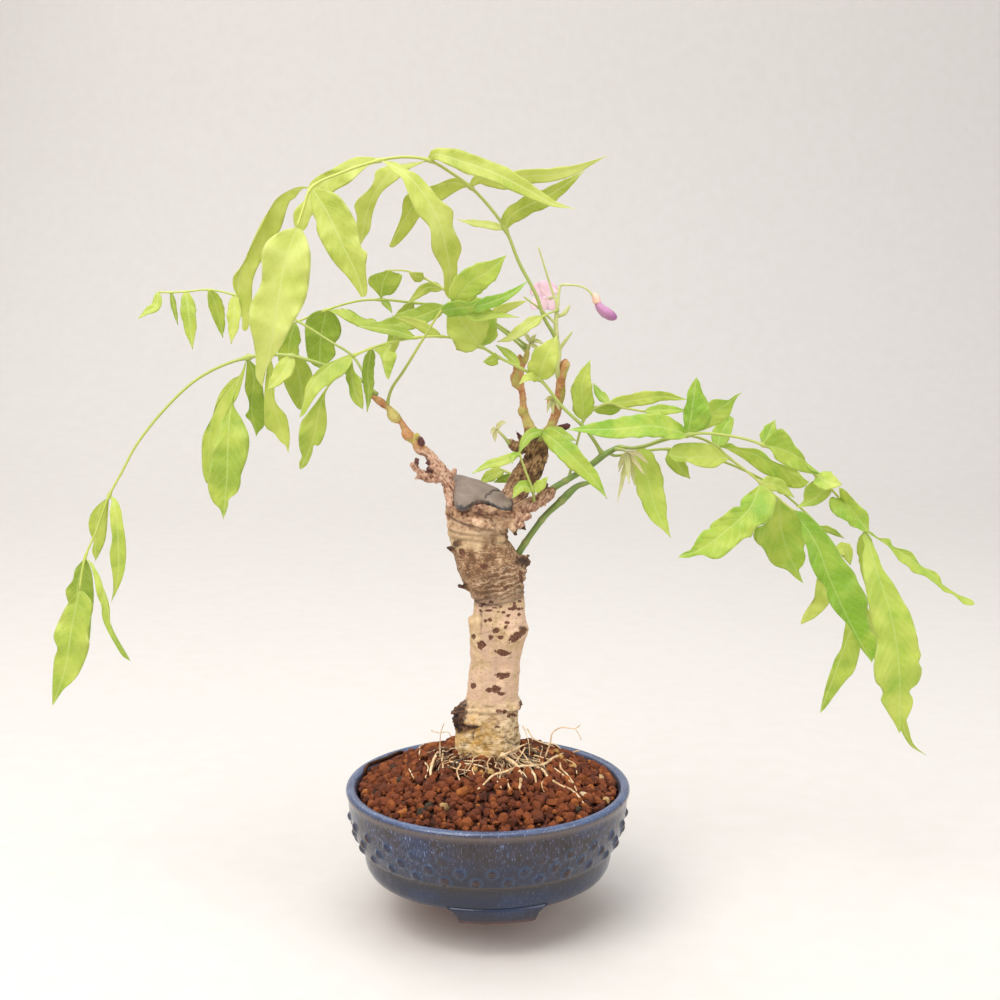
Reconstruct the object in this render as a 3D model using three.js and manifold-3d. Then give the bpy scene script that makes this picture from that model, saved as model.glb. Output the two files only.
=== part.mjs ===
// A potted Japanese wisteria: a stub-topped trunk with drooping pinnate leaves in a studded drum bowl.
// Every piece is worked out about the pot's axis, on the surface that the pot stands on.
import * as THREE from "three";
import { mergeVertices } from "three/addons/utils/BufferGeometryUtils.js";
import Module from "manifold-3d";

const wasm = await Module();
wasm.setup();

// Driving dimensions, in millimetres
const LIP_RADIUS = 70;
const LIP_HEIGHT = 45.3;
const FLOOR_HEIGHT = 8.5;
const UNDERSIDE = 4.5;
const DRAIN_RADIUS = 9;
const POT_SIDES = 56;
const STUD_TURN = 2.2;
const CLEARANCE = 0.3;
const BLADE_THICKNESS = 0.7;
const GRAIN_SPACING = 6;
const GRAIN_RELIEF = 1.5;
const MOUND_EDGE = 43.5;
const MOUND_RISE = 22;
const MOUND_RADIUS = 63;

// The plant's places are read from the front: x and z on the upright plane through the pot's axis,
// and y as the true depth, so a point slides along the line of sight from this viewpoint.
const VIEWPOINT = new THREE.Vector3(6, -662, 282);

const COLOURS = {
  glaze: "#2b3352",
  net: "#1b1c1e",
  steel: "#8d8f90",
  soil: "#6b3222",
  bark: "#b99a74",
  paste: "#8f8379",
  wire: "#2a211d",
  shoot: "#6f9a3e",
  paleLeaf: "#cdd96b",
  middleLeaf: "#b4cc55",
  richLeaf: "#93bf45",
  youngLeaf: "#d6d98c",
  calyx: "#e3a99a",
  petal: "#b06aae",
  palePetal: "#f1d3e2",
};

const point = (x, y, z) => new THREE.Vector3(x, y, z);

function seen([x, z, y]) {
  const reach = (y - VIEWPOINT.y) / (0 - VIEWPOINT.y);
  return VIEWPOINT.clone().lerp(point(x, 0, z), reach);
}

// A repeatable draw between -1 and 1
let draws = 7;
function draw() {
  draws = (draws * 48271) % 2147483647;
  return (draws / 2147483647) * 2 - 1;
}

function solidOf(geometry) {
  const bare = new THREE.BufferGeometry();
  bare.setAttribute("position", geometry.getAttribute("position"));
  bare.setIndex(geometry.index);
  const merged = mergeVertices(bare, 1e-4);
  const mesh = new wasm.Mesh({
    numProp: 3,
    vertProperties: merged.getAttribute("position").array,
    triVerts: new Uint32Array(merged.index.array),
  });
  return new wasm.Manifold(mesh);
}

function closedSolid(points, faces) {
  const geometry = new THREE.BufferGeometry().setFromPoints(points);
  geometry.setIndex(faces);
  return solidOf(geometry);
}

// Rings of equally many points, joined in order and closed with a fan at each end
function loft(rings) {
  const sides = rings[0].length;
  const points = rings.flat();
  const centre = (ring) => ring.reduce((sum, p) => sum.add(p), point(0, 0, 0)).divideScalar(sides);
  points.push(centre(rings[0]), centre(rings.at(-1)));
  const start = points.length - 2;
  const end = points.length - 1;
  const top = (rings.length - 1) * sides;
  const faces = [];
  for (let side = 0; side < sides; side++) {
    const next = (side + 1) % sides;
    for (let row = 0; row < top; row += sides) {
      faces.push(row + side, row + next, row + next + sides);
      faces.push(row + side, row + next + sides, row + side + sides);
    }
    faces.push(start, next, side, end, top + side, top + next);
  }
  return closedSolid(points, faces);
}

const mix = (from, to, part) => from + (to - from) * part;

// A value along a list of values, part running from 0 to 1
function along(values, part) {
  const place = part * (values.length - 1);
  const step = Math.min(Math.floor(place), values.length - 2);
  return mix(values[step], values[step + 1], place - step);
}

// A round stem of changing radius through places in space
function stem(places, radii, sides = 6, rows = 8, grow = 0) {
  const curve = new THREE.CatmullRomCurve3(places);
  const frames = curve.computeFrenetFrames(rows, false);
  const rings = [];
  for (let row = 0; row <= rows; row++) {
    const middle = curve.getPointAt(row / rows);
    const outward = row === 0 ? -grow : row === rows ? grow : 0;
    middle.addScaledVector(frames.tangents[row], outward);
    const radius = along(radii, row / rows) + grow;
    const ring = [];
    for (let side = 0; side < sides; side++) {
      const angle = (side / sides) * 2 * Math.PI;
      const spoke = middle.clone();
      spoke.addScaledVector(frames.normals[row], radius * Math.cos(angle));
      spoke.addScaledVector(frames.binormals[row], radius * Math.sin(angle));
      ring.push(spoke);
    }
    rings.push(ring);
  }
  return loft(rings);
}

const join = (solids) => wasm.Manifold.union(solids);

// The main body of a solid that a cut has left with scraps
function mainBody(solid) {
  return solid.decompose().reduce((best, body) => (body.volume() > best.volume() ? body : best));
}

const bonsai = new THREE.Group();

function addPiece(name, solid, colour, roughness = 0.6) {
  const { vertProperties, triVerts } = solid.getMesh();
  const geometry = new THREE.BufferGeometry();
  geometry.setAttribute("position", new THREE.BufferAttribute(vertProperties, 3));
  geometry.setIndex(new THREE.BufferAttribute(triVerts, 1));
  geometry.computeVertexNormals();
  const material = new THREE.MeshStandardMaterial({ color: colour, roughness, metalness: 0 });
  const mesh = new THREE.Mesh(geometry, material);
  mesh.name = name;
  bonsai.add(mesh);
}

// The pot: a turned stoneware bowl with three rows of studs, a drain hole and three feet
const STUD_ROWS = [
  { height: 22.3, staggered: true },
  { height: 27.5, staggered: false },
  { height: 33, staggered: true },
];
const STUD_SIDES = 5;
const STUD_RADIUS = 2.2;
const STUD_PROUD = 1.4;

// One facet of the studded band, from its corners: two below and two above, left to right
function studdedFacet(corners, heights) {
  const [a, b, c, d] = corners;
  const foot = a.clone().lerp(b, 0.5);
  const across = b.clone().sub(a).normalize();
  const up = d.clone().lerp(c, 0.5).sub(foot).normalize();
  const outward = across.clone().cross(up);
  const flat = (p) => new THREE.Vector2(p.clone().sub(foot).dot(across), p.clone().sub(foot).dot(up));
  const placed = (p, rise = 0) =>
    foot.clone().addScaledVector(across, p.x).addScaledVector(up, p.y).addScaledVector(outward, rise);
  const centres = heights.map((height) => new THREE.Vector2(0, (height - foot.z) / up.z));
  const holes = centres.map((centre) => {
    const hole = [];
    for (let side = 0; side < STUD_SIDES; side++) {
      const angle = (side / STUD_SIDES) * 2 * Math.PI;
      const edge = new THREE.Vector2(Math.sin(angle), Math.cos(angle));
      hole.push(edge.multiplyScalar(STUD_RADIUS).add(centre));
    }
    return hole;
  });
  const contour = corners.map(flat);
  const all = [...contour, ...holes.flat()];
  const plain = THREE.ShapeUtils.triangulateShape(contour, holes);
  const triangles = plain.map((face) => face.map((i) => placed(all[i])));
  holes.forEach((hole, i) => {
    const top = placed(centres[i], STUD_PROUD);
    hole.forEach((p, side) => triangles.push([placed(hole[(side + 1) % STUD_SIDES]), placed(p), top]));
  });
  return triangles;
}

function potWall() {
  const profile = [
    [DRAIN_RADIUS, UNDERSIDE],
    [53, UNDERSIDE],
    [59.6, 9.8],
    [60.8, 17.8],
    [63.6, 19.2],
    [68.3, 39.4],
    [LIP_RADIUS, 43],
    [LIP_RADIUS - 2.5, LIP_HEIGHT],
    [64.8, 43.5],
    [59, FLOOR_HEIGHT],
    [DRAIN_RADIUS, FLOOR_HEIGHT],
  ];
  const studdedBand = 4;
  const corner = (row, side) => {
    const [radius, height] = profile[row % profile.length];
    const turn = THREE.MathUtils.degToRad(STUD_TURN - 90 + ((side - 0.5) * 360) / POT_SIDES);
    return point(radius * Math.cos(turn), radius * Math.sin(turn), height);
  };
  const triangles = [];
  for (let row = 0; row < profile.length; row++) {
    for (let side = 0; side < POT_SIDES; side++) {
      const [a, b] = [corner(row, side), corner(row, side + 1)];
      const [d, c] = [corner(row + 1, side), corner(row + 1, side + 1)];
      if (row === studdedBand) {
        const rows = STUD_ROWS.filter(({ staggered }) => staggered === (side % 2 === 1));
        triangles.push(...studdedFacet([a, b, c, d], rows.map(({ height }) => height)));
      } else {
        triangles.push([a, b, c], [a, c, d]);
      }
    }
  }
  return closedSolid(triangles.flat(), triangles.flat().map((_, i) => i));
}

function foot(turn) {
  const steps = 4;
  const corners = (spread, outer, inner, height) => {
    const ring = [];
    for (const [radius, from, to] of [[outer, -spread, spread], [inner, spread, -spread]]) {
      for (let i = 0; i <= steps; i++) {
        const angle = THREE.MathUtils.degToRad(turn - 90 + mix(from, to, i / steps));
        ring.push(point(radius * Math.cos(angle), radius * Math.sin(angle), height));
      }
    }
    return ring;
  };
  const lower = corners(17.5, 58.8, 51, 0);
  const upper = corners(23, 59.2, 50, 7.5);
  const caps = THREE.ShapeUtils.triangulateShape(lower.map((p) => new THREE.Vector2(p.x, p.y)), []);
  const sides = lower.length;
  const faces = [];
  for (const [a, b, c] of caps) {
    faces.push(c, b, a, a + sides, b + sides, c + sides);
  }
  for (let side = 0; side < sides; side++) {
    const next = (side + 1) % sides;
    faces.push(side, next, next + sides, side, next + sides, side + sides);
  }
  return closedSolid([...lower, ...upper], faces);
}

const FOOT_TURNS = [5, 125, 245];
const pot = join([potWall(), ...FOOT_TURNS.map(foot)]);
addPiece("pot", pot, COLOURS.glaze, 0.25);

// The net over the drain hole, and the wire staple that holds it there
const NET_SIZE = 34;
const NET_THICKNESS = 0.8;
const NET_PITCH = 7;
const NET_OPENING = 5;
const NET_BASE = FLOOR_HEIGHT + CLEARANCE;
const STAPLE_RADIUS = 0.6;
const SOIL_POCKET_TOP = NET_BASE + NET_THICKNESS + 2 * STAPLE_RADIUS + 2 * CLEARANCE;

function drainNet() {
  const middle = NET_BASE + NET_THICKNESS / 2;
  const sheet = new THREE.BoxGeometry(NET_SIZE, NET_SIZE, NET_THICKNESS).translate(0, 0, middle);
  const openings = [];
  for (const x of [-1.5, -0.5, 0.5, 1.5]) {
    for (const y of [-1.5, -0.5, 0.5, 1.5]) {
      const opening = new THREE.BoxGeometry(NET_OPENING, NET_OPENING, 2 * NET_THICKNESS);
      openings.push(solidOf(opening.translate(x * NET_PITCH, y * NET_PITCH, middle)));
    }
  }
  return solidOf(sheet).subtract(join(openings));
}

function netStaple() {
  const bridge = NET_BASE + NET_THICKNESS + CLEARANCE + STAPLE_RADIUS;
  const under = UNDERSIDE - CLEARANCE - STAPLE_RADIUS;
  const row = NET_PITCH / 2;
  const half = [
    [0, bridge],
    [2.4, bridge],
    [3.5, bridge - 1.2],
    [3.5, under + 1.4],
    [4.6, under],
    [15, under],
  ];
  const left = half.slice(1).reverse().map(([x, z]) => point(-x, row, z));
  const right = half.map(([x, z]) => point(x, row, z));
  return stem([...left, ...right], [STAPLE_RADIUS, STAPLE_RADIUS], 5, 18);
}

addPiece("drain_net", drainNet(), COLOURS.net);
addPiece("net_staple", netStaple(), COLOURS.steel, 0.35);

// The soil's mound, without its grains
function moundHeight(radius) {
  const spread = Math.min(radius / MOUND_RADIUS, 1);
  return MOUND_EDGE + MOUND_RISE * Math.pow(1 - Math.pow(spread, 1.6), 1.1);
}

// Where the line of sight through x and z on the upright plane meets the mound
function onSoil([x, z, lift = 0]) {
  let place = seen([x, z, -MOUND_RADIUS]);
  for (let depth = -MOUND_RADIUS; depth < MOUND_RADIUS; depth += 0.5) {
    place = seen([x, z, depth]);
    if (place.z <= moundHeight(Math.hypot(place.x, place.y)) + lift) break;
  }
  return place;
}

// The trunk: height, and its left and right edges there
const TRUNK_EDGES = [
  [33, -17, 17],
  [46, -19, 19],
  [58.6, -16.2, 16.4],
  [63.7, -16.2, 15.9],
  [74, -15.7, 15.4],
  [83, -15.6, 14.6],
  [87, -11.6, 17],
  [91, -10.6, 14.9],
  [109.3, -8.2, 15.8],
  [114.5, -8.6, 17],
  [124.4, -8.6, 19.9],
  [129.3, -9.1, 18.2],
  [139.3, -6.1, 18.1],
  [144.2, -8.6, 17.4],
  [149.2, -9.5, 16.9],
  [154.1, -14.4, 19.1],
  [159, -14.8, 16.9],
  [163.9, -17.2, 13.7],
  [168.8, -18.1, 9.9],
  [178.6, -20, 9.4],
  [183.5, -19.4, 11],
];
const TRUNK_SIDES = 14;

function trunkPost(grow = 0) {
  const rings = TRUNK_EDGES.map(([height, left, right], row) => {
    const radius = (right - left) / 2;
    const ring = [];
    for (let side = 0; side < TRUNK_SIDES; side++) {
      const angle = (side / TRUNK_SIDES) * 2 * Math.PI;
      const knots = 0.05 * Math.sin(3 * angle + height / 7) + 0.035 * Math.sin(5 * angle - height / 4);
      const edge = Math.abs(Math.cos(angle));
      const reach = radius * (1 + knots * (1 - edge)) + grow;
      const depth = 0.92 * reach * Math.sin(angle);
      const lean = row >= TRUNK_EDGES.length - 1 ? -0.28 * reach * Math.cos(angle) : 0;
      ring.push(point((left + right) / 2 + reach * Math.cos(angle), depth, height + lean));
    }
    return ring;
  });
  return loft(rings);
}

// Woody branches, spurs and buds: the radii along each, and its places
const WOOD = {
  leftBranch: [[4.4, 3.4, 2.5, 1.9, 2.9, 1.8, 1.2], [-10, 180, -1], [-15.5, 189, -2], [-21, 197.5, -3],
    [-27, 206, -4], [-33, 216, -4], [-39, 223, -5], [-44.5, 230, -5], [-50.5, 236, -6], [-57, 242, -7]],
  leftSpur: [[2.4, 1.9, 1.5, 1.3], [-24, 200.5, -3.5], [-30, 199.5, -5], [-36, 201.5, -7],
    [-40.5, 206.5, -8]],
  leftThorn: [[1.2, 0.7], [-33, 200, -6], [-38.5, 198, -6]],
  leftBud: [[1.2, 1.7, 0.6], [-26.5, 208, -4], [-29.5, 206.5, -6], [-31.5, 204, -7]],
  leftTopBud: [[1.3, 1.9, 0.7], [-33.5, 215.5, -4], [-32.5, 217.5, -6], [-33.5, 220.5, -6]],
  leftDarkBud: [[1.2, 1.6, 0.6], [-33, 213.5, -5], [-30.5, 215.5, -7], [-30.8, 218.5, -8]],
  spurBud: [[1, 1.5, 0.6], [-39, 204, -8], [-37, 206.5, -8], [-36.5, 209.5, -8]],
  backBranch: [[6, 5, 5.6, 6.2, 5.2, 4.2], [4, 178, 3], [13, 192, 6], [17.5, 199, 8], [22, 206, 9],
    [24, 213, 9], [24.5, 220, 9]],
  leftTwig: [[2.9, 2.2, 2.7, 1.7, 2.3, 1.8, 1.9], [23, 218, 9], [19.5, 225, 9], [17.4, 231, 9],
    [16.8, 239, 8], [14.8, 247, 7], [15.2, 254, 6], [15.6, 258.5, 6]],
  leftTwigTip: [[1.6, 1.4, 1], [15.6, 252, 6], [18.2, 256, 4], [19.4, 262.5, 3]],
  rightTwig: [[3, 2.4, 2.3, 2.5, 2.7], [26.5, 218, 10], [31, 225, 11], [33.5, 233, 12], [34.6, 241, 12],
    [35.6, 249, 12], [37.5, 256, 12]],
  rightTwigBud: [[1.6, 2.4, 1], [34, 238, 11], [31, 236.5, 9], [28.8, 234, 8]],
  rightSpur: [[1.7, 1.4, 1.7], [27, 219.5, 8], [33, 222.5, 6], [39.8, 224.6, 5]],
  forkBud: [[1.4, 1.6, 0.5], [22.5, 214.6, 7], [16, 218.2, 2], [13.2, 222.5, 1]],
  yellowBud: [[1.6, 2.9, 1.8], [22, 213.5, 7.5], [13, 214.5, 2], [9.5, 217.5, 1]],
  rightStub: [[4.6, 3.6, 2.9, 2.5], [4, 180, -1], [13, 183, -1], [21, 186, 0], [27, 189.5, 1],
    [32.2, 194.6, 2]],
  stubBud: [[1.4, 1.7, 0.6], [24.5, 189.5, 0], [27.2, 193.2, -2], [29.2, 197, -2]],
  lowSpur: [[1.6, 0.7], [14, 158, 0], [21.5, 160.5, -1]],
  leftKnot: [[2.6, 1.6], [-14, 162, -4], [-19.6, 165, -5]],
};

// Bare roots that leave the trunk's foot and lie on the soil
const ROOTS = [
  [[2.6, 2.1, 1.7, 1.2], [0, 64], [6, 60.1], [11.9, 55.6], [14.9, 48.3], [15.4, 42.5]],
  [[1.6, 1.7, 1.5, 0.9], [-5.4, 42.6], [1.1, 47.8], [8.5, 50.3], [20.9, 50.9], [28.3, 53.4], [34.2, 56.6],
    [41, 57.6]],
  [[1.4, 1.2, 0.8], [24, 51.8], [32.2, 46.2], [40.7, 42.1], [44.7, 37.9], [49.7, 32.7]],
  [[1.1, 1, 0.8], [33.2, 56.6], [35.7, 53.4], [43.2, 47.8], [44.2, 40.5], [48.7, 39.4]],
  [[1.6, 1.1, 0.8], [-8, 62], [-19, 61.5], [-23.6, 60.1], [-27.1, 54.4], [-28.7, 46.8]],
  [[1.8, 1.2, 0.8], [8, 62], [16.4, 59], [24, 57], [30, 57.4]],
];
const ROOT_SUNK = 0.2;

function branches(grow = 0) {
  const solids = [];
  for (const [radii, ...places] of Object.values(WOOD)) {
    const thick = radii[0] > 2.4;
    const rows = Math.round(places.length * (thick ? 1.3 : 0.9));
    solids.push(stem(places.map(seen), radii, thick ? 6 : 4, rows, grow));
  }
  return solids;
}

function surfaceRoots(grow = 0) {
  return ROOTS.map(([radii, ...places]) => {
    const route = places.map(([x, z]) => onSoil([x, z, 0]).add(point(0, 0, radii[1] * ROOT_SUNK)));
    return stem(route, radii, 4, places.length, grow);
  });
}

const trunk = join([trunkPost(), ...branches(), ...surfaceRoots()]);
addPiece("trunk", trunk, COLOURS.bark, 0.85);

// The cut paste on the sawn top: a thin domed cap that leans to the right and towards the front
function cutPaste() {
  const middle = point(-3.4, -1.5, 189.2);
  const facing = point(0.42, -0.36, 1).normalize();
  const across = point(1, 0, -0.42).normalize();
  const back = facing.clone().cross(across);
  const ring = (width, depth, rise) => {
    const sides = 16;
    const places = [];
    for (let side = 0; side < sides; side++) {
      const angle = (side / sides) * 2 * Math.PI;
      const bulge = 1 + 0.05 * Math.sin(3 * angle + 1) + 0.04 * Math.sin(5 * angle);
      const place = middle.clone().addScaledVector(facing, rise);
      place.addScaledVector(across, width * bulge * Math.cos(angle));
      places.push(place.addScaledVector(back, depth * bulge * Math.sin(angle)));
    }
    return places;
  };
  const rings = [ring(15.6, 13.6, -2.4), ring(16.4, 14.2, -0.6), ring(15.4, 13.4, 1), ring(11, 9.5, 2.6)];
  return loft([...rings, ring(5, 4.4, 3.3)]);
}

const woodCutter = join([trunkPost(CLEARANCE), ...branches(CLEARANCE)]);
const pasteCap = mainBody(cutPaste().subtract(woodCutter));
addPiece("cut_paste", pasteCap, COLOURS.paste, 0.7);

// The tie wire: one straight run over the soil at the back left, its ends turned down into it
const WIRE_RADIUS = 0.75;
const wireRun = [point(-59.4, 17, 46.6), point(-43, 43.8, 46.6)];
function anchorWire(grow = 0) {
  const [start, finish] = wireRun;
  const heading = finish.clone().sub(start).normalize();
  const places = [
    start.clone().add(point(0, 0, -9)),
    start.clone().add(point(0, 0, -1.5)),
    start.clone().addScaledVector(heading, 1.5),
    start.clone().lerp(finish, 0.5),
    finish.clone().addScaledVector(heading, -1.5),
    finish.clone().add(point(0, 0, -1.5)),
    finish.clone().add(point(0, 0, -9)),
  ];
  return stem(places, [WIRE_RADIUS, WIRE_RADIUS], 4, 12, grow);
}
addPiece("anchor_wire", anchorWire(), COLOURS.wire, 0.5);

// The soil: a bowl of fired clay grains, its top raised in grains, with plain holes for what stands in it
function soilBody() {
  const rings = [[point(0, 0, MOUND_EDGE + MOUND_RISE)]];
  const circle = (radius, count, height) => {
    const ring = [];
    for (let i = 0; i < count; i++) {
      const angle = ((i + 0.3 * draw()) / count) * 2 * Math.PI;
      ring.push(point(radius * Math.cos(angle), radius * Math.sin(angle), height(radius)));
    }
    return ring;
  };
  const grains = (radius) => moundHeight(radius) + GRAIN_RELIEF * draw();
  const ringCount = Math.floor(MOUND_RADIUS / GRAIN_SPACING);
  for (let i = 1; i <= ringCount; i++) {
    const radius = i * GRAIN_SPACING;
    rings.push(circle(radius, Math.round((2 * Math.PI * radius) / GRAIN_SPACING), grains));
  }
  const even = (radius, height) => {
    const ring = [];
    for (let i = 0; i < POT_SIDES; i++) {
      const angle = (i / POT_SIDES) * 2 * Math.PI;
      ring.push(point(radius * Math.cos(angle), radius * Math.sin(angle), height));
    }
    return ring;
  };
  const inset = CLEARANCE + 0.25;
  rings.push(even(64.3 - inset, 41), even(59 - inset, NET_BASE));
  rings.push([point(0, 0, NET_BASE)]);

  const points = [];
  const starts = rings.map((ring) => points.push(...ring) - ring.length);
  const faces = [];
  for (let row = 0; row < rings.length - 1; row++) {
    const inner = rings[row].length;
    const outer = rings[row + 1].length;
    let i = 0;
    let o = 0;
    while (i < (inner > 1 ? inner : 0) || o < (outer > 1 ? outer : 0)) {
      const a = starts[row] + (i % inner);
      const b = starts[row + 1] + (o % outer);
      const outerTurn = outer > 1 && (inner === 1 || (o + 1) / outer <= (i + 1) / inner || i >= inner);
      if (outerTurn && o < outer) {
        faces.push(a, b, starts[row + 1] + ((o + 1) % outer));
        o += 1;
      } else {
        faces.push(a, b, starts[row] + ((i + 1) % inner));
        i += 1;
      }
    }
  }
  return closedSolid(points, faces);
}

const pocketSide = NET_SIZE + 2 * CLEARANCE;
const netPocket = new THREE.BoxGeometry(pocketSide, pocketSide, 2 * (SOIL_POCKET_TOP - NET_BASE));
const soilCutter = join([
  solidOf(netPocket.translate(0, 0, NET_BASE)),
  trunkPost(CLEARANCE),
  ...surfaceRoots(CLEARANCE),
  anchorWire(CLEARANCE),
]);
addPiece("soil", mainBody(soilBody().subtract(soilCutter)), COLOURS.soil, 0.95);

// Green shoots of the year: the radii along each, and its places
const SHOOTS = {
  shoot_low: [[2.1, 1.8, 1.8, 2.3, 1], [13.5, 160, 3], [18.5, 168, 4], [23, 174.5, 5], [28, 181, 6],
    [35.5, 188, 7],
    [43, 195, 7], [48, 196.6, 7], [50, 197, 7]],
  shoot_high: [[1.9, 1.7, 1.7, 2, 1.3], [30, 193, 3], [34, 195.6, 4], [44, 201.6, 5], [51, 206.4, 4],
    [55.5, 210, 3], [63, 214.2, 2]],
  shoot_flowering: [[1.7, 1.5, 1.4, 1.1, 0.8], [34, 247, 12], [33, 252, 9.5], [34, 259, 9], [32.6, 267, 8],
    [32.6, 276, 8], [33.4, 284, 8], [34, 290, 8]],
};

function shoot(name, grow = 0) {
  const [radii, ...places] = SHOOTS[name];
  return stem(places.map(seen), radii, 5, Math.round(places.length * 1.3), grow);
}

// The raceme's thin parts: a flower stalk that droops to the bud, bare stalks and a curled bract
const RACEME_PARTS = [
  [[0.8, 0.6, 0.55, 0.6], [33.8, 288, 8], [34.6, 290.4, 8], [38.5, 290.7, 7], [44, 290, 6], [48, 287.8, 5],
    [50.2, 284.6, 5]],
  [[0.8, 0.5], [32.8, 272, 8], [26, 278.5, 5], [17, 285.4, 2]],
  [[0.7, 0.5], [33, 281, 8], [30.2, 289, 9], [27, 299, 9], [24, 308.5, 9]],
  [[0.9, 1.3, 0.6], [33.6, 276, 8], [36.5, 277.5, 6], [39, 281.2, 5]],
  [[0.8, 1, 0.5], [33.8, 259, 9], [35.6, 262.5, 9], [40.2, 268.8, 8]],
  [[0.7, 0.6], [33.2, 283, 8], [31.5, 284.6, 12], [28.5, 284.5, 15.5]],
];

const shootCutter = join([woodCutter, ...Object.keys(SHOOTS).map((name) => shoot(name, CLEARANCE))]);
for (const name of ["shoot_low", "shoot_high"]) {
  addPiece(name, mainBody(shoot(name).subtract(woodCutter)), COLOURS.shoot);
}
const raceme = RACEME_PARTS.map(([radii, ...places]) => stem(places.map(seen), radii, 3, places.length));
const floweringShoot = join([shoot("shoot_flowering"), ...raceme]).subtract(woodCutter);
addPiece("shoot_flowering", mainBody(floweringShoot), COLOURS.shoot);

// The flowers: a closed violet bud in its calyx, and an open pale one behind it
function budSolid(places, radii, flat) {
  const curve = new THREE.CatmullRomCurve3(places.map(seen));
  const rows = radii.length - 1;
  const frames = curve.computeFrenetFrames(rows, false);
  const rings = radii.map((radius, row) => {
    const middle = curve.getPointAt(row / rows);
    const ring = [];
    for (let side = 0; side < 7; side++) {
      const angle = (side / 7) * 2 * Math.PI;
      const spoke = middle.clone().addScaledVector(frames.normals[row], radius * Math.cos(angle));
      ring.push(spoke.addScaledVector(frames.binormals[row], flat * radius * Math.sin(angle)));
    }
    return ring;
  });
  return loft(rings);
}

const budCalyx = budSolid([[50.3, 287, 5], [51, 285, 5], [52.1, 282, 5]], [0.9, 1.8, 2.1, 2], 1);
const stalkCutter = stem(RACEME_PARTS[0].slice(1).map(seen), [1.1, 0.9, 0.85, 0.9], 5, 12, 0);
addPiece("flower_bud_calyx", mainBody(budCalyx.subtract(stalkCutter)), COLOURS.calyx);
const budPetals = budSolid([[52.3, 281.3, 5], [54.5, 279, 5], [58, 276.6, 5], [61.2, 275, 5]],
  [1.8, 3.1, 3.5, 3.1, 1.6], 0.75);
addPiece("flower_bud", budPetals, COLOURS.petal);

// A leaflet or petal: its midrib's places, width and turn about the midrib. A wide one is creased
// along its midrib. Both faces of the waved blade are split into triangles alike, so the blade
// keeps its thickness everywhere.
const CREASED_WIDTH = 12;
function blade({ places, width, roll = 0, fold = 0.16, waves = 2.4, wave = 0.07, fullest = 0.36, steps }) {
  const curve = new THREE.CatmullRomCurve3(places);
  const length = curve.getLength();
  const rows = steps ?? (length < 25 ? 3 : length < 52 ? 4 : 5);
  const across = width < CREASED_WIDTH ? [-1, 1] : [-1, 0, 1];
  const power = fullest / (1 - fullest);
  const phase = draw();
  const points = [];
  for (let row = 0; row <= rows; row++) {
    const part = row / rows;
    const middle = curve.getPointAt(part);
    const tangent = curve.getTangentAt(part);
    const sight = VIEWPOINT.clone().sub(middle).normalize();
    const side = tangent.clone().cross(sight).normalize();
    side.applyAxisAngle(tangent, THREE.MathUtils.degToRad(roll));
    const normal = side.clone().cross(tangent).normalize();
    const fullness = Math.pow(part / fullest, power) * ((1 - part) / (1 - fullest));
    const half = Math.max((width / 2) * Math.pow(fullness, 0.85), 0.45);
    const over = across.map((edge) => {
      const ripple = wave * width * fullness * Math.sin(2 * Math.PI * (waves * part + phase) + edge);
      const lift = edge === 0 ? 0 : fold * half + ripple;
      return middle.clone().addScaledVector(side, edge * half).addScaledVector(normal, lift);
    });
    normal.multiplyScalar(BLADE_THICKNESS / 2);
    points.push(...over.map((p) => p.clone().add(normal)), ...over.map((p) => p.clone().sub(normal)));
  }
  const columns = across.length;
  const ring = 2 * columns;
  const faces = [];
  for (let row = 0; row < rows; row++) {
    for (let column = 0; column < columns - 1; column++) {
      const over = row * ring + column;
      const under = over + columns;
      faces.push(over, over + 1, over + ring + 1, over, over + ring + 1, over + ring);
      faces.push(under, under + ring + 1, under + 1, under, under + ring, under + ring + 1);
    }
    const left = row * ring;
    const right = left + columns - 1;
    faces.push(left, left + ring, left + columns, left + columns, left + ring, left + columns + ring);
    faces.push(right, right + columns, right + ring, right + columns, right + columns + ring, right + ring);
  }
  for (let column = 0; column < columns - 1; column++) {
    const end = rows * ring + column;
    faces.push(column, column + columns, column + 1, column + 1, column + columns, column + columns + 1);
    faces.push(end, end + 1, end + columns, end + 1, end + columns + 1, end + columns);
  }
  return closedSolid(points, faces);
}

// The open flower: a standard in two lobes, two wings and a keel, set one before the other on a
// short heart, all facing the front
const HEART = [27, 284.6];
const PETALS = [
  { depth: 17.6, width: 11, roll: 8, fullest: 0.6, tip: [[25.4, 288, 17.4], [23.4, 292, 18]] },
  { depth: 16.6, width: 11, roll: -8, fullest: 0.6, tip: [[28.6, 288.4, 16.2], [30.6, 292.2, 16.6]] },
  { depth: 15.4, width: 6.5, roll: 20, fullest: 0.55, tip: [[24, 282.6, 15], [20.6, 279.6, 14.4]] },
  { depth: 14.4, width: 6.5, roll: -20, fullest: 0.55, tip: [[29.5, 282, 14], [31.4, 278.8, 13.6]] },
  { depth: 13.2, width: 4, roll: 0, fullest: 0.5, tip: [[26.8, 281.5, 12.6], [26.2, 278, 12.4]] },
];
function openFlower() {
  const heart = [18.4, 16, 12.4].map((depth) => seen([...HEART, depth]));
  const petals = PETALS.map(({ depth, tip, ...form }) => {
    const places = [[...HEART, depth], ...tip].map(seen);
    return blade({ ...form, places, fold: 0.05, wave: 0.06, steps: 3 });
  });
  return join([stem(heart, [0.9, 1.1, 0.6], 5, 2), ...petals]);
}
const flowerStalk = stem(RACEME_PARTS[5].slice(1).map(seen), [1, 0.9], 5, 6, CLEARANCE);
addPiece("flower_open", mainBody(openFlower().subtract(flowerStalk)), COLOURS.palePetal);

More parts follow.
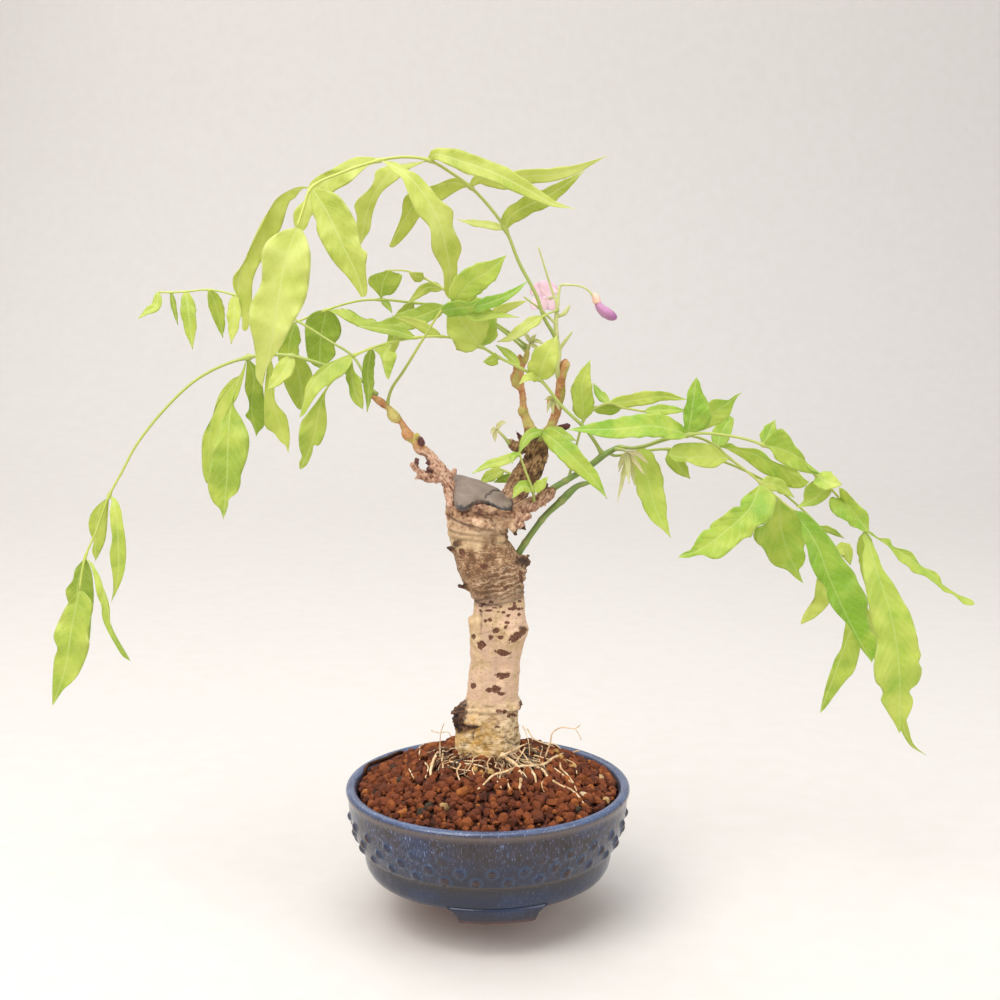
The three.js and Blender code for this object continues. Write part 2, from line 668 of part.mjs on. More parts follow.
// Compound leaves: each has a stalk through its places, and leaflets that start at one of those
// places by number, followed by the width, the turn and the rest of the midrib's places.
const LEAVES = {
  leaf_arching: {
    colour: COLOURS.paleLeaf,
    radii: [1.1, 0.9, 0.8, 0.65],
    stalk: [[32.6, 266, 8], [27, 275, 4], [23, 286, 2], [15, 301, 0], [8.5, 316.5, -2], [0, 328, -5],
      [-8, 336, -8],
      [-17, 342.5, -11], [-27, 348, -14], [-38, 349.5, -17], [-50, 348, -20], [-66, 343, -25],
        [-82, 335.5, -29],
      [-86, 326, -31], [-89, 317.5, -33]],
    leaflets: [
      [4, 9, 12, [10.5, 322, -4], [18, 327, -7], [27, 331, -10], [36, 336.5, -12], [45.5, 343.5, -13]],
      [6, 7.5, 20, [-3.6, 339.6, -10], [8, 338.4, -13], [18, 340.8, -16], [30, 341.4, -18],
        [42, 344.4, -20], [56, 350, -22]],
      [6, 8.5, -25, [-17, 337.8, -2], [-31, 332, 4], [-39, 320, 9], [-46, 308.5, 12]],
      [8, 9, -12, [-24.4, 350.6, -16], [-10, 347, -21], [5, 341.6, -25], [18, 335, -27],
        [30, 328.6, -28], [41, 325.8, -28]],
      [8, 10, 28, [-42, 345, -8], [-51, 335.5, -2], [-56, 325, 2], [-59.5, 309, 4]],
      [10, 16, -16, [-40, 343.4, -25], [-29.5, 332.5, -28], [-22.5, 320, -27], [-19.4, 308, -23],
        [-17.6, 297, -18], [-18, 284, -12]],
      [10, 10, 24, [-64, 344.4, -16], [-77, 337, -12], [-84, 327, -9], [-87, 315, -8]],
      [12, 10.5, -22, [-95, 333, -24], [-104, 322.5, -20], [-111, 309, -17], [-117.4, 291, -15],
        [-115, 269, -15]],
      [12, 19.5, 14, [-74.5, 323.5, -36], [-67.5, 308, -41], [-61, 294.5, -42], [-58.4, 285, -41]],
      [14, 25, -8, [-94.6, 303, -38], [-98.6, 284, -41], [-102, 265, -41], [-107, 242.5, -38]],
    ],
  },
  leaf_far_left: {
    colour: COLOURS.paleLeaf,
    radii: [1.1, 0.9, 0.7, 0.6],
    stalk: [[-53, 239, -6], [-60, 246, 0], [-77, 253, 4], [-93, 257.4, 6], [-103, 258, 7],
      [-114, 256.6, 7], [-127, 252.4, 6],
      [-140, 245, 5], [-155, 231, 3], [-168, 215, 1], [-176, 201, -1], [-182, 190.6, -3], [-189, 173, -6],
      [-195, 160, -9], [-198.4, 144, -12]],
    leaflets: [
      [3, 9, 20, [-97, 250, 2], [-105, 241, -2]],
      [3, 11, -24, [-89.6, 249, 11], [-88.4, 240, 13], [-88.6, 232, 14]],
      [4, 12, 10, [-103.6, 246, 12], [-100.6, 229, 14], [-95.4, 211, 15]],
      [5, 9.5, -18, [-111, 248, 12], [-112.6, 234, 16], [-110.6, 219, 18]],
      [5, 13, 22, [-119, 246, 11], [-128.5, 235, 14], [-133, 219, 15], [-133.6, 202, 14]],
      [5, 20.5, -8, [-121.6, 237, 2], [-124, 219, -2], [-125, 201, -4], [-127.4, 179, -4]],
      [11, 9, 28, [-187, 184, 0], [-189.4, 173, 3], [-189.8, 158.5, 5]],
      [11, 7.4, -20, [-179.4, 183, -7], [-178.6, 166, -9], [-179.4, 151, -10], [-183.2, 138, -10]],
      [13, 12.5, 24, [-198, 151, -4], [-200, 136, -1], [-195.6, 113, 1]],
      [13, 5.4, -20, [-189, 153, -13], [-185.6, 140, -16], [-183.6, 127, -17], [-174.6, 108.6, -17]],
      [14, 18, 10, [-203, 125, -15], [-207, 105, -16], [-214, 86, -15]],
    ],
  },
  leaf_young_left: {
    colour: COLOURS.middleLeaf,
    radii: [0.8, 0.65, 0.5],
    stalk: [[-56, 240.6, -7], [-58.4, 248, -4], [-64, 257.4, 2], [-75, 264.6, 10], [-90, 274, 14],
      [-105, 281, 16], [-119, 286, 18],
      [-131, 288.4, 19], [-142, 287.6, 19], [-149, 287.2, 19], [-155, 287.4, 18]],
    leaflets: [
      [6, 7, 20, [-119.6, 275, 16], [-121.4, 263, 15]],
      [7, 7.6, -24, [-128, 280, 22], [-125.2, 266, 23]],
      [8, 7.4, 12, [-141, 277, 16], [-139.8, 260.4, 15]],
      [10, 5, 25, [-156.4, 280.6, 16], [-160, 278.6, 14], [-165, 275, 13]],
    ],
  },
  leaf_inner: {
    colour: COLOURS.richLeaf,
    radii: [0.9, 0.75, 0.6],
    stalk: [[-48, 234, -5], [-45.5, 242, -11], [-40, 250, -16], [-30, 266, -22], [-21.6, 278.6, -26],
      [-16.4, 282.4, -28]],
    leaflets: [
      [5, 13.5, 14, [-8, 292, -31], [1, 297.5, -32], [9, 304.4, -31]],
      [5, 6, -20, [-6, 280.6, -25], [3, 283, -22], [12, 287, -20], [19.2, 292.8, -19]],
      [5, 4.6, -30, [-7, 275.6, -25], [4, 276.6, -22], [15, 275.6, -20]],
      [4, 8, 30, [-14, 280, -31], [-7, 281, -36], [-3, 285, -38]],
    ],
  },
  leaf_crossing: {
    colour: COLOURS.middleLeaf,
    radii: [1.1, 0.9, 0.75, 0.7],
    stalk: [[55, 210.6, 3], [50.4, 218, -1], [46, 223.6, -3], [36, 233, -6], [24.6, 246.6, -8],
      [15, 252, -9], [5, 257, -11],
      [-3.4, 262, -13], [-12, 265, -15], [-22, 266.6, -17], [-34, 266, -19], [-45, 264, -20],
        [-55, 261, -21], [-64, 257.4, -22]],
    leaflets: [
      [13, 12, 16, [-75, 252.6, -26], [-84, 243, -30], [-90, 228, -31]],
      [13, 13, -22, [-71, 249, -16], [-79, 236, -11], [-83.6, 217, -9], [-90, 203, -9]],
      [13, 8.6, 24, [-64.4, 247, -23], [-62.4, 239, -23], [-59.4, 232, -22]],
      [12, 6.4, -28, [-57, 250, -15], [-56.6, 240, -13], [-57.4, 230.6, -12]],
      [11, 9, 10, [-49.4, 256, -23], [-47, 246, -24]],
      [9, 5, -18, [-33, 272.4, -14], [-45, 276.4, -12]],
      [7, 19, 8, [-8, 268, -17], [-13, 275, -19], [-18.6, 283.4, -20]],
      [7, 17, -24, [-2, 270, -9], [-4, 277, -7], [-7.4, 287, -6]],
      [4, 13.5, -10, [26.6, 254, -12], [33, 267, -13]],
    ],
  },
  leaf_middle: {
    colour: COLOURS.middleLeaf,
    radii: [0.9, 0.75, 0.6],
    stalk: [[18.8, 259.6, 4], [12, 265.6, 7], [0, 274, 10], [-20, 280.6, 15], [-35, 282.4, 19],
      [-50, 283.8, 22], [-61, 283.2, 24],
      [-76, 279, 25], [-91, 273, 25]],
    leaflets: [
      [3, 10, 20, [-33, 275.6, 11], [-48, 271, 9], [-62, 271.4, 9]],
      [4, 9, -30, [-41, 275, 24], [-45.4, 262, 26], [-47, 252, 27]],
      [5, 15, 12, [-49.6, 290, 19], [-46.4, 297.6, 17]],
      [7, 7, 24, [-66, 279.4, 22], [-58, 275, 20], [-51.4, 272.8, 19]],
      [7, 17.5, -12, [-79, 265, 29], [-79.6, 251.6, 31]],
      [8, 12, 20, [-94, 262, 29], [-93, 248, 31], [-89.4, 234, 31]],
    ],
  },
  leaf_small: {
    colour: COLOURS.paleLeaf,
    radii: [0.75, 0.6, 0.5],
    stalk: [[19.2, 261.6, 3.5], [12, 267.4, 2], [0, 275.4, 1], [-10, 282, 1.5], [-21, 289, 3],
      [-30, 294, 5], [-38, 297.2, 7], [-48, 297.4, 9]],
    leaflets: [
      [4, 5.4, 20, [-28, 289.4, 8], [-33, 286, 10], [-38, 281.4, 11]],
      [5, 5.4, -16, [-33, 294.6, 1], [-37, 296.6, -2]],
      [2, 5, 24, [8, 279.8, -3], [19, 283.4, -6]],
    ],
  },
  leaf_raceme_side: {
    colour: COLOURS.paleLeaf,
    radii: [0.6, 0.5],
    stalk: [[33.6, 279, 7], [29.6, 277.6, 4], [26, 276, 1]],
    leaflets: [
      [2, 6, 20, [18, 271, -2], [11, 266, -3], [4.6, 264, -4]],
    ],
  },
  leaf_upright: {
    colour: COLOURS.richLeaf,
    radii: [0.8, 0.7, 0.6],
    stalk: [[39, 198.4, 5], [41, 208, 9], [43.4, 218, 11], [46, 227, 10], [50, 231.4, 12],
      [58, 235, 14], [64, 233, 16], [75, 231, 18]],
    leaflets: [
      [3, 11, 12, [45.4, 235, 7], [45, 244, 5], [48.8, 255.6, 5]],
      [5, 5, 24, [53, 239.6, 17], [50.4, 244.6, 18]],
      [5, 7, 14, [70, 236.6, 19], [83, 238.4, 22], [95.6, 236.6, 24]],
      [7, 5.4, -16, [84, 231.8, 18], [95.4, 231.4, 19]],
    ],
  },
  leaf_right_upper: {
    colour: COLOURS.richLeaf,
    radii: [1, 0.8, 0.7, 0.6],
    stalk: [[62.8, 214, 1.8], [72, 213.6, -2], [85, 217.4, -7], [96, 220, -10], [105, 220.6, -12],
      [120, 218.6, -15], [132, 215, -18],
      [145, 208.6, -22], [158, 200.4, -25], [170, 188.6, -28], [182.4, 173, -30]],
    leaflets: [
      [3, 12, 22, [80, 224, -13], [60, 222.6, -15], [38, 222.4, -15]],
      [3, 14, -12, [97.6, 232, -13], [99.4, 247.4, -14]],
      [3, 10.5, -28, [106, 229, -4], [113, 234, -1], [121.6, 240.4, 0]],
      [6, 8, 24, [135, 222, -14], [137.4, 227, -12]],
      [6, 13.5, -14, [141, 213, -24], [150, 208.6, -28], [160.6, 200.8, -31]],
      [8, 12.5, 20, [162, 194, -20], [158, 189.6, -17], [148.4, 184.4, -15]],
      [8, 10, -20, [164, 197, -31], [170.4, 196, -34]],
      [9, 14, -14, [174.4, 185.4, -32], [179.4, 178.6, -34], [184.4, 173, -36]],
      [10, 6, 20, [190, 169, -26], [203, 161, -22], [213, 154, -20], [221, 147, -19], [237, 137, -18]],
      [10, 9, 30, [183.6, 162, -26], [186, 150, -22], [188.6, 134, -20]],
      [10, 24, -10, [187.6, 157, -35], [196.6, 131, -38], [201.4, 106, -38], [203, 72, -34]],
    ],
  },
  leaf_right_lower: {
    colour: COLOURS.richLeaf,
    radii: [0.9, 0.8, 0.7, 0.6],
    stalk: [[61.6, 213.4, 3.5], [66, 213.6, 5], [73, 214, 5], [86, 218.4, 4], [97, 219.4, 2],
      [104, 217.4, 1], [110, 214, 0], [116, 208.6, 0], [124, 202.6, 0],
      [131.4, 196.6, -1], [140, 189, -2], [148, 182.6, -3]],
    leaflets: [
      [2, 14, -14, [77, 199, 0], [80.6, 185, -3], [88.4, 170, -4]],
      [6, 8.6, 24, [112, 221, 6], [116.6, 228.4, 9]],
      [6, 10, -24, [125, 211.4, 6], [139, 205.4, 8], [154.6, 197.2, 8]],
      [7, 13, 16, [105, 209.6, -5], [95, 209, -8], [86.4, 210.4, -10]],
      [9, 16, 10, [126, 184, -6], [114, 172.6, -10], [103, 164.4, -12], [92, 160.4, -12]],
      [9, 7.5, -20, [139, 195.6, 5], [147.6, 189.6, 8]],
      [10, 24, -22, [141.6, 176, 6], [145.4, 163, 9], [153.4, 147.4, 10]],
      [11, 17.5, -8, [158.4, 168, -7], [166, 150, -11], [175.6, 130, -13], [188, 108, -13]],
    ],
  },
  leaf_right_back: {
    colour: COLOURS.middleLeaf,
    radii: [0.8, 0.75, 0.65, 0.55],
    stalk: [[58, 211.3, 2.9], [61, 209.8, 7], [66.5, 210.6, 10], [73, 211.8, 12], [87, 213, 14],
      [101, 210.6, 16],
      [113, 207, 17], [124, 202.4, 17], [137, 195.4, 17], [148, 187, 17],
      [160, 175.4, 17], [169, 163, 17], [176.4, 151.4, 17], [182, 138, 17]],
    leaflets: [
      [4, 9, 22, [91, 206.4, 11], [97.4, 198.6, 9]],
      [11, 7.5, -24, [173, 164, 21], [175.8, 156.6, 22]],
      [11, 9, 16, [162.6, 150, 21], [158, 138.6, 22], [152.6, 127, 22]],
      [13, 11, -10, [177.4, 125, 13], [170.6, 104, 10], [163.4, 82.4, 9]],
      [13, 8, 20, [191, 117, 12], [201, 88, 8], [209, 67, 5], [216.4, 61, 4]],
    ],
  },
  leaf_fork: {
    colour: COLOURS.richLeaf,
    radii: [0.8, 0.7],
    stalk: [[25, 217, 6], [26, 219.6, 3], [26.4, 221.6, 0]],
    leaflets: [
      [2, 5.6, 24, [20, 219.4, -3], [14.8, 210.6, -5]],
      [2, 6, -24, [34, 220.6, -2], [42.4, 217, -4]],
      [2, 10, 8, [33, 216.6, -7], [42, 208, -12], [52, 197.4, -14], [57.6, 188.8, -15]],
    ],
  },
  leaf_stub: {
    colour: COLOURS.richLeaf,
    radii: [0.8, 0.65, 0.55],
    stalk: [[22.4, 187, -1], [21.8, 193, -6], [18.4, 202, -8], [15.2, 211, -9]],
    leaflets: [
      [3, 5, 20, [8, 207.4, -10], [0, 205.2, -12], [-7.4, 201.2, -13]],
      [1, 6, 24, [16.6, 195, -8], [12, 189, -10]],
      [1, 5.6, -24, [25.4, 195.4, -8], [29, 199.6, -9]],
    ],
  },
  leaf_behind_trunk: {
    colour: COLOURS.richLeaf,
    radii: [0.7, 0.6],
    stalk: [[15, 196, 9], [12, 200.6, 17], [8, 202.6, 20]],
    leaflets: [
      [2, 6.4, 20, [2, 200.4, 22], [-4.4, 196, 23]],
      [1, 4.6, -20, [9, 199, 21], [3, 197, 24]],
    ],
  },
};

const STALK_ROWS = 0.7;
function compoundLeaf({ radii, stalk, leaflets }) {
  const places = stalk.map(seen);
  const solids = [stem(places, radii, 3, Math.round(places.length * STALK_ROWS))];
  for (const [node, width, roll, ...rest] of leaflets) {
    solids.push(blade({ places: [places[node], ...rest.map(seen)], width, roll }));
  }
  return mainBody(join(solids).subtract(shootCutter));
}

for (const [name, leaf] of Object.entries(LEAVES)) {
  addPiece(name, compoundLeaf(leaf), leaf.colour, 0.55);
}

// Tufts of unfolding leaflets: a short stalk, and slim leaflets that hang or stand from its end
const TUFTS = {
  tuft_hanging: {
    stalk: [[61.4, 213, 1.6], [65, 212.6, -4], [67, 211.6, -8]],
    tips: [[62.6, 187.6, -14], [63, 202, -4], [68, 196, -15], [70.6, 195.4, -9], [75.4, 200.6, -15],
      [77, 206, -11]],
    width: 2.6,
  },
  tuft_twig_top: {
    stalk: [[19, 260.6, 3.4], [20.4, 263.4, 0.6]],
    tips: [[16.6, 268, -3], [23.4, 267.6, -3], [27, 262.6, -2], [25.6, 258, -3]],
    width: 2,
  },
  tuft_fork: {
    stalk: [[32.4, 234.6, 9.6], [31.6, 236.6, 4.4]],
    tips: [[27.4, 236.6, 0], [28.4, 230.6, 1], [31.4, 229.4, -1], [34.6, 231.4, 1]],
    width: 2,
  },
  tuft_left: {
    stalk: [[10.6, 215.6, 0.6], [7.4, 219.4, -3], [4.4, 222.4, -5]],
    tips: [[1.6, 220.4, -7], [3.6, 216.6, -6], [9.4, 226, -7]],
    width: 2.4,
  },
};

for (const [name, { stalk, tips, width }] of Object.entries(TUFTS)) {
  const places = stalk.map(seen);
  const end = places.at(-1);
  const solids = [stem(places, [0.8, 1.1], 4, 2)];
  for (const tip of tips) {
    const halfway = end.clone().lerp(seen(tip), 0.5).add(point(0, 0, 1.2));
    solids.push(stem([end, halfway, seen(tip)], [0.6, width / 2, 0.35], 3, 2));
  }
  addPiece(name, mainBody(join(solids).subtract(shootCutter)), COLOURS.youngLeaf, 0.6);
}

// The origin lies under the middle of the whole plant, on the surface that it stands on
const extent = new THREE.Box3().setFromObject(bonsai);
const footing = extent.getCenter(point(0, 0, 0)).setZ(extent.min.z);
bonsai.position.copy(footing).negate();

export default bonsai;
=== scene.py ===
# A potted Japanese wisteria: a glazed stoneware bowl, its soil, the tree and its leaves, from the pot up.
# Places on the plant are millimetres from the pot's axis on the table, read from the front: x to the
# right and z up on the upright plane through the axis, and the depth behind that plane.
import math
import random

import bmesh
import bpy
import numpy as np
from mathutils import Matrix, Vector, noise


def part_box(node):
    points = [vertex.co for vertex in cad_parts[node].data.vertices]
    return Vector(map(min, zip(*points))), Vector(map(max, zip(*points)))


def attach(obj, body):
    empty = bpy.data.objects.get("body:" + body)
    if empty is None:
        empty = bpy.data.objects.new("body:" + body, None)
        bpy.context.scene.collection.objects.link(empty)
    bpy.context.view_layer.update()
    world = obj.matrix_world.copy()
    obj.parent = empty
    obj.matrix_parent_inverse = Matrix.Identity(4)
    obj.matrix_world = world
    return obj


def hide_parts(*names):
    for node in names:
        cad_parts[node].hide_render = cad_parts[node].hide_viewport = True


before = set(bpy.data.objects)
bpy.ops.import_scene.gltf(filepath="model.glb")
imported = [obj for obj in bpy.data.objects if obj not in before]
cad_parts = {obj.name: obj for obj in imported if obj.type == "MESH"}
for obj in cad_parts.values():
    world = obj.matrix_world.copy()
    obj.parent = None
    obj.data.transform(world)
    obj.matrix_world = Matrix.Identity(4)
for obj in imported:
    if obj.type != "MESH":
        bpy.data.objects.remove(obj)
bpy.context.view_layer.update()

# The view: the whole plant from the front and a little above.
# The eye is where the plant's places are read from, so the leaves are built along its lines of sight.
MM = 0.001
pot_low, pot_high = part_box("pot")
POT_AXIS = np.array([(pot_low.x + pot_high.x) / 2, (pot_low.y + pot_high.y) / 2, 0.0])
EYE = np.array([6.0, -662.0, 282.0])
EYE_TILT = 8.05
LENS = 50
SENSOR = 36

camera_data = bpy.data.cameras.new("camera")
camera_data.lens = LENS
camera_data.sensor_width = SENSOR
camera_data.clip_start = 0.01
camera_data.clip_end = 20
camera = bpy.data.objects.new("camera", camera_data)
bpy.context.scene.collection.objects.link(camera)
camera.location = Vector(EYE * MM + POT_AXIS)
camera.rotation_euler = (math.radians(90 - EYE_TILT), 0, 0)
bpy.context.scene.camera = camera
bpy.context.scene.view_settings.view_transform = "Standard"


def seen(places):
    """Places read as x, z and depth, slid to that depth along the line of sight from the eye."""
    x, z, depth = np.asarray(places, float).T
    upright = np.stack([x, np.zeros(len(x)), z], 1)
    return EYE + (upright - EYE) * ((depth - EYE[1]) / -EYE[1])[:, None]


# The pot: a round bowl turned in stoneware clay, with three rows of clay studs pressed on and three feet.
# It is dipped in a dark blue glaze that breaks to brown on the studs and edges and runs in pale
# blue flecks on the upper wall. The underside and the soles of the feet are bare red-brown clay.
POT_TURN_STEPS = 560
STUDS_PER_ROW = 28
STUD_TURN = 2.2
# Each row of studs: its height, and its stagger as a share of the spacing
STUD_ROWS = [(22.3, 0.5), (27.5, 0.0), (33.0, 0.5)]
STUD_RADIUS = 2.5
STUD_PROUD = 1.5
STUD_WANDER = 0.35
STUD_UNLIKE = 0.06
LEDGE_TOP = 19
BAND_LOW = (63.6, 19.2)
BAND_HIGH = (68.9, 41.6)
BAND_BULGE = 1.1
BAND_ROWS = 32
# The wall's profile, below the band and from the lip to the inside: radius and height
POT_OUTSIDE_BELOW = [
    (9, 4.9), (9.4, 4.5), (30, 4.5), (54, 4.5), (56.6, 4.9), (59, 6.5), (60.4, 9), (61, 11.6),
    (61.2, 14.6), (61.3, 16.8), (61.4, 17.6), (61.8, 18.2), (62.7, 18.6), (63.2, 18.8),
]
POT_LIP_AND_INSIDE = [
    (69.3, 43.2), (69.6, 44.1), (69.9, 45), (70, 45.9), (69.8, 46.7), (69.3, 47.4), (68.5, 47.8),
    (67.6, 47.95), (66.7, 47.8), (65.8, 47.3), (65.1, 46.5), (64.7, 45.2), (64.3, 42.5), (63.6, 38),
    (62.4, 30), (61.2, 22), (60, 14), (59.4, 10.4), (58.6, 9), (57, 8.5), (30, 8.5), (9.4, 8.5), (9, 8.1),
]
FOOT_TURNS = [5, 125, 245]
FOOT_ARC_STEPS = 26
BARE_SOLE_RISE = 0.7
# A foot from its sole up: height, half its spread in degrees, outer and inner radius
FOOT_LEVELS = [
    (0.0, 16.6, 58.4, 51.9), (0.5, 17.3, 59.0, 51.2), (2.2, 17.8, 59.5, 50.9), (4.2, 18.8, 59.8, 50.6),
    (5.8, 20.4, 60.1, 50.2), (7.0, 22.6, 60.2, 49.8), (8.4, 24.4, 58.6, 50.6),
]


def srgb(code):
    """An sRGB hex colour as linear light, with full alpha."""
    parts = [int(code[i:i + 2], 16) / 255 for i in (1, 3, 5)]
    return tuple(c / 12.92 if c <= 0.04045 else ((c + 0.055) / 1.055) ** 2.4 for c in parts) + (1.0,)


def blank_material(name):
    """A new material whose nodes are still to be added."""
    made = bpy.data.materials.new(name)
    made.use_nodes = True
    made.node_tree.nodes.clear()
    return made


def node(material, kind, links=(), stops=(), out=0, **settings):
    """Adds a node to a material and gives its output. The links are numbers, hex colours or outputs
    for its sockets, in their order or by name, and the stops are those of a colour ramp."""
    made = material.node_tree.nodes.new("ShaderNode" + kind)
    for key, value in settings.items():
        setattr(made, key, value)
    if stops:
        ramp = made.color_ramp.elements
        while len(ramp) < len(stops):
            ramp.new(1.0)
        for element, (position, colour) in zip(ramp, stops):
            element.position = position
            element.color = srgb(colour) if isinstance(colour, str) else (colour, colour, colour, 1)
    for key, value in links.items() if isinstance(links, dict) else enumerate(links):
        if isinstance(value, bpy.types.NodeSocket):
            material.node_tree.links.new(value, made.inputs[key])
        else:
            made.inputs[key].default_value = srgb(value) if isinstance(value, str) else value
    return made.outputs[out] if len(made.outputs) else None


def quads(rows, columns, rows_closed=False, columns_closed=True):
    """The four-sided faces of a grid of points, row after row."""
    down = np.arange(rows if rows_closed else rows - 1)
    over = np.arange(columns if columns_closed else columns - 1)
    row, column = (grid.ravel() for grid in np.meshgrid(down, over, indexing="ij"))
    below = (row + 1) % rows
    beside = (column + 1) % columns
    return np.stack([row * columns + column, row * columns + beside,
                     below * columns + beside, below * columns + column], 1)


def loop_cap(columns):
    """The faces that close a loop of points that goes out in columns and comes back under them."""
    out = np.arange(columns - 1)
    return np.stack([out, out + 1, 2 * columns - 2 - out, 2 * columns - 1 - out], 1)


class Form:
    """Closed shapes in millimetres about the pot's axis, gathered into one mesh.
    Marks are numbers at the points that the material reads."""

    def __init__(self):
        self.points = []
        self.faces = []
        self.marks = {}
        self.count = 0

    def add(self, points, faces, **marks):
        """Adds one closed shape, with a number for each mark or one number for each of its points."""
        self.points.append(np.asarray(points, float))
        self.faces.extend(np.asarray(part) + self.count for part in faces)
        for key, value in marks.items():
            spread = np.broadcast_to(np.asarray(value, np.float32), (len(points),))
            self.marks.setdefault(key, []).append(spread)
        self.count += len(points)

    def mesh(self, name):
        """The Blender mesh of all the shapes, in metres, its faces turned outward."""
        made = bpy.data.meshes.new(name)
        faces = [face for part in self.faces for face in part.tolist()]
        made.from_pydata((np.vstack(self.points) * MM + POT_AXIS).tolist(), [], faces)
        for key, parts in self.marks.items():
            made.attributes.new(key, "FLOAT", "POINT").data.foreach_set("value", np.concatenate(parts))
        shape = bmesh.new()
        shape.from_mesh(made)
        bmesh.ops.recalc_face_normals(shape, faces=shape.faces)
        shape.to_mesh(made)
        shape.free()
        return made

    def piece(self, name, finish, slot, *stands_for, smooth=True):
        """Puts the mesh in the scene as a piece of the plant, in place of the solids it stands for."""
        made = self.mesh(name)
        made.polygons.foreach_set("use_smooth", [smooth] * len(made.polygons))
        made.materials.append(finish)
        thing = bpy.data.objects.new(name, made)
        bpy.context.scene.collection.objects.link(thing)
        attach(thing, "root")
        if stands_for:
            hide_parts(*stands_for)


def pot_wall(form):
    """The bowl's turned wall, inside and out, with its band of studs and the glaze pooled round them."""
    rise = np.linspace(0, 1, BAND_ROWS + 1)
    band = np.stack([np.interp(rise, (0, 1), ends) for ends in zip(BAND_LOW, BAND_HIGH)], 1)
    band[:, 0] += BAND_BULGE * np.sin(math.pi * rise)
    band = [tuple(place) for place in band]
    profile = np.array(POT_OUTSIDE_BELOW + band + POT_LIP_AND_INSIDE, float)
    outside = np.arange(len(profile)) < len(POT_OUTSIDE_BELOW) + len(band)
    turn = np.arange(POT_TURN_STEPS) / POT_TURN_STEPS * 2 * math.pi
    radius = np.repeat(profile[:, :1], POT_TURN_STEPS, 1)
    height = np.repeat(profile[:, 1:], POT_TURN_STEPS, 1)
    pitch = 2 * math.pi / STUDS_PER_ROW
    stud = np.zeros_like(radius)
    ring = np.zeros_like(radius)
    for stud_height, stagger in STUD_ROWS:
        start = math.radians(STUD_TURN) - math.pi / 2 + stagger * pitch
        off = (turn - start + pitch / 2) % pitch - pitch / 2
        number = np.floor((turn - start + pitch / 2) / pitch)
        lift = STUD_WANDER * np.sin(number * 12.9 + stud_height)
        away = np.hypot(radius * off, (height - stud_height - lift) * 1.03)
        away = away / (STUD_RADIUS * (1 + STUD_UNLIKE * np.sin(number * 7.7 + stud_height)))
        shown = np.ones(POT_TURN_STEPS)
        if stud_height == STUD_ROWS[-1][0]:
            shown = np.clip(0.1 + 1.5 * np.abs(np.cos(turn)) ** 1.5 + 0.8 * (np.sin(turn) > 0.3), 0.1, 1)
        stud = np.maximum(stud, np.clip(1 - away ** 2, 0, 1) ** 0.62 * outside[:, None] * shown)
        ring = np.maximum(ring, np.exp(-((away - 1.12) / 0.22) ** 2) * outside[:, None] * shown)
    slip = 0.12 * np.sin(2 * turn + 0.6) + 0.08 * np.sin(5 * turn)
    radius = radius + STUD_PROUD * stud + 0.12 * ring + slip * outside[:, None] * (height > LEDGE_TOP)
    points = np.stack([radius * np.cos(turn), radius * np.sin(turn), height], -1).reshape(-1, 3)
    form.add(points, [quads(len(profile), POT_TURN_STEPS, rows_closed=True)],
             stud=stud.ravel(), pool=ring.ravel(), sole=0)


def pot_foot(form, turn):
    """One curved foot under the bowl, with its bare sole."""
    rings = []
    for height, spread, outer, inner in FOOT_LEVELS:
        sweep_out = np.radians(turn - 90 + np.linspace(-spread, spread, FOOT_ARC_STEPS))
        ends = np.concatenate([sweep_out, sweep_out[::-1]])
        reach = np.concatenate([np.full(FOOT_ARC_STEPS, outer), np.full(FOOT_ARC_STEPS, inner)])
        rings.append(np.stack([reach * np.cos(ends), reach * np.sin(ends), np.full(len(ends), height)], 1))
    side_count = 2 * FOOT_ARC_STEPS
    cap = loop_cap(FOOT_ARC_STEPS)
    points = np.vstack(rings)
    form.add(points, [quads(len(rings), side_count), cap, cap + (len(rings) - 1) * side_count],
             stud=0, pool=0, sole=np.clip(1 - points[:, 2] / BARE_SOLE_RISE, 0, 1))


# Stoneware glaze, dipped and fired to about 1250 degrees: glossy, blue where it is thick or pools round the
# studs, brown where it is thin on edges. A scale is cells a metre: clouds of 18 mm, streaks of 1.6 mm,
# flecks of 0.7 mm that run down the wall, and waves of 5 mm in the gloss. Heights are in metres.
glaze = blank_material("blue_stoneware_glaze")
place = node(glaze, "TexCoord", out="Object")
height = node(glaze, "SeparateXYZ", [place], out=2)
facing = node(glaze, "SeparateXYZ", [node(glaze, "NewGeometry", out="Normal")], out=2)
stud_mark, pool_mark, sole_mark = [
    node(glaze, "Attribute", out="Fac", attribute_name=mark) for mark in ("stud", "pool", "sole")]
cloud = node(glaze, "TexNoise", {"Vector": place, "Scale": 55, "Detail": 3, "Roughness": 0.6})
stretched = node(glaze, "Mapping", {"Vector": place, "Scale": (1, 1, 0.3)})
streak = node(glaze, "TexNoise", {"Vector": stretched, "Scale": 620, "Detail": 4, "Roughness": 0.75})
fleck = node(glaze, "TexNoise", {"Vector": stretched, "Scale": 1500, "Detail": 2, "Roughness": 0.6})
patch = node(glaze, "TexNoise", {"Vector": place, "Scale": 28, "Detail": 1})
uneven = node(glaze, "TexNoise", {"Vector": place, "Scale": 210, "Detail": 2})

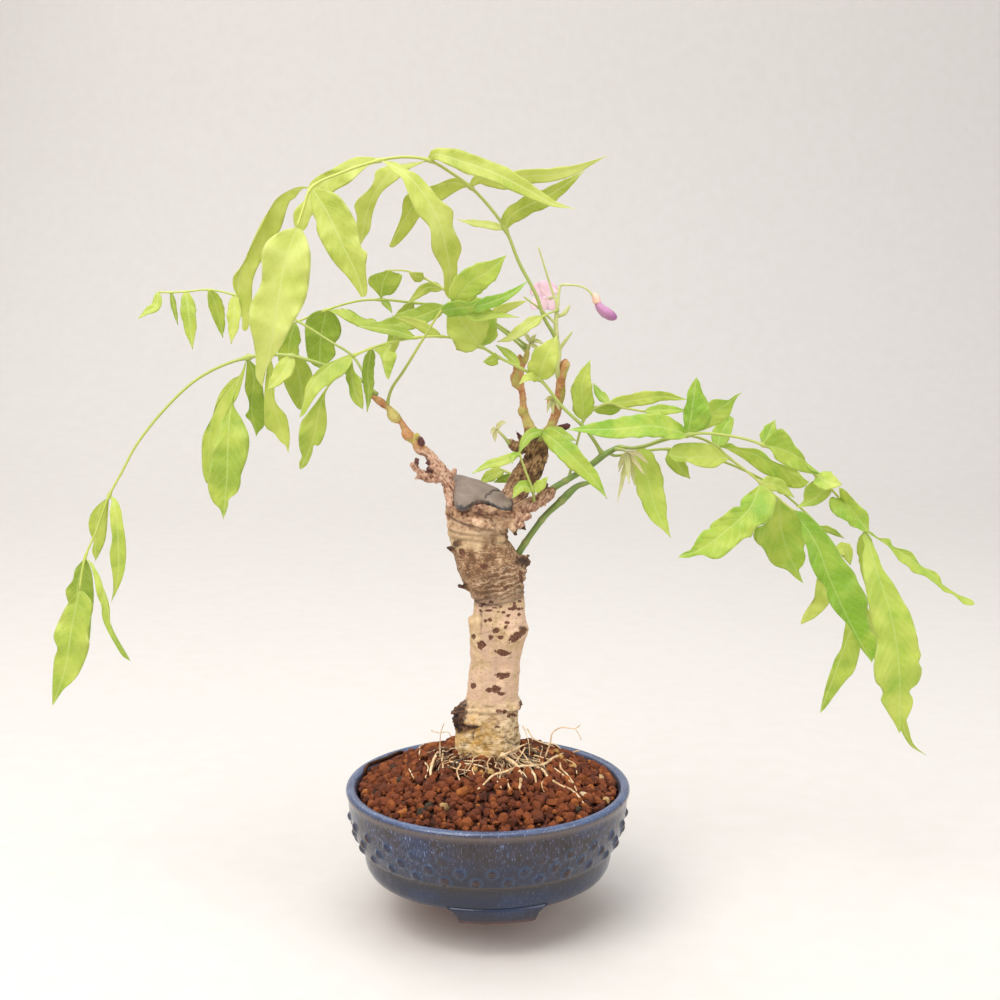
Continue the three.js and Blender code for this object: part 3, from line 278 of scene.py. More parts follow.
body_tone = node(glaze, "ValToRGB", [cloud], stops=[
    (0.3, "#271e1c"), (0.46, "#332a2c"), (0.58, "#2c2d40"), (0.72, "#293552")])
navy_part = node(glaze, "MapRange", [height, 0.036, 0.021, 0, 0.7])
wall_tone = node(glaze, "MixRGB", [navy_part, body_tone, "#222a40"])
base_tone = node(glaze, "ValToRGB", [cloud], stops=[(0.25, "#262735"), (0.5, "#22283d"), (0.75, "#26334e")])
stud_tone = node(glaze, "ValToRGB", [cloud], stops=[(0.38, "#3a2825"), (0.62, "#222a45")])
rim_tone = node(glaze, "ValToRGB", [cloud], stops=[(0.35, "#434e6c"), (0.65, "#566788")])
clay_tone = node(glaze, "ValToRGB", [cloud], stops=[(0.35, "#6d3b26"), (0.65, "#8d5236")])

grey_part = node(glaze, "MapRange", [height, 0.0125, 0.0175, 0, 0.75])
foot_part = node(glaze, "MapRange", [height, 0.007, 0.002, 0, 0.55])
above_ledge = node(glaze, "MapRange", [height, 0.018, 0.02])
patch_cut = node(glaze, "MapRange", [patch, 0.36, 0.62, 0.25, 1])
upper_wall = node(glaze, "MapRange", [height, 0.022, 0.036, 0.4, 1])
streak_part = node(glaze, "ValToRGB", [streak], stops=[(0.5, 0), (0.7, 0.7)])
for share in (upper_wall, patch_cut, above_ledge):
    streak_part = node(glaze, "Math", [streak_part, share], operation="MULTIPLY")
fleck_zone = node(glaze, "MapRange", [height, 0.018, 0.034, 0.25, 1])
fleck_cut = node(glaze, "ValToRGB", [fleck], stops=[(0.6, 0), (0.72, 0.9)])
fleck_part = fleck_cut
for share in (patch_cut, fleck_zone):
    fleck_part = node(glaze, "Math", [fleck_part, share], operation="MULTIPLY")
pool_part = node(glaze, "Math", [pool_mark, 0.4], operation="MULTIPLY")
stud_cut = node(glaze, "MapRange", [stud_mark, 0.15, 0.7, 0, 0.9])
up_lip = node(glaze, "MapRange", [height, 0.0421, 0.0481])
worn_line = node(glaze, "ValToRGB", [up_lip], stops=[
    (0, 0), (0.3, 0.55), (0.5, 0.95), (0.62, 0.55), (0.72, 0)])
rim_part = node(glaze, "MapRange", [height, 0.0458, 0.0472, 0, 0.85])
rim_fleck = node(glaze, "Math", [rim_part, fleck_cut], operation="MULTIPLY")
up_ledge = node(glaze, "MapRange", [height, 0.0168, 0.0204])
ledge_line = node(glaze, "ValToRGB", [up_ledge], stops=[(0, 0), (0.45, 0.7), (0.7, 0.5), (1, 0)])
clay_low = node(glaze, "MapRange", [height, 0.0088, 0.0062])
downward = node(glaze, "MapRange", [facing, -0.75, -0.93])
bare = node(glaze, "Math", [clay_low, downward], operation="MULTIPLY")
bare = node(glaze, "Math", [bare, sole_mark], operation="MAXIMUM")

tone = base_tone
for part, over in (
        (grey_part, "#35302f"), (foot_part, "#37302f"), (above_ledge, wall_tone), (streak_part, "#555a7a"),
        (fleck_part, "#7e95bc"), (pool_part, "#35587c"), (stud_cut, stud_tone), (worn_line, "#635652"),
        (rim_part, rim_tone), (rim_fleck, "#93a5c6"), (ledge_line, "#54483f"), (bare, clay_tone)):
    tone = node(glaze, "MixRGB", [part, tone, over])
shine = node(glaze, "MapRange", [bare, 0, 1, 0.2, 0.85])
relief = node(glaze, "Bump", {"Height": uneven, "Strength": 0.22, "Distance": 0.0012})
shader = node(glaze, "BsdfPrincipled", {
    "Base Color": tone, "Roughness": shine, "Normal": relief, "IOR": 1.52})
node(glaze, "OutputMaterial", [shader])

pot_form = Form()
pot_wall(pot_form)
for foot_turn in FOOT_TURNS:
    pot_foot(pot_form, foot_turn)
pot_form.piece("pot_bowl", glaze, "glaze", "pot")

# The drain mesh and its staple: a black plastic net over the drain hole, held by a bent steel wire.
# The net is moulded and the wire is drawn and galvanised. Both are the solids of the frame.

# Moulded polyethylene: a little matt, with a grain drawn at 1 mm, coarser than the real one, to show.
net_plastic = blank_material("moulded_black_polyethylene")
place = node(net_plastic, "TexCoord", out="Object")
grain = node(net_plastic, "TexNoise", {"Vector": place, "Scale": 900, "Detail": 2})
tone = node(net_plastic, "ValToRGB", [grain], stops=[(0.3, "#151617"), (0.7, "#232527")])
relief = node(net_plastic, "Bump", {"Height": grain, "Strength": 0.2, "Distance": 0.0003})
shader = node(net_plastic, "BsdfPrincipled", {"Base Color": tone, "Roughness": 0.5, "Normal": relief})
node(net_plastic, "OutputMaterial", [shader])

# Galvanised steel wire: bright, in grey patches of 0.8 mm.
staple_steel = blank_material("drawn_galvanised_wire")
place = node(staple_steel, "TexCoord", out="Object")
grain = node(staple_steel, "TexNoise", {"Vector": place, "Scale": 1200, "Detail": 2})
tone = node(staple_steel, "ValToRGB", [grain], stops=[(0.3, "#7c7e7f"), (0.7, "#a3a5a6")])
shader = node(staple_steel, "BsdfPrincipled", {"Base Color": tone, "Roughness": 0.35, "Metallic": 1.0})
node(staple_steel, "OutputMaterial", [shader])

for name, finish in (("drain_net", net_plastic), ("net_staple", staple_steel)):
    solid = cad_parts[name].data
    solid.materials.clear()
    solid.materials.append(finish)

# The tree's wood: one grown piece of trunk, branches, spurs and buds. The bark is pale grey-tan and
# smooth with brown corky lenticels, scars of cut shoots and a patch of old black flakes at the left
# foot; the callus under the cut and the branches are rugged and red-brown, and the foot is mossy.
# The trunk from its foot up: height, left edge and right edge
TRUNK_EDGES = [
    [33, -17, 17], [46, -19, 19], [58.6, -16.2, 16.4], [63.7, -16.2, 15.9], [74, -15.7, 15.4],
    [83, -15.6, 14.6], [87, -11.6, 17], [91, -10.6, 14.9], [109.3, -8.2, 15.8], [114.5, -8.6, 17],
    [124.4, -8.6, 19.9], [130.2, -9.4, 18.2], [131.4, -6.9, 18.2], [139.3, -6.4, 18.1], [144.2, -9.4, 17.4],
    [149.2, -12.2, 16.9], [154.1, -14.4, 19.1], [159, -15.6, 16.9], [163.9, -17, 13.7], [168.8, -18.1, 9.9],
    [178.6, -20, 9.4], [183.5, -19.4, 11],
]
# Branches, twigs, spurs, buds and callus: half thicknesses along each, then x, z and depth
WOOD = {
    "left_branch": [[4.2, 3.8, 2.9, 2.6, 3, 3.2, 2.3, 2.3, 2.6], [-10.6, 181, -1], [-15.4, 188.4, -2],
        [-17, 192, -2.4], [-19.2, 197, -3], [-22, 201, -3.6], [-25, 206.2, -4], [-29, 211.3, -4],
        [-33.6, 213.8, -4.4]],
    "left_twig": [[2.4, 2, 2.2, 1.7, 1.3, 1.7, 1.3, 1.6, 2, 1.1, 0.8], [-32.6, 213.2, -4.2],
        [-35.3, 217.5, -4.6], [-37.8, 220.9, -4.8], [-41, 225.4, -5], [-44, 229.6, -5.2],
        [-47, 232.3, -5.4], [-50.2, 235.1, -6], [-54.8, 238.2, -6.6], [-58, 240, -7]],
    "left_bulb": [[1.4, 2.7, 2.7, 1.4], [-42.4, 226.4, -5], [-44.9, 229, -5.6], [-47.2, 231.4, -5.6]],
    "left_hump": [[1.2, 1.9, 1.2], [-40.6, 223, -5], [-39.2, 219.6, -5.6], [-36.6, 216.4, -5]],
    "left_spur": [[3, 2.6, 2.3, 2, 1.6, 1.4], [-23.4, 199.4, -3.5], [-28.9, 199.7, -5], [-33, 202, -6.6],
        [-35.6, 205.2, -7.4], [-36.6, 206.8, -7.8]],
    "left_thorn": [[1.2, 0.7], [-31, 200, -6], [-35.6, 198.4, -6]],
    "left_side_bud": [[0.8, 1.3, 0.6], [-26.6, 206.8, -5], [-28.8, 206.6, -7], [-30, 205.9, -7]],
    "left_low_bud": [[0.7, 1.3, 0.5], [-26, 203.8, -5], [-28.2, 203.3, -7], [-28.2, 201.4, -7]],
    "left_top_bud": [[1, 1.4, 0.7], [-34.4, 217, -4.6], [-33.4, 219, -6], [-33.6, 221, -6]],
    "left_dark_bud": [[1.2, 1.7, 0.5], [-32.4, 214, -5], [-31.4, 216, -7], [-31.7, 219.4, -7.6]],
    "spur_bud": [[1, 1.5, 0.5], [-34.8, 204.8, -8], [-33.9, 206.6, -8.4], [-34.2, 209.4, -8.6]],
    "cap_spur": [[1.3, 1.1, 0.8, 0.3], [-20, 198.4, -1], [-17.2, 200.8, -1], [-15.8, 201.6, -1],
        [-16.2, 204, -1]],
    "middle_bulb": [[1.2, 2.3, 2.1, 1], [17.6, 234.4, 9], [16.8, 231.2, 8.4], [17.8, 227.6, 9]],
    "middle_hump": [[1.2, 2.2, 2, 0.9], [14, 250.6, 7], [13, 246.6, 6.4], [14, 241.6, 7]],
    "back_branch": [[6, 5, 5.6, 6.2, 5.2, 4.2], [4, 178, 3], [13, 192, 6], [17.5, 199, 8], [22, 206, 9],
        [24, 213, 9], [24.5, 220, 9]],
    "middle_twig": [[3.4, 2.9, 2.1, 1.8, 1.9, 2.6, 2.7, 1.5], [23, 218, 9], [19.5, 225, 9], [17.4, 231, 9],
        [16.8, 239, 8], [14.8, 247, 7], [15.2, 254, 6], [15.6, 258.5, 6]],
    "middle_twig_tip": [[1.6, 1.4, 1], [15.6, 252, 6], [18.2, 256, 4], [19.4, 262.5, 3]],
    "right_twig": [[3, 2.4, 2.3, 2.5, 2.7], [26.5, 218, 10], [31, 225, 11], [33.5, 233, 12],
        [34.6, 241, 12], [35.6, 249, 12], [37.5, 256, 12]],
    "right_twig_bud": [[1.6, 2.4, 1], [34, 238, 11], [31, 236.5, 9], [28.8, 234, 8]],
    "right_spur": [[1.7, 1.4, 1.7], [27, 219.5, 8], [33, 222.5, 6], [39.8, 224.6, 5]],
    "fork_bud": [[1.4, 1.6, 0.5], [22.5, 214.6, 7], [16, 218.2, 2], [13.2, 222.5, 1]],
    "yellow_bud": [[1.6, 2.9, 1.8], [22, 213.5, 7.5], [13, 214.5, 2], [9.5, 217.5, 1]],
    "right_stub": [[4.6, 3.6, 2.9, 2.5], [4, 180, -1], [13, 183, -1], [21, 186, 0], [27, 189.5, 1],
        [32.2, 194.6, 2]],
    "stub_bud": [[1.4, 1.7, 0.6], [24.5, 189.5, 0], [27.2, 193.2, -2], [29.2, 197, -2]],
    "shoot_collar": [[2.6, 3, 1.6], [12, 160, 1], [16.6, 158.8, 0], [21, 156.8, -1]],
    "collar_chip": [[1.2, 0.6], [18, 159, -1], [20.4, 162.4, -1]],
    "right_knob": [[3.4, 3.6, 2.2], [11, 151, -2], [15.2, 151, -3], [18.4, 151.2, -4]],
    "left_knot": [[2.6, 0.5], [-14.6, 163.4, -4], [-20.4, 165.2, -5]],
    "low_left_spur": [[1.5, 1.1, 0.7], [-9.4, 145, -3], [-11.6, 145.8, -4], [-14, 146.4, -5]],
    "stub_base": [[4.2, 4.6, 3.2], [7, 180.4, -3], [12, 179, -4], [17, 180, -3]],
    "bud_cluster": [[1.8, 1.9, 0.9], [13, 178, -5], [16.6, 175.6, -6], [18.6, 173.4, -6]],
    "small_bud": [[1.3, 1.4, 0.6], [11, 177, -7], [12.8, 173.8, -7], [13.8, 171.4, -7]],
    "cream_nub": [[1.5, 1.1], [16, 180, -5], [21.4, 180.4, -6]],
    "cut_stump": [[10.5, 9.8, 9], [-6.4, 180, 4], [-5, 186, 2.4], [-3.4, 191.4, 0.6]],
    "callus_roll": [[1.8, 2.3, 2.4, 2.4, 2.3, 2.2, 2], [-16, 184.6, -4], [-13, 182, -7],
        [-8.6, 182.8, -9.4], [-2, 183.6, -10.4], [4, 181.8, -10.2], [9, 180.6, -8], [12, 180.6, -4]],
    "pale_strand": [[2.4, 2.1, 1.9, 1.7, 1.6, 1.2], [-18.6, 194, -4], [-18, 187.4, -7], [-15, 182, -11],
        [-10.6, 179.2, -13.2], [-4.4, 176.4, -14], [4, 173.6, -13.2]],
    "foot_spur": [[1.2, 0.8], [14.6, 85, -2], [17.6, 87.4, -3]],
    "flake_spike": [[1.4, 0.3], [-14.4, 82, -4], [-18.4, 83.8, -5]],
}
TRUNK_SIDES = 72
TRUNK_STEP = 1.0
TRUNK_DEPTH_SHARE = 0.92
TOP_LEAN = 0.28
WOOD_SIDES = 18
WOOD_VOXEL = 0.62
WOOD_SMOOTHINGS = 3


def flow(places, steps):
    """Evenly spaced points on the smooth line through the places, its headings and its length."""
    p = np.asarray(places, float)
    ends = np.vstack([2 * p[0] - p[1], p, 2 * p[-1] - p[-2]])
    dense = []
    t = np.linspace(0, 1, 24, endpoint=False)[:, None]
    for i in range(len(p) - 1):
        p0, p1, p2, p3 = ends[i:i + 4]
        d0, d1, d2 = (max(np.linalg.norm(b - a), 1e-6) ** 0.5 for a, b in ((p0, p1), (p1, p2), (p2, p3)))
        leave = ((p1 - p0) / d0 - (p2 - p0) / (d0 + d1) + (p2 - p1) / d1) * d1
        arrive = ((p2 - p1) / d1 - (p3 - p1) / (d1 + d2) + (p3 - p2) / d2) * d1
        dense.append(p1 + leave * t + (3 * (p2 - p1) - 2 * leave - arrive) * t ** 2
                     + (2 * (p1 - p2) + leave + arrive) * t ** 3)
    line = np.vstack(dense + [p[-1:]])
    reach = np.concatenate([[0], np.cumsum(np.linalg.norm(np.diff(line, axis=0), axis=1))])
    at = np.linspace(0, reach[-1], steps + 1)
    points = np.stack([np.interp(at, reach, line[:, k]) for k in range(3)], 1)
    headings = np.gradient(points, axis=0)
    return points, headings / np.linalg.norm(headings, axis=1)[:, None], reach[-1]


def closed_rings(rings, first, last):
    """A closed form of rings of points, with a middle point for each end. Returns its points and faces."""
    sides = len(rings[0])
    side = np.arange(sides)
    step = (side + 1) % sides
    count = len(rings) * sides
    top = count - sides
    caps = [np.stack([np.full(sides, count), step, side], 1),
            np.stack([np.full(sides, count + 1), top + side, top + step], 1)]
    return np.vstack([*rings, [first, last]]), [quads(len(rings), sides)] + caps


def swept(points, headings, radii, sides, knurl=None):
    """A round form along a line. Returns its points and faces."""
    across = np.cross(headings[0], (0.3, 0.2, 1) if abs(headings[0][2]) < 0.9 else (1, 0.2, 0))
    angles = np.arange(sides) / sides * 2 * math.pi
    rings = []
    for i, (middle, heading) in enumerate(zip(points, headings)):
        across = across - heading * (across @ heading)
        across = across / np.linalg.norm(across)
        beside = np.cross(heading, across)
        radius = radii[i] * (1 + knurl(i, angles)) if knurl else np.full(sides, radii[i])
        rings.append(middle + np.outer(radius * np.cos(angles), across)
                     + np.outer(radius * np.sin(angles), beside))
    return closed_rings(rings, points[0], points[-1])


def rounded(radii, steps, cap=0.25):
    """Radii given at even places, spread over the steps, with the far end rounded off."""
    spread = np.interp(np.linspace(0, 1, steps + 1), np.linspace(0, 1, len(radii)), radii)
    spread[-1] *= cap
    spread[-2] *= 0.5 + cap
    return spread


def hum(points, size, seed, octaves=3):
    """Smooth noise between about -1 and 1 at points in millimetres, with forms of that size."""
    offset = Vector((seed * 17.3, seed * 5.1, seed * 9.7))
    return np.array([noise.fractal(Vector(p) / size + offset, 0.8, 2.0, octaves) for p in points])


def trunk_post():
    """The trunk's round post between its two edges, its sawn top leaning to the right."""
    table = np.array(TRUNK_EDGES, float)
    heights = np.arange(table[0, 0], table[-1, 0] + 0.01, TRUNK_STEP)
    left = np.interp(heights, table[:, 0], table[:, 1])
    right = np.interp(heights, table[:, 0], table[:, 2])
    angles = np.arange(TRUNK_SIDES) / TRUNK_SIDES * 2 * math.pi
    rings = []
    for height, left_x, right_x in zip(heights, left, right):
        knots = 0.05 * np.sin(3 * angles + height / 7) + 0.035 * np.sin(5 * angles - height / 4)
        reach = (right_x - left_x) / 2 * (1 + knots * (1 - abs(np.cos(angles))))
        lean = -TOP_LEAN * reach * np.cos(angles) * np.clip((height - 173) / 10, 0, 1)
        rings.append(np.stack([
            (left_x + right_x) / 2 + reach * np.cos(angles), TRUNK_DEPTH_SHARE * reach * np.sin(angles),
            height + lean], 1))
    return closed_rings(rings, rings[0].mean(0), rings[-1].mean(0))


wood_form = Form()
wood_form.add(*trunk_post())
for radii, *places in WOOD.values():
    steps = max(8, len(places) * 5)
    points, headings, _ = flow(seen(places), steps)
    wood_form.add(*swept(points, headings, rounded(radii, steps), WOOD_SIDES))


def sight_read(points):
    """Where points are read from the eye: their x and z on the upright plane through the pot's axis."""
    reach = -EYE[1] / (points[:, 1] - EYE[1])
    return EYE[0] + (points[:, 0] - EYE[0]) * reach, EYE[2] + (points[:, 2] - EYE[2]) * reach


def step_up(low, high, value):
    """A smooth step from 0 at low to 1 at high."""
    t = np.clip((value - low) / (high - low), 0, 1)
    return t * t * (3 - 2 * t)


def remeshed(form, voxel, smoothing):
    """One skin over all the forms: its points in millimetres, their normals, and its faces."""
    rough = bpy.data.objects.new("rough", form.mesh("rough"))
    bpy.context.scene.collection.objects.link(rough)
    joined = rough.modifiers.new("joined", "REMESH")
    joined.mode = "VOXEL"
    joined.voxel_size = voxel * MM
    joined.use_smooth_shade = True
    rounding = rough.modifiers.new("rounding", "SMOOTH")
    rounding.factor = 0.5
    rounding.iterations = smoothing
    skin = rough.evaluated_get(bpy.context.evaluated_depsgraph_get()).to_mesh()
    points = np.zeros(len(skin.vertices) * 3)
    normals = np.zeros(len(skin.vertices) * 3)
    skin.vertices.foreach_get("co", points)
    skin.vertices.foreach_get("normal", normals)
    faces = [list(face.vertices) for face in skin.polygons]
    rough_mesh = rough.data
    bpy.data.objects.remove(rough)
    bpy.data.meshes.remove(rough_mesh)
    return (points.reshape(-1, 3) - POT_AXIS) / MM, normals.reshape(-1, 3), faces


# Brown marks on the front of the trunk, as read from the eye: middle x and z, half width, half height,
# tilt in degrees, and how deep they are sunk
LENTICELS = [
    [7.7, 112.8, 4.4, 1.5, -6, 0.5], [7.4, 101.4, 4.2, 1.7, 8, 0.6], [4.4, 94.6, 2.9, 2, 0, 0.6],
    [0.6, 94.2, 1.7, 1.4, 10, 0.3], [6.6, 92.4, 1.8, 1, -14, 0.3], [-3.1, 116.9, 2, 2.2, 0, 0.4],
    [1.5, 120.7, 1.5, 1.4, 0, 0.3], [5.9, 120.7, 1.9, 1.2, 0, 0.3], [4, 124, 1.9, 1.4, 0, 0.3],
    [-1.2, 128.7, 0.9, 0.9, 0, 0.2], [1.1, 129.2, 1.1, 1, 0, 0.2], [9.4, 128, 1.2, 0.8, 0, 0.2],
    [8.6, 125.5, 1, 0.8, 0, 0.2], [-6.8, 121, 1, 1.2, 0, 0.2], [10.2, 131.6, 1.3, 0.8, 4, 0.2],
    [15.2, 132, 1.1, 0.8, 0, 0.2], [11.9, 134.9, 1.6, 0.8, 6, 0.2], [7.6, 133.2, 1.2, 0.8, 0, 0.2],
    [6.4, 135.8, 1.1, 0.6, 0, 0.2], [0.4, 134, 2.1, 0.6, 0, 0.2], [-3.2, 134.2, 0.9, 0.6, 0, 0.2],
    [15, 134.9, 0.9, 0.8, 0, 0.2], [12.9, 136.4, 0.9, 0.6, 0, 0.2], [-2, 137.4, 1.5, 0.9, 0, 0.2],
    [1.6, 138.4, 1.1, 0.9, 0, 0.2], [15.4, 138.6, 0.9, 0.6, 0, 0.2], [-7.2, 96.2, 1.5, 1.5, 0, 0.3],
    [4.6, 75.4, 2, 0.7, 4, 0.4], [12.6, 81.4, 2.1, 0.8, -6, 0.6], [8.2, 83, 1.2, 1.2, 0, 0.5],
    [-2, 155.7, 1.5, 1.4, 0, 0.2], [8.6, 145.4, 1.6, 0.8, 10, 0.2], [14.4, 121.4, 5.8, 2.2, 36, 0.7],
    [-12.4, 163, 1.6, 2.2, 20, 0.6], [16.2, 151, 1, 3.4, 8, 0.5], [-3.3, 136.3, 1, 0.6, 0, 0.2],
    [3.5, 135.4, 1.6, 0.5, 0, 0.2], [12.2, 135, 1.9, 0.8, 6, 0.2], [16.6, 135, 0.7, 0.6, 0, 0.2],
    [13, 137.6, 0.8, 0.5, 0, 0.2], [5, 133.6, 0.7, 0.5, 0, 0.2], [-2.6, 133.6, 0.7, 0.6, 0, 0.2],
    [9, 126.2, 1, 0.6, 0, 0.2], [5.6, 83.4, 1.4, 0.9, -8, 0.5], [10.4, 80.8, 1, 0.7, 0, 0.3],
    [-1.2, 155.6, 1.2, 1.4, 0, 0.1],
]
BACK_LENTICELS = 34
BACK_HEIGHTS = (68, 139)
# Folds round the trunk: height at its middle, rise to the right, and how deep they are
FOLDS = [
    [85.4, -0.05, 0.6], [139.6, 0.1, 0.35], [142, 0.16, 0.3], [144.8, 0.22, 0.3], [148.5, 0.24, 0.16],
    [124.6, 0.3, 0.12], [169.5, -0.05, 0.3], [173, -0.12, 0.4], [176.5, -0.18, 0.35],
]
# Cracks in the callus and the bark, and the groove under the fold at 85 mm, as read from the eye: x and z
# in turn. They are sunk, and darkened with painted shade.
CREVICES = [
    [-0.6, 182.4, 1.8, 178.6, 4, 175.4, 7.4, 171.8], [-14.6, 186, -12, 184, -9, 182.6, -4, 180.8, 0, 179.8],
    [-17.4, 180, -14.4, 178.4, -9, 175.4, -4, 173], [3, 181.6, 7, 180.4, 11, 179.6],
    [-8, 85.2, -5, 85.1, -1, 85.7, 5.6, 85.3], [9.2, 73, 8.8, 71, 9.2, 69],
    [-6.6, 73.6, -7.4, 71.4, -7.2, 69], [0.8, 80.4, 3.4, 79.2, 5.6, 77], [11.4, 80.4, 13, 78, 13.4, 74.6],
    [-3.4, 133, -3.2, 129, -3.6, 122], [9.6, 68, 13, 66.4, 15.4, 66.8], [-12, 66, -12.6, 62, -12.2, 58.6],
]
# Dark ragged bark about the shoot's collar and the broken spurs: middle x and z, half width, half height
DARK_BARK = [
    [17.4, 158.6, 4.2, 3.2], [-13.4, 146, 2.8, 1.5], [-18.6, 164.6, 2.6, 1.4], [-14.4, 167, 2.6, 1.8],
    [17.4, 86.8, 2.2, 2.6], [17.8, 173.8, 2, 1.7], [13.4, 171.8, 1.2, 1.2], [-16.8, 83.4, 2.4, 1.4],
    [16.6, 124.6, 2.6, 1.6],
]
# Buds with dark red scales, and wood of the last year that is still green, in the same way
RED_BUDS = [
    [-31.6, 216.8, 1.9, 2.8], [-29, 206.6, 1.8, 1.5], [-28.4, 202.9, 1.4, 1.8], [-34, 207.6, 1.6, 2.4],
    [13, 221, 2.4, 2.4], [37.6, 224.6, 3.6, 2.2], [27.8, 195.2, 2, 1.8], [-35, 210.6, 1.2, 1],
]
GREEN_WOOD = [
    [-45, 229.3, 4, 4], [-33.6, 219.6, 1.8, 2], [-37.6, 216.4, 2.4, 1.5], [13.6, 246, 1.8, 5],
    [17.4, 231, 3, 2.4], [20, 225.6, 3.4, 2.6], [38.6, 248, 1.8, 7], [36.4, 238, 1.6, 5],
    [17.8, 259, 2.4, 6], [30, 224, 2.6, 2.6],
]
LENTICEL_SEED = 17
CALLUS_LOW = 172.0
BRANCH_LOW = 188.0
# Where other kinds of bark begin and end: the place where there is none of it, then where it is full.
# OVER and UNDER are heights, and LEFT_OF is across, to the left of that place.
FLAKES_LEFT_OF = (-9, -12.5)
FLAKES_OVER = (73, 75.5)
FLAKES_UNDER = (91, 88)
STREAK_LEFT_OF = (-1.5, -5)
MOSS_UNDER = (94, 74)
LEFT_TWIG_EDGE = -28
LEFT_TWIG_OVER = (211, 215)
TWIGS_OVER = (219, 224)
PLATE_LEFT_OF = (-3.2, -4.2)
PLATE_OVER = (112, 119)
PLATE_UNDER = (133, 131.6)
TOP_PLATE_OVER = (166, 173)
WRINKLES_OVER = (137, 143)
WRINKLES_UNDER = (166, 150)
WRINKLE_SPACING = 2.7
# A dark band of painted shade along the ring folds: its height and half width
DARK_BAND_HEIGHT = 140.4
DARK_BAND_HALF = 2.6
# The paste's painted shadow on the callus just under it
PASTE_SHADE_OVER = (178, 182)
PASTE_SHADE_UNDER = (187.5, 185)

points, normals, faces = remeshed(wood_form, WOOD_VOXEL, WOOD_SMOOTHINGS)
x_read, z_read = sight_read(points)
read = np.stack([x_read, z_read], 1)
front = np.clip(-normals[:, 1] * 3, 0, 1)
turned = np.arctan2(points[:, 1], points[:, 0] - 2)
edge_heights, left_edge, right_edge = np.array(TRUNK_EDGES, float).T
past_right = points[:, 0] - np.interp(points[:, 2], edge_heights, right_edge) - 2.5
past_left = np.interp(points[:, 2], edge_heights, left_edge) - 2.5 - points[:, 0]
branchy = np.maximum(step_up(0, 2, past_right), step_up(0, 2, past_left))
branchy = np.maximum(branchy, step_up(BRANCH_LOW - 5, BRANCH_LOW, points[:, 2]))
trunkish = 1 - branchy

# Smooth noise at three sizes, then where each mark and each kind of bark lies, as shares from 0 to 1.
coarse = hum(points, 9, 1)
lumps = hum(points, 3.4, 2)
fine = hum(points, 1.3, 3, 2)
ragged = 0.3 * lumps + 0.3 * fine
scar, lift, fold_shade, crevice, dark_bark, red_bud, green_wood = np.zeros((7, len(points)))
for x, z, half_width, half_height, tilt, sunk in LENTICELS:
    cosine = math.cos(math.radians(tilt))
    sine = math.sin(math.radians(tilt))
    near = (abs(x_read - x) < 8) & (abs(z_read - z) < 8)
    over = x_read[near] - x
    up = z_read[near] - z
    away = np.hypot((over * cosine + up * sine) / half_width, (up * cosine - over * sine) / half_height)
    away += ragged[near]
    core = (1 - step_up(0.7, 1.15, away)) * front[near] * trunkish[near]
    rim = np.exp(-((away - 1.25) / 0.22) ** 2) * front[near] * trunkish[near]
    scar[near] = np.maximum(scar[near], core)
    lift[near] += 0.25 * rim - sunk * core * (0.7 + 0.5 * fine[near])
chance = random.Random(LENTICEL_SEED)
for _ in range(BACK_LENTICELS):
    turn = chance.uniform(0.1, math.pi - 0.1)
    height = chance.uniform(*BACK_HEIGHTS)
    half_width = chance.uniform(1, 3.8)
    half_height = chance.uniform(0.6, 1.5)
    away = np.hypot((turned - turn) * 13 / half_width, (points[:, 2] - height) / half_height) + ragged
    core = (1 - step_up(0.7, 1.15, away)) * trunkish
    scar = np.maximum(scar, core)
    lift -= 0.3 * core
for height, rise, depth in FOLDS:
    off = points[:, 2] - height - rise * points[:, 0] - 0.8 * np.sin(turned * 2 + height)
    lift += trunkish * depth * (0.8 * np.exp(-(off - 1.3) ** 2) - np.exp(-(off / 0.6) ** 2))
    # Painted shade in the fold's crease, gathered in fold_shade
    shade = np.clip(depth * 1.4, 0, 1) * np.exp(-(off / 0.7) ** 2)
    fold_shade += trunkish * shade * np.clip(0.7 + 1.2 * coarse, 0, 1)
callus = step_up(CALLUS_LOW, CALLUS_LOW + 6, points[:, 2] + 2.5 * lumps) * trunkish
flaky = step_up(*FLAKES_LEFT_OF, x_read + 2 * lumps)
flaky = flaky * step_up(*FLAKES_OVER, z_read) * step_up(*FLAKES_UNDER, z_read)
streak_off = z_read - (76.2 + 0.16 * (x_read + 3))
streak_width = np.clip(2.4 * (STREAK_LEFT_OF[0] - x_read) / 9, 0.2, 2.4)
streak_mark = np.exp(-(streak_off / streak_width) ** 4) * step_up(*STREAK_LEFT_OF, x_read) * front
flaky = np.clip(np.maximum(flaky, streak_mark) * trunkish, 0, 1)
for mark, table in ((dark_bark, DARK_BARK), (red_bud, RED_BUDS), (green_wood, GREEN_WOOD)):
    for x, z, half_width, half_height in table:
        away = np.hypot((x_read - x) / half_width, (z_read - z) / half_height) + 0.5 * lumps
        mark[:] = np.maximum(mark, 1 - step_up(0.7, 1.3, away))
twig = step_up(*LEFT_TWIG_OVER, z_read) * (x_read < LEFT_TWIG_EDGE)
twig = branchy * np.maximum(twig, step_up(*TWIGS_OVER, z_read))
low = step_up(*MOSS_UNDER, points[:, 2] + 5 * coarse) * trunkish
for places in CREVICES:
    line = flow(np.insert(np.reshape(places, (-1, 2)), 1, 0, axis=1), 24)[0][:, [0, 2]]
    near = (z_read > line[:, 1].min() - 2) & (z_read < line[:, 1].max() + 2) & (front > 0) & (branchy < 1)
    away = np.min(np.linalg.norm(read[near][:, None] - line, axis=2), 1)
    broken = np.clip(0.65 + 0.9 * coarse[near] + 0.6 * lumps[near], 0.1, 1)
    crevice[near] = np.maximum(crevice[near], broken * np.exp(-((away + 0.5 * lumps[near]) / 0.6) ** 2))
plate = step_up(*PLATE_LEFT_OF, x_read + 0.5 * lumps) * step_up(*PLATE_UNDER, z_read + lumps)
plate = plate * trunkish * front * step_up(*PLATE_OVER, z_read + 2 * lumps)
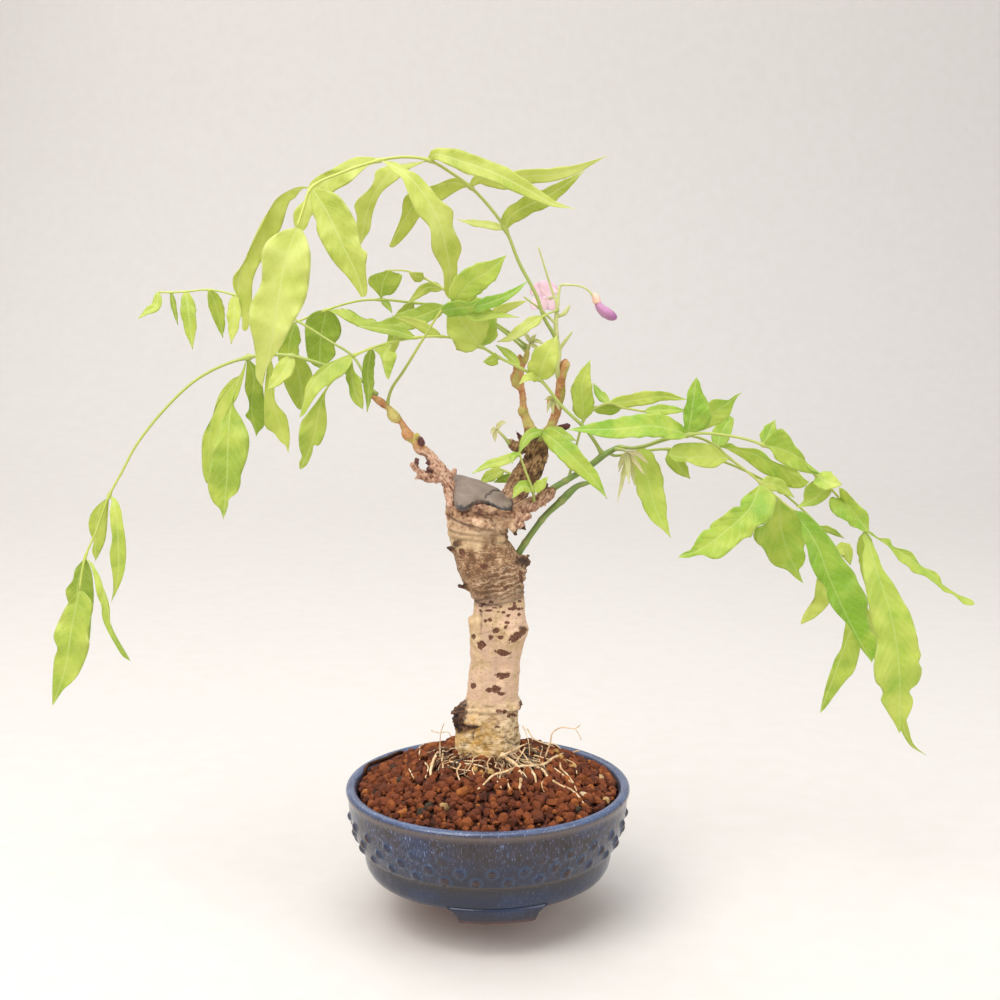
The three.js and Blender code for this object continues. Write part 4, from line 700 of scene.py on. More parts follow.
top_plate = step_up(*TOP_PLATE_OVER, points[:, 2] - 0.35 * points[:, 0] + 9 * coarse) * trunkish
plate = np.maximum(plate, 0.75 * top_plate)
weathered = 1 - abs(hum(points * (1, 1, 1.7), 8, 11, 2)) * 5
cracked = 0.6 * np.clip(weathered, 0, 1) ** 4 * low * step_up(0.02, 0.3, hum(points, 13, 12, 2))
wave_off = (points[:, 2] - 0.24 * points[:, 0] + 1.6 * coarse + 0.7 * lumps) / WRINKLE_SPACING
wrinkle = np.clip(np.sin(2 * math.pi * wave_off), 0, 1) ** 4 * trunkish
wrinkle *= step_up(-6, 6, points[:, 0] + 8 * coarse)
wrinkle *= step_up(*WRINKLES_OVER, points[:, 2]) * step_up(*WRINKLES_UNDER, points[:, 2])
band_off = points[:, 2] - 0.2 * points[:, 0] + 1.5 * lumps - DARK_BAND_HEIGHT
dark_band = np.exp(-(band_off / DARK_BAND_HALF) ** 4) * trunkish

# The relief in millimetres: lumps, folds and plates stand proud, cracks and the callus's seams are sunk.
lift += 0.4 * coarse + 0.26 * lumps * (1 + 0.7 * low) + 0.1 * fine + 0.3 * plate - 0.5 * cracked
ridges = 1 - abs(lumps) * 2.6
# The crest mark is a painted highlight on raised lumps and painted shade between them, and it is darker on
# the callus just under the paste as the paste's painted shadow.
paste_shadow = step_up(*PASTE_SHADE_OVER, z_read + 1.5 * lumps)
paste_shadow = paste_shadow * step_up(*PASTE_SHADE_UNDER, z_read) * front
crest = np.clip(0.62 + 0.34 * lumps + 0.3 * fine - 0.4 * paste_shadow * callus, 0, 1)
lift += 0.25 * wrinkle - 0.8 * crevice * trunkish
lift += callus * (0.35 * ridges * (0.5 + 0.5 * coarse) + 0.3 * fine)
lift += branchy * (1 - 0.85 * twig) * (0.4 * ridges + 0.35 * fine + 0.3 * coarse)
lift += flaky * (0.8 + 1.5 * lumps + 1.0 * fine) + dark_bark * (0.8 * lumps + 0.6 * fine)
flaky = np.maximum(flaky, 0.9 * dark_bark)
bark_points = points + normals * lift[:, None]

# Bark of a young wisteria: thin, dry and matt, pale tan with pinkish and ochre clouds of 11 mm. Dots and
# wrinkles of 2 mm cover the upper trunk, olive cracks and blots of 5 mm the foot, and the strands of the
# branches and the callus, 1 mm wide, are cream on their crests and red-brown between: their own grain mixed
# with a painted highlight on the raised crests and painted shade between them. The hollows, folds and
# cracks are darkened with painted shade. The grit is drawn at 0.8 mm, coarser than the real one, to show.
# Heights are in metres.
bark = blank_material("wisteria_bark")
place = node(bark, "TexCoord", out="Object")
across, height = [node(bark, "SeparateXYZ", [place], out=axis) for axis in (0, 2)]
marks = {key: node(bark, "Attribute", out="Fac", attribute_name=key) for key in (
    "scar", "callus", "branchy", "twig", "red_bud", "green_wood", "flaky", "low", "hollow", "crest",
    "plate", "cracked", "wrinkle")}
cloud = node(bark, "TexNoise", {"Vector": place, "Scale": 95, "Detail": 5, "Roughness": 0.7})
blot = node(bark, "TexNoise", {"Vector": place, "Scale": 190, "Detail": 4, "Roughness": 0.7})
grit = node(bark, "TexNoise", {"Vector": place, "Scale": 1300, "Detail": 3, "Roughness": 0.7})
flat_place = node(bark, "Mapping", {"Vector": place, "Scale": (1, 1, 2.6)})
dots = node(bark, "TexNoise", {"Vector": flat_place, "Scale": 560, "Detail": 3, "Roughness": 0.65})
low_blot = node(bark, "TexNoise", {"Vector": flat_place, "Scale": 215, "Detail": 5, "Roughness": 0.8})
leaning = [node(bark, "Mapping", {"Vector": place, "Rotation": (0, lean, 0)}) for lean in (-0.45, 0.66)]
left_part = node(bark, "MapRange", [across, -0.006, -0.014])
along = node(bark, "MixRGB", [left_part, *leaning])
strand_place = node(bark, "Mapping", {"Vector": along, "Scale": (1, 1, 0.2)})
strand = node(bark, "TexNoise", {"Vector": strand_place, "Scale": 950, "Detail": 4, "Roughness": 0.7})

pale_tone = node(bark, "ValToRGB", [cloud], stops=[
    (0.28, "#ae8c63"), (0.42, "#cdae86"), (0.52, "#d6b195"), (0.62, "#d3b394"), (0.76, "#c2a469")])
upper_tone = node(bark, "ValToRGB", [blot], stops=[
    (0.32, "#533720"), (0.44, "#805a3a"), (0.56, "#aa8460"), (0.7, "#d4b491")])
plate_tone = node(bark, "ValToRGB", [blot], stops=[(0.3, "#b8946a"), (0.5, "#cdae84"), (0.7, "#dcc299")])
low_tone = node(bark, "ValToRGB", [low_blot], stops=[
    (0.34, "#3c301b"), (0.42, "#86683f"), (0.49, "#c8ab78"), (0.58, "#ecdab8"), (0.68, "#bd8d42")])
# Painted light on the callus and the branches: light where the crest mark is high, as a painted highlight
# on the ridges, and dark where it is low, as painted shade; for the branches it is mixed with the strands'
# own grain.
callus_tone = node(bark, "ValToRGB", [marks["crest"]], stops=[
    (0.1, "#563423"), (0.3, "#8a6044"), (0.5, "#b58e6c"), (0.75, "#d2b18f")])
crested = node(bark, "MixRGB", [0.68, marks["crest"], strand])
back_tone = node(bark, "ValToRGB", [crested], stops=[
    (0.38, "#2e1c12"), (0.46, "#5a3d25"), (0.54, "#7d5b39"), (0.62, "#a98457"), (0.72, "#cfae85")])
left_tone = node(bark, "ValToRGB", [crested], stops=[
    (0.36, "#5a3328"), (0.46, "#94664f"), (0.54, "#b88e74"), (0.64, "#d2ae92"), (0.74, "#e6ccb2")])
stub_part = node(bark, "MapRange", [height, 0.198, 0.19, 0, 0.7])
reddish = node(bark, "Math", [left_part, stub_part], operation="MAXIMUM")
branch_tone = node(bark, "MixRGB", [reddish, back_tone, left_tone])
twig_tone = node(bark, "ValToRGB", [blot], stops=[
    (0.3, "#875334"), (0.43, "#ad7549"), (0.55, "#c2905f"), (0.68, "#b39a62")])
green_tone = node(bark, "ValToRGB", [cloud], stops=[(0.35, "#a8a04c"), (0.65, "#cdbf70")])
bud_tone = node(bark, "ValToRGB", [grit], stops=[(0.35, "#35191a"), (0.65, "#6d3d38")])
scar_grit = node(bark, "ValToRGB", [grit], stops=[
    (0.34, "#3a1f14"), (0.46, "#5e3726"), (0.6, "#875c43"), (0.7, "#b8946f")])
scar_depth = node(bark, "ValToRGB", [marks["scar"]], stops=[(0.25, "#341c10"), (0.8, "#6c402c")])
scar_tone = node(bark, "MixRGB", [0.4, scar_grit, scar_depth])
flake_tone = node(bark, "ValToRGB", [blot], stops=[(0.36, "#241812"), (0.5, "#452c1e"), (0.64, "#7f5532")])

wandering = node(bark, "MapRange", [cloud, 0, 1, -0.008, 0.008])
wandering = node(bark, "Math", [height, wandering], operation="ADD")
upper_part = node(bark, "MapRange", [wandering, 0.137, 0.146])
dot_low = node(bark, "MapRange", [upper_part, 0, 1, 0.36, 0.49])
dot_cut = node(bark, "Math", [dots, dot_low], operation="SUBTRACT")
dot_cut = node(bark, "MapRange", [dot_cut, 0.03, -0.04, 0, 0.8])
light_cut = node(bark, "MapRange", [dots, 0.58, 0.68, 0, 0.55])
light_cut = node(bark, "Math", [light_cut, upper_part], operation="MULTIPLY")
light_cut = node(bark, "Math", [light_cut, marks["wrinkle"]], operation="MAXIMUM")
low_cut = node(bark, "MapRange", [marks["low"], 0, 1, 0, 0.9])
gold = node(bark, "MapRange", [across, 0, -0.013, 0, 0.6])
for share in (marks["low"], node(bark, "MapRange", [cloud, 0.42, 0.56])):
    gold = node(bark, "Math", [gold, share], operation="MULTIPLY")
scar_cut = node(bark, "MapRange", [marks["scar"], 0.25, 0.6])
# Painted shade in the hollows, fold creases and cracks of the bark
hollow_cut = node(bark, "MapRange", [marks["hollow"], 0, 1, 0, 0.85])

tone = pale_tone
for part, over in (
        (upper_part, upper_tone), (dot_cut, "#6a4a2e"), (light_cut, "#dcc2a0"),
        (marks["plate"], plate_tone), (low_cut, low_tone), (gold, "#cf9c3c"), (marks["cracked"], "#3f3720"),
        (marks["callus"], callus_tone), (marks["branchy"], branch_tone), (marks["twig"], twig_tone),
        (marks["green_wood"], green_tone), (marks["red_bud"], bud_tone), (scar_cut, scar_tone),
        (marks["flaky"], flake_tone), (hollow_cut, "#40291a")):
    tone = node(bark, "MixRGB", [part, tone, over])
relief_height = node(bark, "MixRGB", [0.5, dots, strand])
relief = node(bark, "Bump", {"Height": relief_height, "Strength": 0.7, "Distance": 0.0009})
shader = node(bark, "BsdfPrincipled", {"Base Color": tone, "Roughness": 0.82, "Normal": relief})
node(bark, "OutputMaterial", [shader])

trunk_form = Form()
# The hollow mark is painted shade: it darkens the sunken places between the rugged ridges, the creases of
# the folds, the cracks and the dark band at the ring folds, as if shade lay in them.
rugged = np.clip(0.5 * callus + 0.8 * branchy - twig, 0, 1)
sunken = np.clip(-(0.6 * lumps + 0.8 * fine) - 0.25, 0, 1) * rugged
hollow = np.clip(sunken + fold_shade + crevice + 0.45 * dark_band, 0, 1)
trunk_form.add(bark_points, [faces], scar=scar, callus=callus, branchy=branchy, flaky=flaky, low=low,
               hollow=hollow, crest=crest, plate=plate, cracked=cracked, wrinkle=0.9 * wrinkle, twig=twig,
               red_bud=red_bud * branchy, green_wood=0.85 * green_wood * twig)
trunk_form.piece("trunk_and_branches", bark, "bark", "trunk")

# Surface roots: pale woody roots that leave the trunk's foot and dive among the grains, and a few
# hair roots that curl up from the soil. They are dry, smooth and a little glossy.
# Roots on the soil, the large ones first: half thicknesses, then x and z where they show
ROOTS = [
    [[1.7, 1.5, 1.3, 1.1, 0.9], [2, 64.4], [9.7, 57.2], [14.2, 53.5], [16.2, 48.2], [15.7, 42.4]],
    [[0.6, 0.8, 0.9, 0.8, 0.6], [-4.9, 42.1], [-0.4, 46.1], [3.6, 49.3], [9.7, 50.8], [15.7, 53.3],
     [21.3, 53.5], [26.8, 54], [31.9, 57.5], [36.9, 60], [40.9, 61], [45.5, 62.4]],
    [[0.8, 0.8, 0.6, 0.5], [23.6, 53.6], [26.8, 51.9], [30.4, 47.1], [35.9, 43.5], [42, 40.8], [45.5, 37.7],
     [49.2, 32.4]],
    [[0.6, 0.5, 0.4], [-18.5, 56.3], [-13.5, 55], [-7.4, 54.3], [-2.9, 53.5], [0.6, 52.6]],
    [[1, 0.9, 0.7], [-24.8, 61], [-26.8, 56.6], [-28.1, 52.4], [-28.2, 47.7]],
    [[0.7, 0.6, 0.5], [-22, 61.9], [-22.6, 57.2], [-22.3, 53.5], [-23.1, 49]],
    [[0.6, 0.5, 0.4], [-28.1, 66.2], [-32.1, 64.3], [-33.6, 61.5], [-33.8, 57.3]],
    [[0.5, 0.4], [-39.2, 52.7], [-38.4, 50.8], [-36.7, 48]],
    [[0.6, 0.4], [-17, 56.1], [-13.5, 54.3], [-15.3, 51.2], [-13.9, 46.6]],
    [[0.6, 0.5], [22.8, 66.2], [27.8, 64.9], [32.9, 65], [36.7, 62.5]],
    [[0.7, 0.5], [35.7, 55.6], [36.4, 51.9], [40.9, 47.1], [44.2, 41.7]],
    [[0.6, 0.5], [32.9, 52.9], [37.9, 48.2], [42, 44.8]], [[0.5, 0.4], [4.2, 46.6], [6.7, 42.9]],
    [[0.5, 0.4], [9.5, 47.1], [10.9, 41.9]], [[0.5, 0.4], [1.1, 58.2], [-0.2, 55], [0.4, 52.2]],
    [[0.8, 0.6], [21.3, 51.9], [23.3, 48.2], [24, 44.2]],
    [[0.6, 0.5], [15.7, 61.9], [18.8, 57.7], [21.3, 53.5]],
    [[0.6, 0.5], [22.8, 59.8], [26.8, 57.7], [31.9, 57.5]], [[0.5, 0.4], [-31, 56], [-29.6, 52], [-31, 48]],
    [[0.4, 0.3], [-12, 57], [-8, 56], [-3, 56.4], [2, 55.4]],
    [[0.4, 0.3], [-20, 54.6], [-16, 52], [-12, 51.4], [-8, 52]],
    [[0.4, 0.3], [-6, 54.6], [-7.6, 51], [-5.6, 48.4]],
    [[0.4, 0.3], [24, 66], [27, 62.6], [26, 58], [28, 55]], [[0.4, 0.3], [31, 66], [35, 63], [38, 59.6]],
    [[0.4, 0.3], [39, 57.6], [43, 54.4], [44, 50]], [[0.4, 0.3], [12, 52.4], [17, 50.2], [20, 47]],
    [[0.4, 0.3], [28, 47], [26.6, 44], [28, 41]],
]
# Hair roots in the air: half thickness, then places with the depth
HAIR_ROOTS = [
    [0.34, [-23.6, 60, -16], [-23.6, 68.2, -17], [-23.1, 72.9, -17.6], [-21.4, 77.7, -18]],
    [0.28, [-28, 73.6, -15], [-26.1, 72.9, -16.6], [-23.1, 72.4, -17], [-20, 72.9, -17],
     [-17.5, 69.8, -16]],
    [0.4, [28.4, 60.2, -14], [30.9, 67.7, -15], [31.9, 72.4, -15.4], [35.9, 75.1, -16], [43, 74.7, -16],
     [46, 76.8, -16]],
    [0.28, [43, 74.7, -16], [45.2, 71.2, -16.2], [46, 68.6, -16.4]],
    [0.3, [17.2, 76, -9], [19.4, 70.8, -12], [20.4, 65.4, -14], [20.6, 60, -16]],
    [0.34, [19.4, 74.6, -11], [22.6, 69.4, -13], [27, 67.4, -14], [33, 65.4, -15]],
    [0.6, [5.4, 60, -18], [10.4, 62.4, -17.4], [16.2, 65.6, -13], [18.6, 66.6, -11]],
    [0.4, [18.4, 64.8, -13], [16, 60.6, -17], [13.6, 57.4, -20]],
]
# Fine feeding roots crowded about the trunk's foot, brown and cream: how many, their reach and thickness
FINE_ROOTS = 74
FINE_ROOT_REACH = (5, 17)
FINE_ROOT_HALF = (0.2, 0.38)
FINE_ROOT_SEED = 23
FINE_ROOT_STEPS = 24
TRUNK_FOOT_HALF = (16.5, 15)
ROOT_SIDES = 10
ROOT_SHARE = 0.82
HAIR_SIDES = 6
MOUND_EDGE = 45.2
MOUND_RISE = 21.6
MOUND_RADIUS = 63.0


def mound_height(radius):
    """The height of the heaped soil at a distance from the pot's axis."""
    return MOUND_EDGE + MOUND_RISE * (1 - np.minimum(radius / MOUND_RADIUS, 1) ** 1.6) ** 1.1


def on_soil(place, lift):
    """The point of the soil's top that is seen at x and z, raised by the lift."""
    x, z = place
    for depth in np.arange(-MOUND_RADIUS, 40, 0.5):
        point = seen([[x, z, depth]])[0]
        if point[2] <= mound_height(math.hypot(point[0], point[1])):
            break
    return point + (0, 0, lift)


# Root bark: dry, smooth and a little glossy, pale straw to brown in clouds of 4 mm.
root_bark = blank_material("dry_surface_root")
place = node(root_bark, "TexCoord", out="Object")
cloud = node(root_bark, "TexNoise", {"Vector": place, "Scale": 260, "Detail": 4, "Roughness": 0.7})
tone = node(root_bark, "ValToRGB", [cloud], stops=[
    (0.3, "#8f6a45"), (0.42, "#c29b6c"), (0.55, "#dcbe92"), (0.7, "#eedcb8")])
old_mark = node(root_bark, "Attribute", out="Fac", attribute_name="old")
tone = node(root_bark, "MixRGB", [old_mark, tone, "#3f2a1c"])
relief = node(root_bark, "Bump", {"Height": cloud, "Strength": 0.35, "Distance": 0.0004})
shader = node(root_bark, "BsdfPrincipled", {"Base Color": tone, "Roughness": 0.62, "Normal": relief})
node(root_bark, "OutputMaterial", [shader])

root_form = Form()
for radii, *places in ROOTS:
    lifts = 0.9 + 1.1 * np.sin(np.linspace(0.3, math.pi, len(places)))
    route = np.array([on_soil(place, lift) for place, lift in zip(places, lifts)])
    steps = len(places) * 9
    points, headings, _ = flow(route, steps)
    points = points + 0.22 * np.stack([hum(points, 5, seed, 2) for seed in (4, 5, 6)], 1)
    girth = ROOT_SHARE * rounded(radii, steps) * (1 + 0.06 * np.sin(np.arange(steps + 1) * 1.9))
    root_form.add(*swept(points, headings, girth, ROOT_SIDES), old=0)
for half_thickness, *places in HAIR_ROOTS:
    steps = len(places) * 6
    points, headings, _ = flow(seen(places), steps)
    radii = rounded([half_thickness, half_thickness * 0.6], steps)
    root_form.add(*swept(points, headings, radii, HAIR_SIDES), old=0)
chance = random.Random(FINE_ROOT_SEED)
for _ in range(FINE_ROOTS):
    turn = chance.gauss(-math.pi / 2 + 0.25, 1.15)
    half_width, half_depth = TRUNK_FOOT_HALF
    start = np.array([1 + half_width * math.cos(turn), half_depth * math.sin(turn)])
    start *= chance.uniform(0.96, 1.5)
    bend = chance.uniform(-0.5, 0.5)
    reach = chance.uniform(*FINE_ROOT_REACH)
    route = []
    for part in np.linspace(0, 1, 6):
        side = turn + bend * part + chance.uniform(-0.25, 0.25)
        flat = start + reach * part * np.array([math.cos(side), math.sin(side)])
        arch = 1.5 + 1.6 * math.sin(math.pi * part) * chance.random() - 1.8 * part ** 3
        route.append([*flat, mound_height(np.hypot(*flat)) + arch])
    points, headings, _ = flow(route, FINE_ROOT_STEPS)
    half_thickness = chance.uniform(*FINE_ROOT_HALF)
    radii = rounded([half_thickness, half_thickness * 0.6], FINE_ROOT_STEPS)
    root_form.add(*swept(points, headings, radii, HAIR_SIDES), old=chance.choice((0.1, 0.5, 0.8, 1)))
root_form.piece("surface_roots", root_bark, "bark", "trunk")

# The tie wire: a straight length of annealed copper wire, gone dark brown, bent down into the soil.
# It lies on the grains behind the trunk and holds the root ball in the pot.
WIRE_RADIUS = 1.05
WIRE_ENDS = np.array([[-61.8, 12.0, 50.9], [-44.2, 36.8, 50.6]])
WIRE_TURNED_DOWN = 9
WIRE_BEND = 1.5
WIRE_STEPS = 90
WIRE_SIDES = 14

# Annealed copper: dull, dark brown in clouds of 3 mm.
wire_copper = blank_material("annealed_copper_wire")
place = node(wire_copper, "TexCoord", out="Object")
cloud = node(wire_copper, "TexNoise", {"Vector": place, "Scale": 350, "Detail": 3})
tone = node(wire_copper, "ValToRGB", [cloud], stops=[(0.3, "#2c1d17"), (0.7, "#5a3a2a")])
shader = node(wire_copper, "BsdfPrincipled", {"Base Color": tone, "Roughness": 0.42, "Metallic": 0.8})
node(wire_copper, "OutputMaterial", [shader])

wire_form = Form()
start, finish = WIRE_ENDS
heading = (finish - start) / np.linalg.norm(finish - start)
down = np.array([0, 0, -1.0])
wire_places = [
    start + down * WIRE_TURNED_DOWN, start + down * WIRE_BEND, start + heading * WIRE_BEND,
    (start + finish) / 2 + (0, 0, 0.15), finish - heading * WIRE_BEND, finish + down * WIRE_BEND,
    finish + down * WIRE_TURNED_DOWN,
]
points, headings, _ = flow(wire_places, WIRE_STEPS)
wire_form.add(*swept(points, headings, np.full(len(points), WIRE_RADIUS), WIRE_SIDES))
wire_form.piece("tie_wire", wire_copper, "wire", "anchor_wire")

# The soil: fired clay crumbs 2 to 7 mm across, heaped to the foot of the trunk, with ochre and dark
# crumbs among the red-brown ones, and black crumbs at the trunk's right foot that paint the shade in the
# gaps among the roots. They are dry, matt and angular, over a bed of the same clay.
GRAIN_SEED = 41
# Crumbs from large to small: radius, least spacing and how many
GRAIN_LAYERS = [(2.5, 3.9, 560), (1.75, 2.8, 640), (1.05, 2.0, 760)]
CRUMB_TRIES = 12
CRUMB_SPREAD = (0.75, 1.35)
CRUMB_STRETCH = (0.85, 1.2)
CRUMB_CUTS = 9
CUT_DEPTHS = (0.5, 0.86)
CRUMB_ROUGHNESS = 0.13
ODD_SHARE = 0.01
ODD_TONES = [0.3, 0.62, 0.66, 0.7]
CRUMB_REACH = 62.6
CRUMB_TOP = 68.2
WALL_INSIDE = 64.0
# How far the crumbs sink in front of the trunk
TRUNK_DIP = 2.6
# Crumbs of another stone, as seen from the front: x, z, radius and tone, from black through ochre to cream.
# The black ones crowded at the trunk's right foot are painted shade in the gaps among the roots.
STONE_AND_SHADOW_CRUMBS = [
    [-43.2, 46.6, 2.3, 0.3], [56.1, 48.2, 1.9, 0.75], [58.6, 36.6, 2, 0.7], [47, 39.8, 1.8, 0.95],
    [-56.2, 40.2, 1.5, 0.05], [-6.6, 52.4, 1.8, 0.62], [16.6, 57.4, 1.9, 0.05], [15.4, 55.4, 1.5, 0.15],
    [-3, 50.8, 1.5, 0.6], [1.6, 51.6, 1.5, 0.66], [35.6, 58.6, 2, 0.62], [33.6, 61.6, 1.8, 0.58],
    [37.8, 56.4, 1.6, 0.66], [26.2, 62.4, 1.9, 0.1], [20.4, 58.6, 1.7, 0.05], [24.4, 60, 1.6, 0.4],
    [18.8, 61.6, 2, 0.1], [21.6, 62.4, 1.6, 0.2], [17.4, 59.6, 1.6, 0.02],
]
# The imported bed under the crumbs, and its side and underside: radius and height
BED_RADIUS = 62.9
BED_PROFILE = [(62.9, 41), (62.4, 36), (60.6, 24), (58.4, 10.2), (57.6, 9.2), (20, 9.2)]
BED_SIDES = 96
BED_BELOW = 1.9


def soil_bed(form):
    """The packed soil that fills the bowl under the loose crumbs."""
    profile = [(r, mound_height(r) - BED_BELOW) for r in np.linspace(0.4, BED_RADIUS, 40)] + BED_PROFILE
    turn = np.arange(BED_SIDES) / BED_SIDES * 2 * math.pi
    rings = [np.stack([r * np.cos(turn), r * np.sin(turn), np.full(BED_SIDES, z)], 1) for r, z in profile]
    form.add(*closed_rings(rings, (0, 0, profile[0][1]), (0, 0, profile[-1][1])), tint=0.1, odd=0)


def crumb(chance, size):
    """One crumb about its middle: a ball cut by chance planes, so it has flats and blunt edges."""
    shape = CRUMB_BALL * size * np.array([chance.uniform(*CRUMB_STRETCH) for _ in range(3)])
    for _ in range(CRUMB_CUTS):
        facing = np.array([chance.gauss(0, 1) for _ in range(3)])
        facing /= np.linalg.norm(facing)
        over = shape @ facing - size * chance.uniform(*CUT_DEPTHS)
        shape -= np.outer(np.maximum(over, 0) * 0.96, facing)
    return shape * (1 + CRUMB_ROUGHNESS * np.array([[chance.uniform(-1, 1)] for _ in range(len(shape))]))


ball = bmesh.new()
bmesh.ops.create_icosphere(ball, subdivisions=2, radius=1)
CRUMB_BALL = np.array([point.co for point in ball.verts])
CRUMB_FACES = np.array([[point.index for point in face.verts] for face in ball.faces])
ball.free()

# Fired clay: matt, red-brown to ochre from crumb to crumb, in clouds of 3 mm. Its pores are drawn at
# 0.7 mm, coarser than the real ones, to show.
soil_clay = blank_material("fired_clay_crumbs")
place = node(soil_clay, "TexCoord", out="Object")
tint = node(soil_clay, "Attribute", out="Fac", attribute_name="tint")
odd = node(soil_clay, "Attribute", out="Fac", attribute_name="odd")
pores = node(soil_clay, "TexNoise", {"Vector": place, "Scale": 1400, "Detail": 4, "Roughness": 0.7})
cloud = node(soil_clay, "TexNoise", {"Vector": place, "Scale": 300, "Detail": 2})
cloud_shift = node(soil_clay, "MapRange", [cloud, 0, 1, -0.25, 0.25])
mixed = node(soil_clay, "Math", [tint, cloud_shift], operation="ADD")
tone = node(soil_clay, "ValToRGB", [mixed], stops=[
    (0.0, "#371809"), (0.3, "#5b280d"), (0.55, "#763814"), (0.8, "#8f4c1d"), (1.0, "#ab652b")])
odd_tone = node(soil_clay, "ValToRGB", [odd], stops=[
    (0.0, "#2a1d16"), (0.4, "#3c3320"), (0.6, "#b98f4a"), (1.0, "#cdbb98")])
is_odd = node(soil_clay, "MapRange", [odd, 0.001, 0.01])
tone = node(soil_clay, "MixRGB", [is_odd, tone, odd_tone])
pore_cut = node(soil_clay, "MapRange", [pores, 0.44, 0.34, 0, 0.5])
tone = node(soil_clay, "MixRGB", [pore_cut, tone, "#371a12"])
relief = node(soil_clay, "Bump", {"Height": pores, "Strength": 0.75, "Distance": 0.0007})
shader = node(soil_clay, "BsdfPrincipled", {"Base Color": tone, "Roughness": 0.92, "Normal": relief})
node(soil_clay, "OutputMaterial", [shader])

soil_form = Form()
soil_bed(soil_form)
chance = random.Random(GRAIN_SEED)
for radius, spacing, count in GRAIN_LAYERS:
    placed = []
    for _ in range(count * CRUMB_TRIES):
        if len(placed) >= count:
            break
        reach = CRUMB_REACH * math.sqrt(chance.random())
        turn = chance.uniform(0, 2 * math.pi)
        x = reach * math.cos(turn)
        y = reach * math.sin(turn)
        if any((x - a) ** 2 + (y - b) ** 2 < spacing ** 2 for a, b in placed):
            continue
        placed.append((x, y))
        size = min(radius * chance.uniform(*CRUMB_SPREAD), max(WALL_INSIDE - reach, 1.2))
        height = mound_height(reach) + 0.2 + chance.uniform(-0.9, 0.8) - 0.3 * (size > radius)
        dip = math.exp(-((math.hypot(x - 2, y + 2) - 18) / 6) ** 2) * min(max(-y / 12, 0), 1)
        height = min(height - TRUNK_DIP * dip, CRUMB_TOP - size)
        odd = chance.choice(ODD_TONES) if chance.random() < ODD_SHARE else 0
        soil_form.add(crumb(chance, size) + (x, y, height), [CRUMB_FACES],
                      tint=chance.triangular(0.1, 1.0, 0.5), odd=odd)
for x, z, size, odd in STONE_AND_SHADOW_CRUMBS:
    soil_form.add(crumb(chance, size) + on_soil((x, z), 1.0), [CRUMB_FACES], tint=0.5, odd=odd)
soil_form.piece("soil_crumbs", soil_clay, "soil", "soil", smooth=False)

# The cut's dressing: grey-brown wound paste, spread over the sawn top of the trunk. It has dried with a
# crinkled dark edge over the callus and one crack across it.
PASTE_MIDDLE = np.array([-3.0, 0.0, 192.6])
PASTE_FACING = np.array([0.30, -0.42, 1.0])
PASTE_FACING /= np.linalg.norm(PASTE_FACING)
# The rim of the paste as read from the eye, x and z in turn, from the upper left corner to the right
PASTE_RIM = [
    -17.1, 201, -13, 200.6, -8.4, 199.2, -3.6, 197.8, 1.2, 195.7, 5.4, 193.6, 9.4, 190.8, 11.8, 188.4,
    12, 185.2, 9.4, 184.2, 6, 184.6, 1.2, 186.9, -2, 188.2, -4.6, 188.2, -7, 187, -9.4, 185.5,
    -12, 184.8, -14.2, 185.6, -15.4, 188.6, -15.8, 193.2, -16.8, 197,
]
# Rings from under the rim to the middle: their share of the rim's reach and their rise
PASTE_RINGS = [
    (0.94, -2.6), (1.02, -1.6), (1.0, -0.4), (0.96, 0.4), (0.8, 0.9), (0.5, 1.3), (0.2, 1.5), (0.01, 1.5),
]
PASTE_SIDES = 160
PASTE_ROWS = 50
# The crack's half width, and its line as read from the eye: x and z
CRACK_HALF = 0.42
CRACK = [[-1, 189.4], [-0.2, 191.2], [1.2, 191.6], [2.4, 193], [6, 193]]


def paste_cap():
    """The paste's points, its faces, and how dry and dark its edge is at each point."""
    rim = np.reshape(PASTE_RIM, (-1, 2))
    closed = flow(np.insert(np.vstack([rim, rim[:1]]), 1, 0, axis=1), PASTE_SIDES)[0][:-1]
    away = closed - EYE
    reach = ((PASTE_MIDDLE - EYE) @ PASTE_FACING) / (away @ PASTE_FACING)
    outline = EYE + away * reach[:, None]
    middle = outline.mean(0)
    low_edge = step_up(189.5, 187, closed[:, 2] - 0.12 * closed[:, 0])
    turn = np.arange(PASTE_SIDES) / PASTE_SIDES * 2 * math.pi
    frill = 0.5 * np.sin(19 * turn + 2 * np.sin(3 * turn)) + 0.35 * np.sin(37 * turn + 1.3)
    at = np.linspace(0, len(PASTE_RINGS) - 1, PASTE_ROWS)
    share, rise = (np.interp(at, range(len(PASTE_RINGS)), column) for column in np.array(PASTE_RINGS).T)
    rings = []
    edge = []
    for scale, up, part in zip(share, rise, at):
        crinkle = np.exp(-((part - 2.0) / 1.1) ** 2) * low_edge
        outward = (outline - middle) * (scale - 1)
        rings.append(outline + outward * (1 + 0.02 * frill * crinkle)[:, None]
                     + np.outer(up + 0.75 * frill * crinkle, PASTE_FACING)
                     - np.outer(0.5 * crinkle, [0, 1, 0]))
        edge.append(np.clip(crinkle * 1.7 - 0.2 + 0.3 * np.sin(27 * turn), 0, 1) * (part < 3.5))
    body = np.vstack(rings)
    side = np.arange(PASTE_SIDES)
    top = (len(rings) - 1) * PASTE_SIDES
    faces = [quads(len(rings), PASTE_SIDES), side[None, ::-1], top + side[None, :]]
    return body, faces, np.concatenate(edge)


